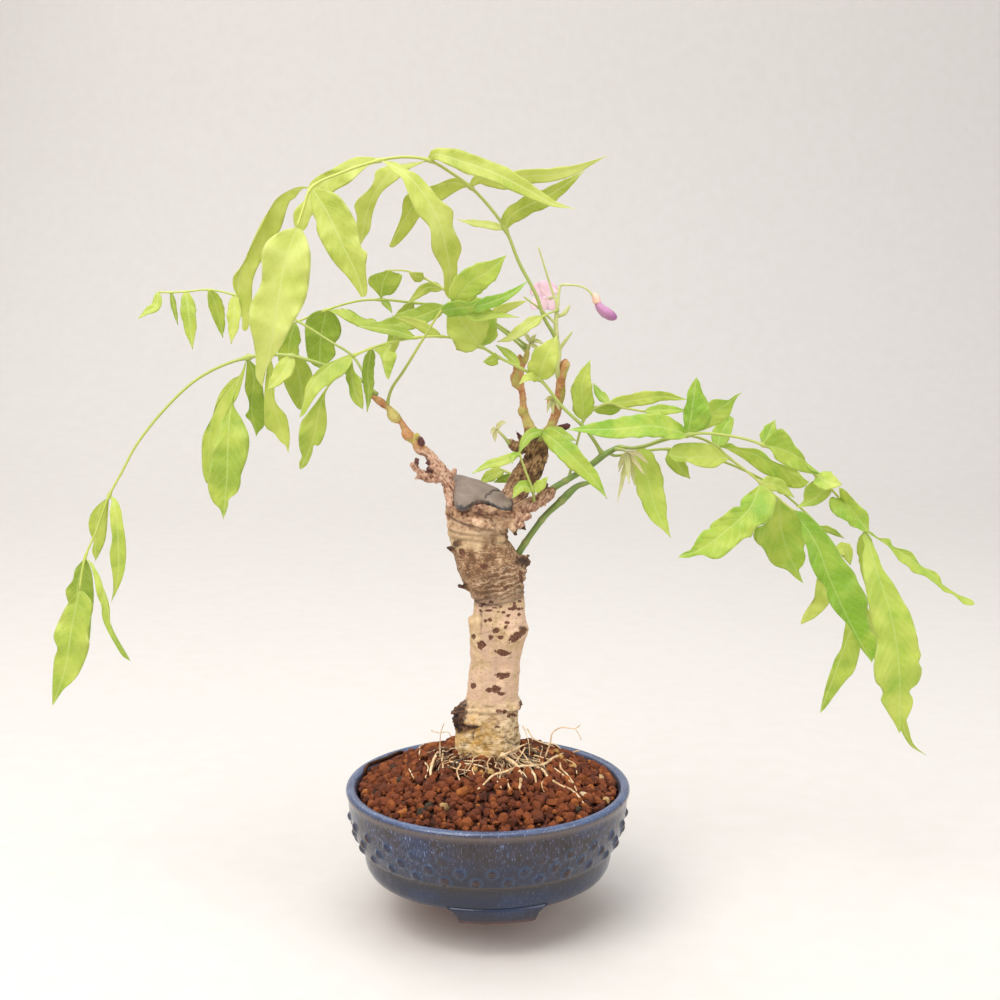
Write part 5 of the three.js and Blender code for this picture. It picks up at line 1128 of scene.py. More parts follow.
# Dried paste: grey-brown and satin, in clouds of 8 mm, and grainy and dark at its edge. The grit is drawn
# at 0.8 mm, coarser than the real one, to show.
paste = blank_material("dried_wound_paste")
place = node(paste, "TexCoord", out="Object")
edge_mark = node(paste, "Attribute", out="Fac", attribute_name="edge")
crack_mark = node(paste, "Attribute", out="Fac", attribute_name="crack")
cloud = node(paste, "TexNoise", {"Vector": place, "Scale": 130, "Detail": 4, "Roughness": 0.6})
grit = node(paste, "TexNoise", {"Vector": place, "Scale": 1300, "Detail": 3, "Roughness": 0.7})
tone = node(paste, "ValToRGB", [cloud], stops=[(0.3, "#796a5e"), (0.55, "#88786b"), (0.75, "#958578")])
dark = node(paste, "ValToRGB", [grit], stops=[(0.35, "#2b2724"), (0.6, "#55504c"), (0.75, "#8a837d")])
tone = node(paste, "MixRGB", [edge_mark, tone, dark])
tone = node(paste, "MixRGB", [crack_mark, tone, "#3a312c"])
relief_height = node(paste, "MixRGB", [0.35, cloud, grit])
relief = node(paste, "Bump", {"Height": relief_height, "Strength": 0.3, "Distance": 0.0006})
shader = node(paste, "BsdfPrincipled", {"Base Color": tone, "Roughness": 0.6, "Normal": relief})
node(paste, "OutputMaterial", [shader])

paste_form = Form()
points, faces, edge = paste_cap()
x_read, z_read = sight_read(points)
crack_line = flow([[x, 0, z] for x, z in CRACK], 40)[0][:, [0, 2]]
away = np.min(np.hypot(x_read[:, None] - crack_line[:, 0], z_read[:, None] - crack_line[:, 1]), 1)
crack = np.exp(-(away / CRACK_HALF) ** 2) * (1 - edge)
dents = 0.25 * hum(points, 7, 7, 2) - 0.5 * crack + 0.3 * edge * hum(points, 1.6, 8, 2)
paste_form.add(points + np.outer(dents, PASTE_FACING), faces, edge=edge, crack=crack)
paste_form.piece("paste_cap", paste, "paste", "cut_paste")

# The green shoots of the year and the flower stalks: round, soft and smooth, with swollen joints.
# Their skin is waxy, mid green on the two leafy shoots and paler towards the tips.
# Half thicknesses along each, then x, z and depth. The raceme has stalks, bracts and small buds
SHOOTS = {
    "shoot_low": [[2.1, 1.8, 1.8, 2.3, 1], [13.5, 160, 3], [18.5, 168, 4], [23, 174.5, 5], [28, 181, 6],
        [35.5, 188, 7], [43, 195, 7], [48, 196.6, 7], [50, 197, 7]],
    "shoot_high": [[1.9, 1.7, 1.7, 2, 1.3], [30, 193, 3], [34, 195.6, 4], [44, 201.6, 5], [51, 206.4, 4],
        [55.5, 210, 3], [63, 214.2, 2]],
    "shoot_flowering": [[1.7, 1.5, 1.4, 1.1, 0.8], [34, 247, 12], [33, 252, 9.5], [34, 259, 9],
        [32.6, 267, 8], [32.6, 276, 8], [33.4, 284, 8], [34, 290, 8]],
}
RACEME_PARTS = [
    [[0.8, 0.6, 0.55, 0.6], [33.8, 288, 8], [34.6, 290.4, 8], [38.5, 290.7, 7], [44, 290, 6],
     [48, 287.8, 5], [50.2, 284.6, 5]],
    [[0.8, 0.5], [32.8, 272, 8], [26, 278.5, 5], [17, 285.4, 2]],
    [[0.7, 0.5], [33, 281, 8], [30.2, 289, 9], [27, 299, 9], [24, 308.5, 9]],
    [[0.9, 1.3, 0.6], [33.6, 276, 8], [36.5, 277.5, 6], [39, 281.2, 5]],
    [[0.8, 1, 0.5], [33.8, 259, 9], [35.6, 262.5, 9], [40.2, 268.8, 8]],
    [[0.7, 0.6], [33.2, 283, 8], [31.5, 284.6, 12], [28.5, 284.5, 15.5]],
]
SHOOT_SIDES = 16
STEM_SHARE = 0.86
JOINT_SPACING = 13.5


def green_skin(name, deep, light, ripe):
    """Waxy green skin with a little blush: clouds of 8 mm, and specks of 0.9 mm."""
    skin = blank_material(name)
    place = node(skin, "TexCoord", out="Object")
    cloud = node(skin, "TexNoise", {"Vector": place, "Scale": 120, "Detail": 3})
    speck = node(skin, "TexNoise", {"Vector": place, "Scale": 1100, "Detail": 2, "Roughness": 0.6})
    joint = node(skin, "Attribute", out="Fac", attribute_name="joint")
    tone = node(skin, "ValToRGB", [cloud], stops=[(0.3, deep), (0.7, light)])
    speck_cut = node(skin, "MapRange", [speck, 0.56, 0.7, 0, 0.35])
    tone = node(skin, "MixRGB", [speck_cut, tone, ripe])
    tone = node(skin, "MixRGB", [joint, tone, ripe])
    relief = node(skin, "Bump", {"Height": speck, "Strength": 0.2, "Distance": 0.0003})
    shader = node(skin, "BsdfPrincipled", {"Base Color": tone, "Roughness": 0.42, "Normal": relief})
    node(skin, "OutputMaterial", [shader])
    return skin


def green_stem(form, radii, places, joints=True):
    """A green shoot or flower stalk, with a swollen joint every 13.5 mm."""
    steps = max(10, len(places) * 8)
    points, headings, length = flow(seen(places), steps)
    girth = STEM_SHARE * rounded(radii, steps, 0.5)
    joint = np.zeros(steps + 1)
    if joints:
        reach = np.linspace(0, length, steps + 1)
        for at in np.arange(9, length - 4, JOINT_SPACING):
            joint = np.maximum(joint, np.exp(-((reach - at) / 1.1) ** 2))
        girth = girth * (1 + 0.16 * joint)
    marks = np.concatenate([np.repeat(joint, SHOOT_SIDES), [0, 0]])
    form.add(*swept(points, headings, girth, SHOOT_SIDES), joint=marks * 0.45)


shoot_skin = green_skin("green_shoot_skin", "#607a34", "#84984a", "#a39a58")
raceme_skin = green_skin("flower_stalk_skin", "#adb568", "#cbcf88", "#c4b078")
for name in ("shoot_low", "shoot_high"):
    radii, *places = SHOOTS[name]
    shoot_form = Form()
    green_stem(shoot_form, radii, places)
    shoot_form.piece("green_" + name, shoot_skin, "shoot", name)
raceme_form = Form()
radii, *places = SHOOTS["shoot_flowering"]
green_stem(raceme_form, radii, places)
for radii, *places in RACEME_PARTS:
    green_stem(raceme_form, radii, places, joints=False)
raceme_form.piece("flowering_shoot", raceme_skin, "shoot", "shoot_flowering")

# The leaves: feathery compound leaves, each a thin stalk with pairs of soft new leaflets. A leaflet is
# 0.3 mm thick, pointed and waved at its edges, with a raised midrib and fine side veins, and light
# shines through it. They grew that spring, palest at the upper left and richer green to the right.
# Each leaf: its tone, its stalk's half thicknesses and places, and its leaflets. A leaflet starts from
# the stalk's place of that number, and has a width, a roll in degrees and places to its tip
LEAVES = {
    "leaf_arching": {
        "tone": "pale",
        "radii": [1.1, 0.9, 0.8, 0.65],
        "stalk": [[32.6, 266, 8], [27, 275, 4], [23, 286, 2], [15, 301, 0], [8.5, 316.5, -2], [0, 328, -5],
            [-8, 336, -8], [-17, 342.5, -11], [-27, 348, -14], [-38, 349.5, -17], [-50, 348, -20],
            [-66, 343, -25], [-82, 335.5, -29], [-86, 326, -31], [-89, 317.5, -33]],
        "leaflets": [
            [4, 9, 12, [10.5, 322, -4], [18, 327, -7], [27, 331, -10], [36, 336.5, -12],
             [45.5, 343.5, -13]],
            [6, 7.5, 20, [-3.6, 339.6, -10], [8, 338.4, -13], [18, 340.8, -16], [30, 341.4, -18],
             [42, 344.4, -20], [56, 350, -22]],
            [6, 8.5, -25, [-17, 337.8, -2], [-31, 332, 4], [-39, 320, 9], [-46, 308.5, 12]],
            [8, 9, -12, [-24.4, 350.6, -16], [-10, 347, -21], [5, 341.6, -25], [18, 335, -27],
             [30, 328.6, -28], [41, 325.8, -28]],
            [8, 10, 28, [-42, 345, -8], [-51, 335.5, -2], [-56, 325, 2], [-59.5, 309, 4]],
            [10, 16, -16, [-40, 343.4, -25], [-29.5, 332.5, -28], [-22.5, 320, -27], [-19.4, 308, -23],
             [-17.6, 297, -18], [-18, 284, -12]],
            [10, 10, 24, [-64, 344.4, -16], [-77, 337, -12], [-84, 327, -9], [-87, 315, -8]],
            [12, 10.5, -22, [-95, 333, -24], [-104, 322.5, -20], [-111, 309, -17], [-117.4, 291, -15],
             [-115, 269, -15]],
            [12, 19.5, 14, [-74.5, 323.5, -36], [-67.5, 308, -41], [-61, 294.5, -42], [-58.4, 285, -41]],
            [14, 25, -8, [-94.6, 303, -38], [-98.6, 284, -41], [-102, 265, -41], [-107, 242.5, -38]],
            [4, 4.4, 35, [0, 318.4, 1], [-8, 319.6, 3], [-14, 321, 4]],
        ],
    },
    "leaf_far_left": {
        "tone": "middle",
        "radii": [1.1, 0.9, 0.7, 0.6],
        "stalk": [[-53, 239, -6], [-60, 246, 0], [-77, 253, 4], [-93, 257.4, 6], [-103, 258, 7],
            [-114, 256.6, 7], [-127, 252.4, 6], [-140, 245, 5], [-155, 231, 3], [-168, 215, 1],
            [-176, 201, -1], [-182, 190.6, -3], [-189, 173, -6], [-195, 160, -9], [-198.4, 144, -12]],
        "leaflets": [
            [3, 9, 20, [-97, 250, 2], [-105, 241, -2]],
            [3, 11, -24, [-89.6, 249, 11], [-88.4, 240, 13], [-88.6, 232, 14]],
            [4, 12, 10, [-103.6, 246, 12], [-100.6, 229, 14], [-95.4, 211, 15]],
            [5, 9.5, -18, [-111, 248, 12], [-112.6, 234, 16], [-110.6, 219, 18]],
            [5, 13, 22, [-119, 246, 11], [-128.5, 235, 14], [-133, 219, 15], [-133.6, 202, 14]],
            [5, 20.5, -8, [-121.6, 237, 2], [-124, 219, -2], [-125, 201, -4], [-127.4, 179, -4]],
            [11, 9, 28, [-187, 184, 0], [-189.4, 173, 3], [-189.8, 158.5, 5]],
            [11, 7.4, -20, [-179.4, 183, -7], [-178.6, 166, -9], [-179.4, 151, -10], [-183.2, 138, -10]],
            [13, 12.5, 24, [-198, 151, -4], [-200, 136, -1], [-195.6, 113, 1]],
            [13, 5.4, -20, [-189, 153, -13], [-185.6, 140, -16], [-183.6, 127, -17], [-174.6, 108.6, -17]],
            [14, 18, 10, [-203, 125, -15], [-207, 105, -16], [-214, 86, -15]],
        ],
    },
    "leaf_young_left": {
        "tone": "middle",
        "radii": [0.8, 0.65, 0.5],
        "stalk": [[-56, 240.6, -7], [-58.4, 248, -4], [-64, 257.4, 2], [-75, 264.6, 10], [-90, 274, 14],
            [-105, 281, 16], [-119, 286, 18], [-131, 288.4, 19], [-142, 287.6, 19], [-149, 287.2, 19],
            [-155, 287.4, 18]],
        "leaflets": [
            [6, 7, 20, [-119.6, 275, 16], [-121.4, 263, 15]],
            [7, 7.6, -24, [-128, 280, 22], [-125.2, 266, 23]],
            [8, 7.4, 12, [-141, 277, 16], [-139.8, 260.4, 15]],
            [10, 5, 25, [-156.4, 280.6, 16], [-160, 278.6, 14], [-165, 275, 13]],
            [9, 2.8, 20, [-147.8, 280, 21], [-146.4, 272, 22]],
        ],
    },
    "leaf_inner": {
        "tone": "rich",
        "radii": [0.9, 0.75, 0.6],
        "stalk": [[-48, 234, -5], [-45.5, 242, -11], [-40, 250, -16], [-30, 266, -22], [-21.6, 278.6, -26],
            [-16.4, 282.4, -28]],
        "leaflets": [
            [5, 13.5, 14, [-8, 292, -31], [1, 297.5, -32], [9, 304.4, -31]],
            [5, 6, -20, [-6, 280.6, -25], [3, 283, -22], [12, 287, -20], [19.2, 292.8, -19]],
            [5, 4.6, -30, [-7, 275.6, -25], [4, 276.6, -22], [15, 275.6, -20]],
            [4, 8, 30, [-14, 280, -31], [-7, 281, -36], [-3, 285, -38]],
        ],
    },
    "leaf_crossing": {
        "tone": "middle",
        "radii": [1.1, 0.9, 0.75, 0.7],
        "stalk": [[55, 210.6, 3], [50.4, 218, -1], [46, 223.6, -3], [36, 233, -6], [24.6, 246.6, -8],
            [15, 252, -9], [5, 257, -11], [-3.4, 262, -13], [-12, 265, -15], [-22, 266.6, -17],
            [-34, 266, -19], [-45, 264, -20], [-55, 261, -21], [-64, 257.4, -22]],
        "leaflets": [
            [13, 12, 16, [-75, 252.6, -26], [-84, 243, -30], [-90, 228, -31]],
            [13, 13, -22, [-71, 249, -16], [-79, 236, -11], [-83.6, 217, -9], [-90, 203, -9]],
            [13, 8.6, 24, [-64.4, 247, -23], [-62.4, 239, -23], [-59.4, 232, -22]],
            [12, 6.4, -28, [-57, 250, -15], [-56.6, 240, -13], [-57.4, 230.6, -12]],
            [11, 9, 10, [-49.4, 256, -23], [-47, 246, -24]],
            [9, 5, -18, [-33, 272.4, -14], [-45, 276.4, -12]],
            [7, 19, 8, [-8, 268, -17], [-13, 275, -19], [-18.6, 283.4, -20]],
            [7, 17, -24, [-2, 270, -9], [-4, 277, -7], [-7.4, 287, -6]],
            [4, 13.5, -10, [26.6, 254, -12], [33, 267, -13]],
            [10, 5.4, 24, [-46, 269.6, -22], [-61, 271.4, -24]],
            [6, 6, -20, [2, 255.4, -16], [-2, 254.6, -20]],
            [5, 5, 30, [10.6, 257.6, -6], [4, 262.6, -5]],
            [4, 4.4, 20, [19.4, 247.4, -13], [15, 244, -16]],
        ],
    },
    "leaf_middle": {
        "tone": "middle",
        "radii": [0.9, 0.75, 0.6],
        "stalk": [[18.8, 259.6, 4], [12, 265.6, 7], [0, 274, 10], [-20, 280.6, 15], [-35, 282.4, 19],
            [-50, 283.8, 22], [-61, 283.2, 24], [-76, 279, 25], [-91, 273, 25]],
        "leaflets": [
            [3, 10, 20, [-33, 275.6, 11], [-48, 271, 9], [-62, 271.4, 9]],
            [4, 9, -30, [-41, 275, 24], [-45.4, 262, 26], [-47, 252, 27]],
            [5, 15, 12, [-49.6, 290, 19], [-46.4, 297.6, 17]],
            [7, 7, 24, [-66, 279.4, 22], [-58, 275, 20], [-51.4, 272.8, 19]],
            [7, 17.5, -12, [-79, 265, 29], [-79.6, 251.6, 31]],
            [8, 12, 20, [-94, 262, 29], [-93, 248, 31], [-89.4, 234, 31]],
            [5, 3.4, -20, [-47, 281, 20], [-45, 277.6, 19]],
        ],
    },
    "leaf_small": {
        "tone": "pale",
        "radii": [0.75, 0.6, 0.5],
        "stalk": [[19.2, 261.6, 3.5], [12, 267.4, 2], [0, 275.4, 1], [-10, 282, 1.5], [-21, 289, 3],
            [-30, 294, 5], [-38, 297.2, 7], [-48, 297.4, 9]],
        "leaflets": [
            [4, 5.4, 20, [-28, 289.4, 8], [-33, 286, 10], [-38, 281.4, 11]],
            [5, 5.4, -16, [-33, 294.6, 1], [-37, 296.6, -2]],
            [2, 5, 24, [8, 279.8, -3], [19, 283.4, -6]],
        ],
    },
    "leaf_raceme_side": {
        "tone": "pale",
        "radii": [0.6, 0.5],
        "stalk": [[33.6, 279, 7], [29.6, 277.6, 4], [26, 276, 1]],
        "leaflets": [
            [2, 6, 20, [18, 271, -2], [11, 266, -3], [4.6, 264, -4]],
        ],
    },
    "leaf_upright": {
        "tone": "rich",
        "radii": [0.8, 0.7, 0.6],
        "stalk": [[39, 198.4, 5], [41, 208, 9], [43.4, 218, 11], [46, 227, 10], [50, 231.4, 12],
            [58, 235, 14], [64, 233, 16], [75, 231, 18]],
        "leaflets": [
            [3, 11, 12, [45.4, 235, 7], [45, 244, 5], [48.8, 255.6, 5]],
            [5, 5, 24, [53, 239.6, 17], [50.4, 244.6, 18]],
            [5, 7, 14, [70, 236.6, 19], [83, 238.4, 22], [95.6, 236.6, 24]],
            [7, 5.4, -16, [84, 231.8, 18], [95.4, 231.4, 19]],
            [6, 5.4, -20, [56, 231.8, 19], [48, 233, 21]],
        ],
    },
    "leaf_right_upper": {
        "tone": "rich",
        "radii": [1, 0.8, 0.7, 0.6],
        "stalk": [[62.8, 214, 1.8], [72, 213.6, -2], [85, 217.4, -7], [96, 220, -10], [105, 220.6, -12],
            [120, 218.6, -15], [132, 215, -18], [145, 208.6, -22], [158, 200.4, -25], [170, 188.6, -28],
            [182.4, 173, -30]],
        "leaflets": [
            [3, 12, 22, [80, 224, -13], [60, 222.6, -15], [38, 222.4, -15]],
            [3, 14, -12, [97.6, 232, -13], [99.4, 247.4, -14]],
            [3, 10.5, -28, [106, 229, -4], [113, 234, -1], [121.6, 240.4, 0]],
            [6, 8, 24, [135, 222, -14], [137.4, 227, -12]],
            [6, 13.5, -14, [141, 213, -24], [150, 208.6, -28], [160.6, 200.8, -31]],
            [8, 12.5, 20, [162, 194, -20], [158, 189.6, -17], [148.4, 184.4, -15]],
            [8, 10, -20, [164, 197, -31], [170.4, 196, -34]],
            [9, 14, -14, [174.4, 185.4, -32], [179.4, 178.6, -34], [184.4, 173, -36]],
            [10, 6, 20, [190, 169, -26], [203, 161, -22], [213, 154, -20], [221, 147, -19],
             [237, 137, -18]],
            [10, 9, 30, [183.6, 162, -26], [186, 150, -22], [188.6, 134, -20]],
            [10, 24, -10, [187.6, 157, -35], [196.6, 131, -38], [201.4, 106, -38], [203, 72, -34]],
        ],
    },
    "leaf_right_lower": {
        "tone": "rich",
        "radii": [0.9, 0.8, 0.7, 0.6],
        "stalk": [[61.6, 213.4, 3.5], [66, 213.6, 5], [73, 214, 5], [86, 218.4, 4], [97, 219.4, 2],
            [104, 217.4, 1], [110, 214, 0], [116, 208.6, 0], [124, 202.6, 0], [131.4, 196.6, -1],
            [140, 189, -2], [148, 182.6, -3]],
        "leaflets": [
            [2, 14, -14, [77, 199, 0], [80.6, 185, -3], [88.4, 170, -4]],
            [6, 8.6, 24, [112, 221, 6], [116.6, 228.4, 9]],
            [6, 10, -24, [125, 211.4, 6], [139, 205.4, 8], [154.6, 197.2, 8]],
            [7, 13, 16, [105, 209.6, -5], [95, 209, -8], [86.4, 210.4, -10]],
            [9, 16, 10, [126, 184, -6], [114, 172.6, -10], [103, 164.4, -12], [92, 160.4, -12]],
            [9, 7.5, -20, [139, 195.6, 5], [147.6, 189.6, 8]],
            [10, 24, -22, [141.6, 176, 6], [145.4, 163, 9], [153.4, 147.4, 10]],
            [11, 17.5, -8, [158.4, 168, -7], [166, 150, -11], [175.6, 130, -13], [188, 108, -13]],
        ],
    },
    "leaf_right_back": {
        "tone": "middle",
        "radii": [0.8, 0.75, 0.65, 0.55],
        "stalk": [[58, 211.3, 2.9], [61, 209.8, 7], [66.5, 210.6, 10], [73, 211.8, 12], [87, 213, 14],
            [101, 210.6, 16], [113, 207, 17], [124, 202.4, 17], [137, 195.4, 17], [148, 187, 17],
            [160, 175.4, 17], [169, 163, 17], [176.4, 151.4, 17], [182, 138, 17]],
        "leaflets": [
            [4, 9, 22, [91, 206.4, 11], [97.4, 198.6, 9]],
            [11, 7.5, -24, [173, 164, 21], [175.8, 156.6, 22]],
            [11, 9, 16, [162.6, 150, 21], [158, 138.6, 22], [152.6, 127, 22]],
            [13, 11, -10, [177.4, 125, 13], [170.6, 104, 10], [163.4, 82.4, 9]],
            [13, 8, 20, [191, 117, 12], [201, 88, 8], [209, 67, 5], [216.4, 61, 4]],
            [10, 3.6, 20, [166, 173.4, 20], [172.4, 169.6, 22]],
        ],
    },
    "leaf_fork": {
        "tone": "rich",
        "radii": [0.8, 0.7],
        "stalk": [[25, 217, 6], [26, 219.6, 3], [26.4, 221.6, 0]],
        "leaflets": [
            [2, 5.6, 24, [20, 219.4, -3], [14.8, 210.6, -5]],
            [2, 6, -24, [34, 220.6, -2], [42.4, 217, -4]],
            [2, 10, 8, [33, 216.6, -7], [42, 208, -12], [52, 197.4, -14], [57.6, 188.8, -15]],
        ],
    },
    "leaf_stub": {
        "tone": "rich",
        "radii": [0.8, 0.65, 0.55],
        "stalk": [[22.4, 187, -1], [21.8, 193, -6], [18.4, 202, -8], [15.2, 211, -9]],
        "leaflets": [
            [3, 5, 20, [8, 207.4, -10], [0, 205.2, -12], [-7.4, 201.2, -13]],
            [1, 6, 24, [16.6, 195, -8], [12, 189, -10]],
            [1, 5.6, -24, [25.4, 195.4, -8], [29, 199.6, -9]],
            [3, 3.4, 30, [12.4, 209.4, -13], [11.8, 206, -16]],
        ],
    },
    "leaf_behind_trunk": {
        "tone": "rich",
        "radii": [0.7, 0.6],
        "stalk": [[15, 196, 9], [12, 200.6, 17], [8, 202.6, 20]],
        "leaflets": [
            [2, 6.4, 20, [2, 200.4, 22], [-4.4, 196, 23]],
            [1, 4.6, -20, [9, 199, 21], [3, 197, 24]],
        ],
    },
}
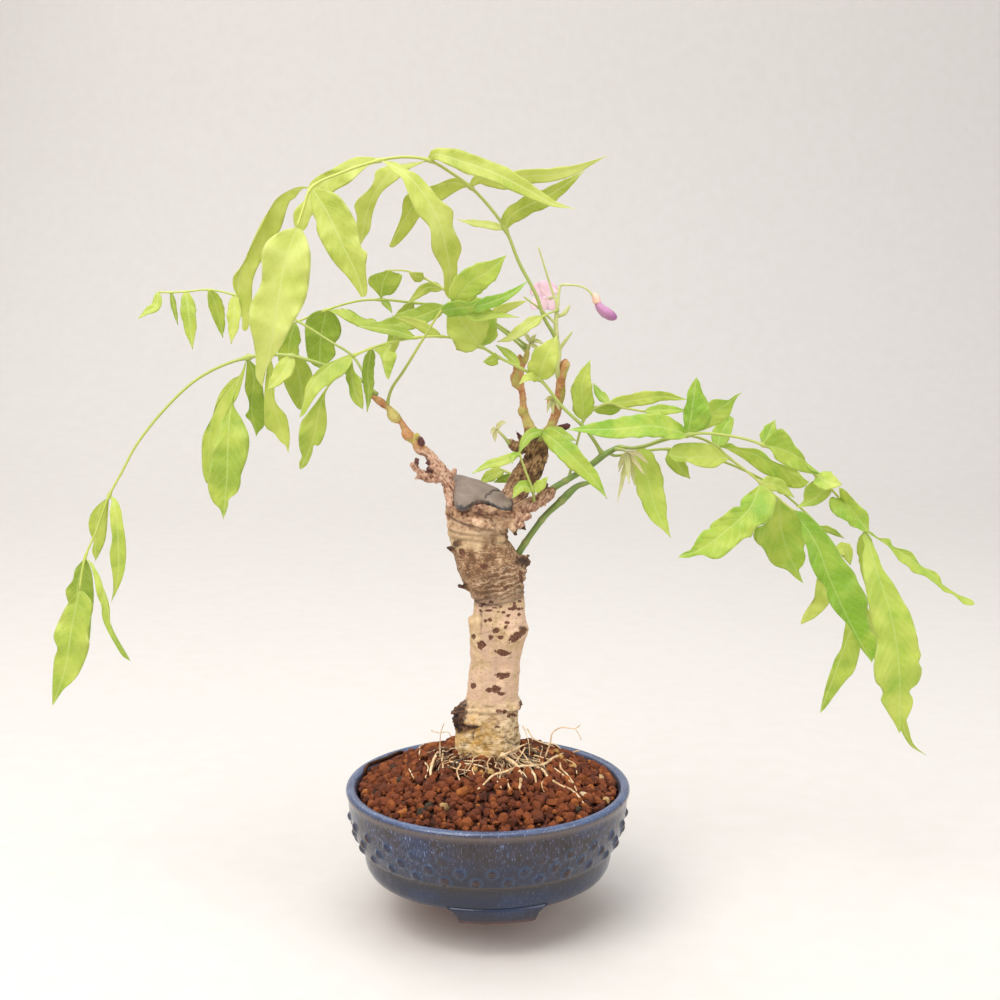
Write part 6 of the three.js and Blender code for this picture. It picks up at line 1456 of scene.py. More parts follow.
# Outlines of the largest leaflets, by their number on the leaf: the two edges from the stalk to the tip,
# as x and z in turn, read from the eye
OUTLINES = {
    "leaf_arching": {
        2: ([-14, 340, -24, 337, -38, 332, -39.6, 328, -40, 323.6, -44.6, 312, -46, 309],
            [-12, 335, -22, 329, -29, 325, -32.4, 321, -35, 317, -41.4, 310, -44.5, 308]),
        4: ([-38, 346.5, -46, 345.6, -52, 343, -52.6, 339.5, -54.6, 335.6, -62, 328, -61, 322, -61.5, 316,
            -61, 311],
            [-36, 344, -42, 339, -49.4, 333, -53.5, 323.6, -55, 316, -57, 313]),
        5: ([-48, 347, -44, 343, -40, 340, -37, 333, -33, 324, -27, 317, -26, 307, -21, 297, -20, 287],
            [-42, 347, -38, 344, -33, 342, -26, 335, -22, 330, -16, 325, -16, 318, -12, 308, -14, 301, -14,
            297, -16, 288]),
        6: ([-51.4, 349, -60, 349.6, -64, 348.5, -72.4, 344, -79.5, 340.5, -83, 337, -84.5, 331, -90.4,
            324.6, -90, 317.5],
            [-50.4, 347, -55, 345.6, -64.4, 337.6, -71.6, 333.6, -82, 323, -84.6, 317.4]),
        7: ([-84.5, 336, -88, 336, -95, 333, -99, 330, -101, 327, -105.5, 318.6, -110.4, 309.4, -115.4, 300,
            -119.4, 295, -120, 292, -119.6, 289, -117, 283.4, -116, 274, -116, 270],
            [-86, 335, -90, 330.6, -92, 329.4, -97, 316, -106, 302, -108.6, 297.4, -110.5, 291.6, -111,
            284.6, -113.4, 270]),
        8: ([-82.5, 330.5, -82, 324, -80, 320, -80, 316, -76.4, 308, -72, 301, -66, 294.4, -61, 287.5,
            -59.4, 285],
            [-78, 335, -72, 333.4, -68.4, 331, -61.6, 320, -58.6, 307.4, -56.4, 306, -57, 300, -57, 295.6,
            -56.4, 290, -57, 286]),
        9: ([-95.5, 316, -101, 313, -104, 310, -106, 305, -106, 297, -107, 290.5, -112, 281, -112.6, 273,
            -111, 265, -110, 256, -110, 247.5],
            [-86, 315, -83, 306, -83, 300, -85, 286, -87, 281, -94, 269, -97, 263, -104, 253, -106.5, 246]),
    },
    "leaf_far_left": {
        1: ([-97, 249, -97, 245.5, -95.5, 241, -90, 232],
            [-90, 258, -87, 256, -83, 247.6, -87.6, 234]),
        2: ([-105, 250, -106.4, 238, -106.6, 229, -106, 223.4, -102, 220.5, -99, 216.4, -97, 215],
            [-101, 248, -101, 236, -96, 229, -95, 225, -94.5, 219, -95, 213.5]),
        3: ([-115, 247, -115.5, 242, -113.6, 235, -114, 231.5, -115.6, 229, -113, 226, -111.4, 222],
            [-108, 250, -106.6, 240, -106, 231.5, -106.5, 224.5, -109.5, 221]),
        4: ([-116.5, 248, -120.6, 247, -125, 243, -128, 238.6, -132, 227, -136, 219.6, -137, 207, -136.4,
            200, -134.6, 196],
            [-116, 247, -119, 238, -122, 233, -124, 226, -128, 214, -130, 206, -132, 199]),
        5: ([-116.6, 249, -122, 235.4, -127, 226, -131, 215, -133, 205, -134.5, 195, -132, 187, -129, 184],
            [-116, 249, -121, 235, -117, 227, -114, 219, -115, 209.4, -118.4, 200, -118.6, 196.6, -120.4,
            192, -124.6, 188.5, -125, 185.5]),
        6: ([-183, 189.5, -187.6, 186, -191, 182, -192.6, 176.6, -192, 172, -190.5, 168, -191.5, 163.5],
            [-182.4, 187, -184, 173, -185, 168, -189, 160]),
        7: ([-181, 188, -182, 183.6, -182, 176.6, -181.5, 169.4, -183, 162, -182, 151.5, -182, 144],
            [-179, 189, -176.6, 183.6, -176, 178, -175, 169.4, -175, 161, -176, 154, -178, 148, -181, 142]),
        8: ([-196, 159, -200, 154.5, -201.5, 149, -205, 144.4, -205, 142, -203, 134, -200, 122],
            [-193.5, 158, -192, 153, -191.5, 147, -191.5, 139.4, -193, 131, -194, 122]),
        9: ([-193, 157.5, -191, 150, -190, 142, -188, 136, -188, 132, -187, 127.5, -181, 115, -178.4, 111],
            [-191.4, 157.4, -188, 149, -185.4, 142, -184, 136, -184, 130, -183.4, 122.6, -180.6, 115, -178,
            111]),
        10: ([-201, 141, -204.6, 137, -208, 131, -212, 121, -210.4, 115, -212, 110.5, -213, 104, -214, 91],
            [-196, 143, -192, 137, -193, 131, -195, 122.6, -194.6, 116.5, -200, 103, -204, 98, -208, 94.6,
            -212, 89]),
    },
    "leaf_crossing": {0: ([-65, 258, -73.6, 255, -78, 253, -86, 244, -87, 240, -89, 231],
            [-64, 255, -69, 248, -72.4, 246, -75, 243.4, -77, 243, -79.4, 241, -84, 235, -87.4, 229.6]),
        1: ([-67, 254, -74, 246, -82, 235, -86, 230, -89, 226, -90, 222, -90.4, 217, -90, 213, -89, 209.4,
            -90.4, 206.4],
            [-65, 252, -71, 247, -77, 241, -76.6, 228, -77, 223, -78.6, 218, -81, 214.5, -83, 215, -84, 211,
            -87, 205]),
        2: ([-65, 255, -67.4, 247, -66, 243, -65.6, 239, -63.5, 235, -61, 233],
            [-64, 255, -63, 250, -60.6, 247, -59, 235]),
        4: ([-54, 260, -51.6, 258.6, -48, 247],
            [-46, 259.6, -43, 258.6, -45.5, 250]),
    },
    "leaf_middle": {
        2: ([-51, 285.6, -54, 289, -56, 291, -55.6, 294.4, -48.6, 297],
            [-49, 285.6, -44.6, 286.4, -40, 295.4, -43.4, 296.4]),
        3: ([-73, 279, -70, 279.6, -64.6, 279, -58, 275, -54, 275],
            [-71.6, 277, -65, 273, -59, 271, -55, 272]),
        4: ([-78, 279, -82, 278, -84.6, 276, -86, 273, -86.4, 269, -85, 256, -82.6, 253],
            [-74.6, 278.6, -72, 277, -70, 274, -69, 269.6, -70, 266, -72.4, 263, -72, 258, -75.4, 254.4]),
    },
    "leaf_right_upper": {
        1: ([94.4, 220.6, 94, 224, 93.4, 228, 93.5, 232, 95, 236, 95, 239.5, 97, 244],
            [98, 221.4, 103, 222.4, 105.5, 224, 107, 228, 105, 236, 102.4, 240.4, 101, 245]),
        2: ([100, 224, 106, 236, 109, 237, 115, 236.6, 117.5, 238.5],
            [103, 222, 108, 224, 114.6, 227.5, 118, 236, 120, 239]),
        4: ([134, 218, 140, 223, 145, 218.6, 147, 215, 150, 212, 152, 209, 152.6, 206, 155, 203],
            [134, 214, 137, 210.5, 137.6, 208.6, 147.6, 203, 156, 201]),
        5: ([159.4, 200, 155.5, 197, 153, 195, 152, 191, 152, 188, 150, 186],
            [164, 198.4, 169.4, 197, 166, 194, 165, 191, 158.6, 186, 152, 185]),
        7: ([169, 194.6, 171, 194, 177, 188, 180, 185, 182.6, 183, 184, 180, 184, 176.5],
            [165, 190, 164.6, 185, 167.5, 181, 174, 177.5, 175, 175.6, 178.5, 174.6, 181.4, 173]),
        8: ([185, 173, 189, 170, 194.4, 169.4, 196, 166, 205, 163, 210, 156.4, 217.4, 153, 219.6, 150.5,
            221, 146, 223, 144, 236, 139],
            [185.6, 171, 190.5, 168, 194, 165.5, 200, 158, 203.5, 156, 206, 153, 212, 151, 220, 145, 221.6,
            143.4, 226, 142, 229, 139.5, 232, 137, 236, 136.6]),
        10: ([181, 170, 182.4, 166, 181.6, 162, 182, 154, 183, 148, 185, 138, 187, 129, 190, 118, 189,
            107.6, 189, 104, 190.6, 97.4, 192.4, 96, 194, 92.4, 193, 89.5, 196, 84, 200.4, 77],
            [185, 169, 189, 161.5, 191.5, 155, 197, 147.6, 202.6, 138, 205.5, 133.4, 210, 120, 210.6, 116,
            212, 111.5, 211, 108, 212.5, 105.4, 212.4, 101, 210.6, 97, 207, 93.6, 209, 89.5, 208.6, 85, 204,
            74.6]),
    },
    "leaf_right_lower": {
        1: ([108.5, 214.6, 107, 218.6, 108, 223, 111.6, 227, 114.6, 229.4],
            [113, 214.6, 115.4, 217, 117.6, 228]),
        2: ([112.4, 215, 116, 216, 120, 214, 129.6, 213, 133.5, 210.5, 136.4, 207.6, 146, 204, 149, 202.4,
            152, 199],
            [113.4, 213.4, 118, 211, 123, 208, 132, 201.4, 136.6, 199.4, 138.6, 197, 143.4, 195, 148, 194,
            152, 194.6]),
        3: ([113, 211, 108, 215, 104, 216, 94.4, 216, 89.6, 215],
            [115, 207.6, 112.6, 206, 109, 204, 104, 204, 100, 205, 96.4, 206.6, 90, 207]),
        4: ([131, 196, 122, 188.5, 121.6, 185.4, 118.6, 185, 113, 180.4, 108, 177, 106.6, 174, 105, 174,
            102, 171, 98, 164, 95.4, 163],
            [133.4, 195, 139, 189, 138.6, 184, 137, 180.4, 135.4, 177.5, 130, 175, 127, 170, 125, 170, 119,
            165, 113, 160, 109, 159.5, 103.5, 161.5, 96.4, 160]),
        6: ([138.4, 187, 137, 180.4, 133, 176, 130, 175, 128.5, 172, 128.5, 170, 130.5, 167, 133, 165, 137,
            158, 139.5, 156, 145, 154, 149.6, 150],
            [141.6, 188.4, 145, 185, 151, 182, 154, 176, 154, 173, 154.4, 169, 153, 165, 154, 160.4, 152.6,
            156, 151, 154.4, 152, 151]),
        7: ([150, 181, 152.4, 170, 154.4, 165, 156, 158, 160, 150, 164.4, 145, 165, 141, 168, 135, 177, 125,
            181, 117, 186, 110.5],
            [151, 183, 156, 180, 162, 174, 167, 168, 172.6, 159, 178, 152.6, 180, 148, 184.6, 140, 185,
            135.5, 185, 130.5, 187.6, 123.4, 190, 120.5, 189.4, 112]),
    },
    "leaf_right_back": {
        2: ([160.4, 152, 159, 144, 158.6, 140, 156, 136, 153, 130],
            [168, 147, 166.4, 138, 159.6, 130.5, 157, 129]),
        3: ([175.4, 131, 174, 125, 172.6, 115, 170, 110.4, 168.4, 105.4, 166, 97, 164, 86.5],
            [182, 128, 182.4, 120, 181.4, 110.4, 179, 102.5, 176.6, 100, 171, 92.4, 166, 85]),
    },
}
# Leaflets that stand out: how light they are, from rich green at 0 to pale at 1. The lowest values on the
# far-left leaf are painted shade on blades that lie in shade; the others are the leaflets' own tone.
LEAF_TINTS_AND_SHADE = {
    ("leaf_far_left", 8): 0, ("leaf_far_left", 10): 0.45, ("leaf_far_left", 5): 0.2,
    ("leaf_right_lower", 7): 0, ("leaf_right_lower", 6): 0.45, ("leaf_far_left", 3): 0,
    ("leaf_middle", 4): 0, ("leaf_right_upper", 10): 0.7, ("leaf_right_upper", 9): 0.1,
    ("leaf_right_upper", 1): 0.05, ("leaf_arching", 5): 0.6, ("leaf_arching", 9): 0.75,
}
# Thickness, spacing and half widths in millimetres; fold, wave and ruffle as shares of the width
LEAF_SEED = 7
RUFFLE = 0.035
LEAF_THICKNESS = 0.3
MIDRIB_THICKNESS = 0.62
MIDRIB_HALF = 0.5
STUB_LENGTH = 2.2
LEAF_STEP = 1.7
SIDE_VEIN_SPACING = 5.2
FULLEST = 0.36
FOLD = 0.16
WAVE = 0.075
STALK_SIDES = 8
OUTLINE_STEP = 1.2
OUTLINE_COLUMNS = 13


def leaf_blade(form, chance, line, width, roll, fullest=FULLEST, fold=FOLD, wave=WAVE, ruffle=RUFFLE):
    """A thin closed leaflet or petal along its midrib's line, turned to the eye and then rolled.
    It is widest at the share of its length called fullest, and a wider one has more columns of points."""
    rows = int(np.clip(round(flow(line, 8)[2] / LEAF_STEP), 9, 44))
    middle, headings, length = flow(line, rows)
    across = np.linspace(-1, 1, 11 if width > 11 else 9 if width > 6.5 else 7)
    edge_side = np.sign(across)
    outward = abs(across)
    part = np.linspace(0, 1, rows + 1)[:, None]
    side = np.cross(headings, EYE - middle)
    side /= np.linalg.norm(side, axis=1)[:, None]
    turn = math.radians(roll)
    side = side * math.cos(turn) + np.cross(headings, side) * math.sin(turn)
    up = np.cross(side, headings)[:, None, :]
    full = (part / fullest) ** (fullest / (1 - fullest)) * ((1 - part) / (1 - fullest))
    half = width / 2 * full ** (0.85 + 0.35 * part ** 3)
    phase = [chance.uniform(0, 1) for _ in range(6)]
    wobble = 0.055 * np.sin(2 * np.pi * (3.1 * part + phase[0]) + 2.2 * edge_side)
    wobble += 0.035 * np.sin(2 * np.pi * (6.7 * part + phase[1]) + 1.4 * edge_side)
    stub = np.clip(1 - part * length / STUB_LENGTH, 0, 1)
    half = np.maximum(half * (1 - 0.5 * stub), 0.12 + 0.34 * stub)
    reach = half * across * (1 + wobble * outward ** 2)
    ripple = wave * np.sin(2 * np.pi * (2.4 * part + phase[2]) + across) * outward ** 1.5
    curls = (7 + 3 * phase[3]) * part + phase[4]
    ruffles = ruffle * np.sin(2 * np.pi * curls + 1.9 * edge_side) * outward ** 3
    lift = fold * half * outward + width * full * (ripple + ruffles)
    surface = middle[:, None, :] + side[:, None, :] * reach[..., None]
    close_blade(form, surface, up, across * half, lift, reach, across, part, length, chance.uniform(0, 1))


def close_blade(form, surface, up, rib_away, lift, reach, across, part, length, tint):
    """Gives the sheet of a leaflet its thickness and midrib, with the marks for its veins."""
    rows, columns = reach.shape
    rib = np.maximum(np.exp(-(rib_away / MIDRIB_HALF) ** 2), np.clip(1 - part * length / STUB_LENGTH, 0, 1))
    thick = LEAF_THICKNESS + (MIDRIB_THICKNESS * (1 - 0.6 * part) - LEAF_THICKNESS) * rib
    top = surface + up * (lift + thick * 0.3)[..., None]
    under = surface + up * (lift - thick * 0.7)[..., None]
    points = np.concatenate([top, under[:, ::-1]], 1).reshape(-1, 3)
    ring = 2 * columns
    closing = loop_cap(columns)
    ends = [closing[:, ::-1], closing + (rows - 1) * ring]
    both = np.concatenate([reach, reach[:, ::-1]], 1)
    spread = np.tile(np.concatenate([across, across[::-1]]), rows)
    form.add(points, [quads(rows, ring)] + ends, over_mm=both.ravel(), spread=spread, tint=tint, stalk=0,
             along_mm=np.repeat(part * length, ring), part=np.repeat(part, ring))


def outlined_blade(form, chance, line, edges, roll, tint):
    """A leaflet whose two edges are given as read from the eye, folded and waved towards it."""
    rows = int(np.clip(round(flow(line, 8)[2] / OUTLINE_STEP), 12, 64))
    middle, _, length = flow(line, rows)
    rib = np.stack(sight_read(middle), 1)
    sides = []
    for edge in edges:
        way = np.vstack([rib[:1], np.reshape(edge, (-1, 2)), rib[-1:]])
        sides.append(flow(np.insert(way, 1, 0, axis=1), rows)[0][:, [0, 2]] - rib)
    across = np.linspace(-1, 1, OUTLINE_COLUMNS)
    part = np.linspace(0, 1, rows + 1)
    wide = np.linalg.norm(sides, axis=2).max(0)
    phase = [chance.uniform(0, 1) for _ in range(5)]
    read = []
    reach = []
    depth = []
    for share in across:
        away = sides[0] if share < 0 else sides[1]
        out = abs(share)
        read.append(rib + out * away)
        reach.append(share * np.maximum(np.linalg.norm(away, axis=1), 0.1))
        ripple = WAVE * 1.6 * np.sin(2 * np.pi * (2.3 * part + phase[0]) + 1.1 * share) * out ** 1.5
        curls = (6 + 3 * phase[1]) * part + phase[2]
        ripple += 0.07 * np.sin(2 * np.pi * curls + 2 * share) * out ** 3
        ripple += 0.05 * np.sin(2 * np.pi * (4.5 * part + phase[3])) * np.sin(math.pi * out)
        tilt = math.tan(math.radians(roll)) * reach[-1]
        depth.append(middle[:, 1] - tilt - FOLD * abs(reach[-1]) - wide * ripple)
    reach = np.stack(reach, 1)
    flat = np.dstack([np.stack(read, 1), np.stack(depth, 1)])
    surface = seen(flat.reshape(-1, 3)).reshape(flat.shape)
    up = EYE - surface
    up /= np.linalg.norm(up, axis=2)[..., None]
    close_blade(form, surface, up, reach, 0, reach, across, part[:, None], length, tint)


def leaf_stalk(form, radii, places, joints):
    """A leaf's thin stalk, thicker at its base and where leaflets join it."""
    steps = len(places) * 6
    points, headings, _ = flow(places, steps)
    girth = STEM_SHARE * rounded(radii, steps, 0.6)
    for joint in joints:
        away = np.linalg.norm(points - places[joint], axis=1)
        girth = np.maximum(girth, girth * (1 + 0.45 * np.exp(-(away / 1.4) ** 2)))
    base = np.linalg.norm(points - places[0], axis=1)
    girth = girth * (1 + 0.6 * np.exp(-(base / 2.5) ** 2))
    age = np.concatenate([np.repeat(np.linspace(0, 1, steps + 1), STALK_SIDES), [0, 1]])
    form.add(*swept(points, headings, girth, STALK_SIDES), over_mm=0, along_mm=0, spread=0, part=0,
             tint=age, stalk=1)


def leaf_tissue(name, shade, body, light, vein, stalk_colour, glow, puffed):
    """Soft new leaf, satin, with light shining through it: a pale midrib, bowed side veins 5 mm apart and
    clouds of 11 mm. The net between the veins is drawn at 1.5 mm, coarser than the real one, to show."""
    tissue = blank_material(name)
    place = node(tissue, "TexCoord", out="Object")
    over, along, spread, tint, stalk = [
        node(tissue, "Attribute", out="Fac", attribute_name=mark)
        for mark in ("over_mm", "along_mm", "spread", "tint", "stalk")]
    apart = node(tissue, "Math", [over], operation="ABSOLUTE")
    bow = node(tissue, "Math", [apart, 0.09, 0.7], operation="MULTIPLY_ADD")
    slant = node(tissue, "Math", [apart, bow], operation="MULTIPLY")
    run = node(tissue, "Math", [along, slant], operation="SUBTRACT")
    shake = node(tissue, "TexNoise", {"Vector": place, "Scale": 240, "Detail": 2})
    run = node(tissue, "Math", [run, shake], operation="ADD")
    turns = node(tissue, "Math", [run, 2 * math.pi / SIDE_VEIN_SPACING], operation="MULTIPLY")
    wave_line = node(tissue, "Math", [turns], operation="SINE")
    side_vein = node(tissue, "MapRange", [wave_line, 0.94, 1])
    rib_line = node(tissue, "MapRange", [apart, 0.55, 0.2])
    net = node(tissue, "TexVoronoi", {"Vector": place, "Scale": 650}, feature="DISTANCE_TO_EDGE")
    net_cut = node(tissue, "MapRange", [net, 0.1, 0, 0, 0.22])
    cloud = node(tissue, "TexNoise", {"Vector": place, "Scale": 90, "Detail": 3})
    shift = node(tissue, "MapRange", [tint, 0, 1, -0.22, 0.22])
    at = node(tissue, "Math", [cloud, shift], operation="ADD")
    blade_tone = node(tissue, "ValToRGB", [at], stops=[(0.25, shade), (0.5, body), (0.78, light)])
    veins = node(tissue, "Math", [side_vein, 0.36], operation="MULTIPLY")
    veins = node(tissue, "Math", [veins, net_cut], operation="MAXIMUM")
    rib_share = node(tissue, "Math", [rib_line, 0.5], operation="MULTIPLY")
    veins = node(tissue, "Math", [veins, rib_share], operation="MAXIMUM")
    outward = node(tissue, "Math", [spread], operation="ABSOLUTE")
    rim = node(tissue, "MapRange", [outward, 0.9, 1, 0, 0.35])
    stalk_tone = node(tissue, "MixRGB", [tint, "#9caa54", stalk_colour])
    tone = blade_tone
    for share, layer in ((veins, vein), (rim, vein), (stalk, stalk_tone)):
        tone = node(tissue, "MixRGB", [share, tone, layer])
    groove = node(tissue, "Math", [side_vein, rib_line], operation="MAXIMUM")
    puff = node(tissue, "Math", [wave_line, -0.45], operation="MULTIPLY")
    puff = node(tissue, "Math", [puff, groove], operation="SUBTRACT")
    relief = node(tissue, "Bump", {"Height": puff, "Strength": puffed, "Distance": 0.0004})
    surface = node(tissue, "BsdfPrincipled", {"Base Color": tone, "Roughness": 0.44, "Normal": relief})
    through = node(tissue, "BsdfTranslucent", {"Color": tone, "Normal": relief})
    share = node(tissue, "MapRange", [stalk, 0, 1, glow, 0])
    mixed = node(tissue, "MixShader", [share, surface, through])
    node(tissue, "OutputMaterial", [mixed])
    return tissue


TISSUES = {
    "pale": leaf_tissue(
        "pale_new_leaf", "#bccb4e", "#d2da6c", "#e1e68a", "#e6eaaa", "#c3c862", glow=0.47, puffed=0.1),
    "middle": leaf_tissue(
        "middle_new_leaf", "#abc447", "#c8d65d", "#dbe278", "#e0e89c", "#bac45a", glow=0.46, puffed=0.16),
    "rich": leaf_tissue(
        "rich_new_leaf", "#a0c840", "#c4d658", "#d9e272", "#dce898", "#b9be5c", glow=0.45, puffed=0.3),
    "young": leaf_tissue(
        "unfolding_leaf", "#cfd07c", "#dedd9c", "#e8dcb0", "#ecead0", "#cdc88a", glow=0.5, puffed=0.2),
}

for number, (name, leaf) in enumerate(LEAVES.items()):
    chance = random.Random(LEAF_SEED + number)
    stalk = seen(leaf["stalk"])
    leaf_form = Form()
    leaf_stalk(leaf_form, leaf["radii"], stalk, [leaflet[0] for leaflet in leaf["leaflets"]])
    for order, (joint, width, roll, *places) in enumerate(leaf["leaflets"]):
        line = np.vstack([stalk[joint:joint + 1], seen(places)])
        edges = OUTLINES.get(name, {}).get(order)
        if edges:
            tint = LEAF_TINTS_AND_SHADE.get((name, order), chance.uniform(0.3, 0.9))
            outlined_blade(leaf_form, chance, line, edges, roll, tint)
        else:
            leaf_blade(leaf_form, chance, line, width, roll)
    leaf_form.piece(name + "_blades", TISSUES[leaf["tone"]], leaf["tone"] + "_leaf", name)

# Tufts of unfolding leaflets: short stalks with slim leaflets still folded along the midrib, thin and
# soft, yellow-green with a bronze blush.
TUFT_SEED = 57
# Each tuft: its stalk, the tips of its leaflets, and their width
TUFTS = {
    "tuft_hanging": {
        "stalk": [[61.4, 213, 1.6], [65, 212.6, -4], [67, 211.6, -8]],
        "tips": [[62.6, 187.6, -14], [63, 202, -4], [68, 196, -15], [70.6, 195.4, -9], [75.4, 200.6, -15],
            [77, 206, -11]],
        "width": 2.6,
    },
    "tuft_twig_top": {
        "stalk": [[19, 260.6, 3.4], [20.4, 263.4, 0.6]],
        "tips": [[16.6, 268, -3], [23.4, 267.6, -3], [27, 262.6, -2], [25.6, 258, -3]],
        "width": 2,
    },
    "tuft_fork": {
        "stalk": [[32.4, 234.6, 9.6], [31.6, 236.6, 4.4]],
        "tips": [[27.4, 236.6, 0], [28.4, 230.6, 1], [31.4, 229.4, -1], [34.6, 231.4, 1]],
        "width": 2,
    },
    "tuft_left": {
        "stalk": [[10.6, 215.6, 0.6], [7.4, 219.4, -3], [4.4, 222.4, -5]],
        "tips": [[1.6, 220.4, -7], [3.6, 216.6, -6], [9.4, 226, -7]],
        "width": 2.4,
    },
}

for number, (name, tuft) in enumerate(TUFTS.items()):
    chance = random.Random(TUFT_SEED + number)
    stalk = seen(tuft["stalk"])
    tuft_form = Form()
    leaf_stalk(tuft_form, [0.8, 0.9, 0.8], stalk, [])
    for tip in seen(tuft["tips"]):
        halfway = (stalk[-1] + tip) / 2 + (0, 0, 1.2)
        leaf_blade(tuft_form, chance, np.stack([stalk[-1], halfway, tip]), tuft["width"] * 1.1,
                   chance.uniform(-40, 40), fold=0.6)
    tuft_form.piece(name + "_leaflets", TISSUES["young"], "young_leaf", name)

# The flowers: a closed violet bud held by a blushed calyx, and a pale pink one that has opened.
# The petals are thin, silky and a little waved, and the calyx is a small cup with fine down.
# The closed bud and its calyx: places and half thicknesses
CALYX_PLACES = [[50.3, 287, 5], [51, 285, 5], [52.1, 282, 5]]
CALYX_RADII = [0.9, 1.8, 2.1, 2.0]
BUD_PLACES = [[51.6, 282.6, 5], [54, 279.4, 5], [58, 276.6, 5], [61.2, 275, 5]]
BUD_RADII = [1.8, 2.8, 3.5, 3.2, 1.7]
BUD_STEPS = 30
BUD_SIDES = 28
PETAL_SEED = 97
HEART = [27, 284.6]
HEART_DEPTHS = [18.4, 16, 12.4]
HEART_RADII = [0.9, 1.1, 0.6]
HEART_STEPS = 12
HEART_SIDES = 10
# Each petal: depth at the heart, width, roll, where it is widest, then places to its tip
PETALS = [
    [17.6, 11, 8, 0.6, [25.4, 288, 17.4], [23.4, 292, 18]],
    [16.6, 11, -8, 0.6, [28.6, 288.4, 16.2], [30.6, 292.2, 16.6]],
    [15.4, 6.5, 20, 0.55, [24, 282.6, 15], [20.6, 279.6, 14.4]],
    [14.4, 6.5, -20, 0.55, [29.5, 282, 14], [31.4, 278.8, 13.6]],
    [13.2, 4, 0, 0.5, [26.8, 281.5, 12.6], [26.2, 278, 12.4]],
]


def petal_skin(name, inner_colour, outer_colour, tip_colour, glow):
    """Silky petal: fine veins 0.8 mm apart run from base to tip, darker to the tip, in clouds of 3 mm."""
    skin = blank_material(name)
    place = node(skin, "TexCoord", out="Object")
    part = node(skin, "Attribute", out="Fac", attribute_name="part")
    over = node(skin, "Attribute", out="Fac", attribute_name="over_mm")
    cloud = node(skin, "TexNoise", {"Vector": place, "Scale": 300, "Detail": 3})
    tone = node(skin, "MixRGB", [cloud, inner_colour, outer_colour])
    tip_cut = node(skin, "MapRange", [part, 0.55, 1.0, 0, 0.8])
    tone = node(skin, "MixRGB", [tip_cut, tone, tip_colour])
    lines = node(skin, "Math", [over, 8], operation="MULTIPLY")
    lines = node(skin, "Math", [lines], operation="SINE")
    line_cut = node(skin, "MapRange", [lines, 0.6, 1.0, 0, 0.3])
    tone = node(skin, "MixRGB", [line_cut, tone, tip_colour])
    surface = node(skin, "BsdfPrincipled", {"Base Color": tone, "Roughness": 0.5, "Sheen Weight": 0.25})
    through = node(skin, "BsdfTranslucent", {"Color": tone})
    mixed = node(skin, "MixShader", [glow, surface, through])
    node(skin, "OutputMaterial", [mixed])
    return skin


def closed_bud(form, places, radii, flat, lobes):
    """A closed bud, or its calyx with an open end, pleated and a little flat."""
    points, headings, _ = flow(seen(places), BUD_STEPS)
    girth = np.interp(np.linspace(0, 1, BUD_STEPS + 1), np.linspace(0, 1, len(radii)), radii)
    if lobes:
        girth[-3:] *= (0.98, 0.9, 0.7)
    else:
        girth[:3] *= (0.5, 0.8, 0.95)
        girth[-3:] *= (0.9, 0.7, 0.3)

    def pleats(i, angles):
        seam = 0.06 * np.cos(2 * angles) + 0.03 * np.sin(3 * angles + i * 0.1)
        return seam * min(i / 8, 1) - (1 - flat) * np.sin(angles) ** 2 * 0.9

    part = np.concatenate([np.repeat(np.linspace(0, 1, BUD_STEPS + 1), BUD_SIDES), [0, 1]])
    over = np.concatenate([np.tile(np.arange(BUD_SIDES) * 0.5, BUD_STEPS + 1), [0, 0]])
    form.add(*swept(points, headings, girth, BUD_SIDES, pleats), part=part, over_mm=over)


calyx_skin = green_skin("blushed_calyx", "#dba994", "#edcab2", "#cfc088")
bud_petal = petal_skin("violet_petal", "#c487b0", "#d29abf", "#a05594", 0.2)
pale_petal = petal_skin("pale_pink_petal", "#fff1f6", "#fde6f0", "#f8d6e8", 0.5)
calyx_form = Form()
closed_bud(calyx_form, CALYX_PLACES, CALYX_RADII, 1.0, True)
calyx_form.piece("bud_calyx", calyx_skin, "calyx", "flower_bud_calyx")
bud_form = Form()
closed_bud(bud_form, BUD_PLACES, BUD_RADII, 0.75, False)
bud_form.piece("bud_petals", bud_petal, "petal", "flower_bud")
flower_form = Form()
chance = random.Random(PETAL_SEED)
for depth, width, roll, fullest, *tip in PETALS:
    line = seen([[*HEART, depth], *tip])
    leaf_blade(flower_form, chance, line, width, roll, fullest, fold=0.05, wave=0.08, ruffle=0.05)
points, headings, _ = flow(seen([[*HEART, depth] for depth in HEART_DEPTHS]), HEART_STEPS)
flower_form.add(*swept(points, headings, rounded(HEART_RADII, HEART_STEPS), HEART_SIDES),
                over_mm=0, along_mm=0, spread=0, part=0, tint=0, stalk=0)
flower_form.piece("open_petals", pale_petal, "pale_petal", "flower_open")

# The stage: a plain pale sweep of paper under and behind the pot, and five big soft lamps in a pale room.
# It is no part of the plant, and only gives it a floor and an even light.
# The paper's line from front to back, in metres: y and z
SWEEP = [(-3.0, 0.0), (1.0, 0.0), (1.35, 0.05), (1.62, 0.22), (1.8, 0.5), (1.86, 0.9), (1.86, 3.4)]
SWEEP_HALF_WIDTH = 4.0
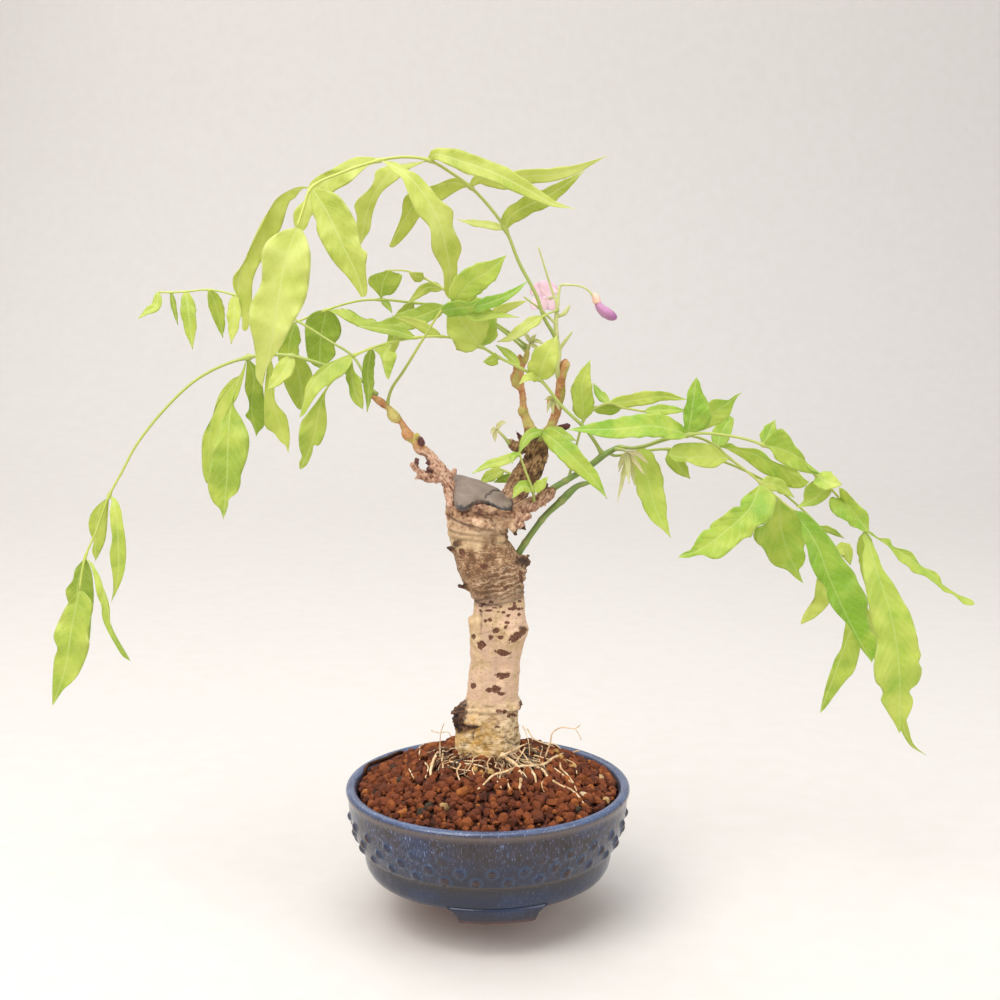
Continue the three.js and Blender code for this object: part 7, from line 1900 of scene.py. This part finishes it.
# Each lamp's place, what it points at, its size in metres, its power in watts and its tint
LAMPS = {
    "key_lamp": ((-0.7, -0.85, 1.25), (0, 0, 0.2), 1.1, 17.5, (1.0, 0.985, 0.96)),
    "fill_lamp": ((1.15, -0.75, 0.75), (0, 0, 0.2), 1.0, 7.5, (0.97, 0.985, 1.0)),
    "top_lamp": ((-0.1, -0.3, 1.35), (0, 0, 0.2), 1.0, 8.0, (1.0, 1.0, 1.0)),
    "back_lamp": ((-0.9, 1.2, 1.5), (0, 0, 0.2), 1.2, 7.0, (1.0, 1.0, 0.98)),
    "wall_lamp": ((0.2, 0.9, 2.2), (0, 1.86, 0.9), 1.4, 9.0, (0.90, 0.935, 1.0)),
}
AMBIENT = (0.95, 0.955, 1.0)
AMBIENT_STRENGTH = 0.6

# Backdrop paper: matt and off-white, in hardly visible clouds of 17 mm.
backdrop_paper = blank_material("backdrop_paper")
place = node(backdrop_paper, "TexCoord", out="Object")
fibre = node(backdrop_paper, "TexNoise", {"Vector": place, "Scale": 60, "Detail": 3})
tone = node(backdrop_paper, "ValToRGB", [fibre], stops=[(0.3, "#d5d0c9"), (0.7, "#d8d3cd")])
shader = node(backdrop_paper, "BsdfPrincipled", {"Base Color": tone, "Roughness": 0.9})
node(backdrop_paper, "OutputMaterial", [shader])
paper = bpy.data.meshes.new("backdrop")
line = flow([(0, y, z) for y, z in SWEEP], 60)[0]
paper_points = [(x, y, z) for _, y, z in line for x in (-SWEEP_HALF_WIDTH, SWEEP_HALF_WIDTH)]
paper.from_pydata(paper_points, [], quads(len(line), 2, columns_closed=False).tolist())
paper.polygons.foreach_set("use_smooth", [True] * len(paper.polygons))
paper.materials.append(backdrop_paper)
backdrop = bpy.data.objects.new("backdrop", paper)
bpy.context.scene.collection.objects.link(backdrop)

for name, (spot, aim, size, power, colour) in LAMPS.items():
    lamp_data = bpy.data.lights.new(name, "AREA")
    lamp_data.size = size
    lamp_data.energy = power
    lamp_data.color = colour
    lamp = bpy.data.objects.new(name, lamp_data)
    lamp.location = spot
    lamp.rotation_euler = (Vector(aim) - Vector(spot)).to_track_quat("-Z", "Y").to_euler()
    bpy.context.scene.collection.objects.link(lamp)
room = bpy.data.worlds.new("pale_room")
room.use_nodes = True
air = room.node_tree.nodes["Background"].inputs
air["Color"].default_value = (*AMBIENT, 1)
air["Strength"].default_value = AMBIENT_STRENGTH
bpy.context.scene.world = room
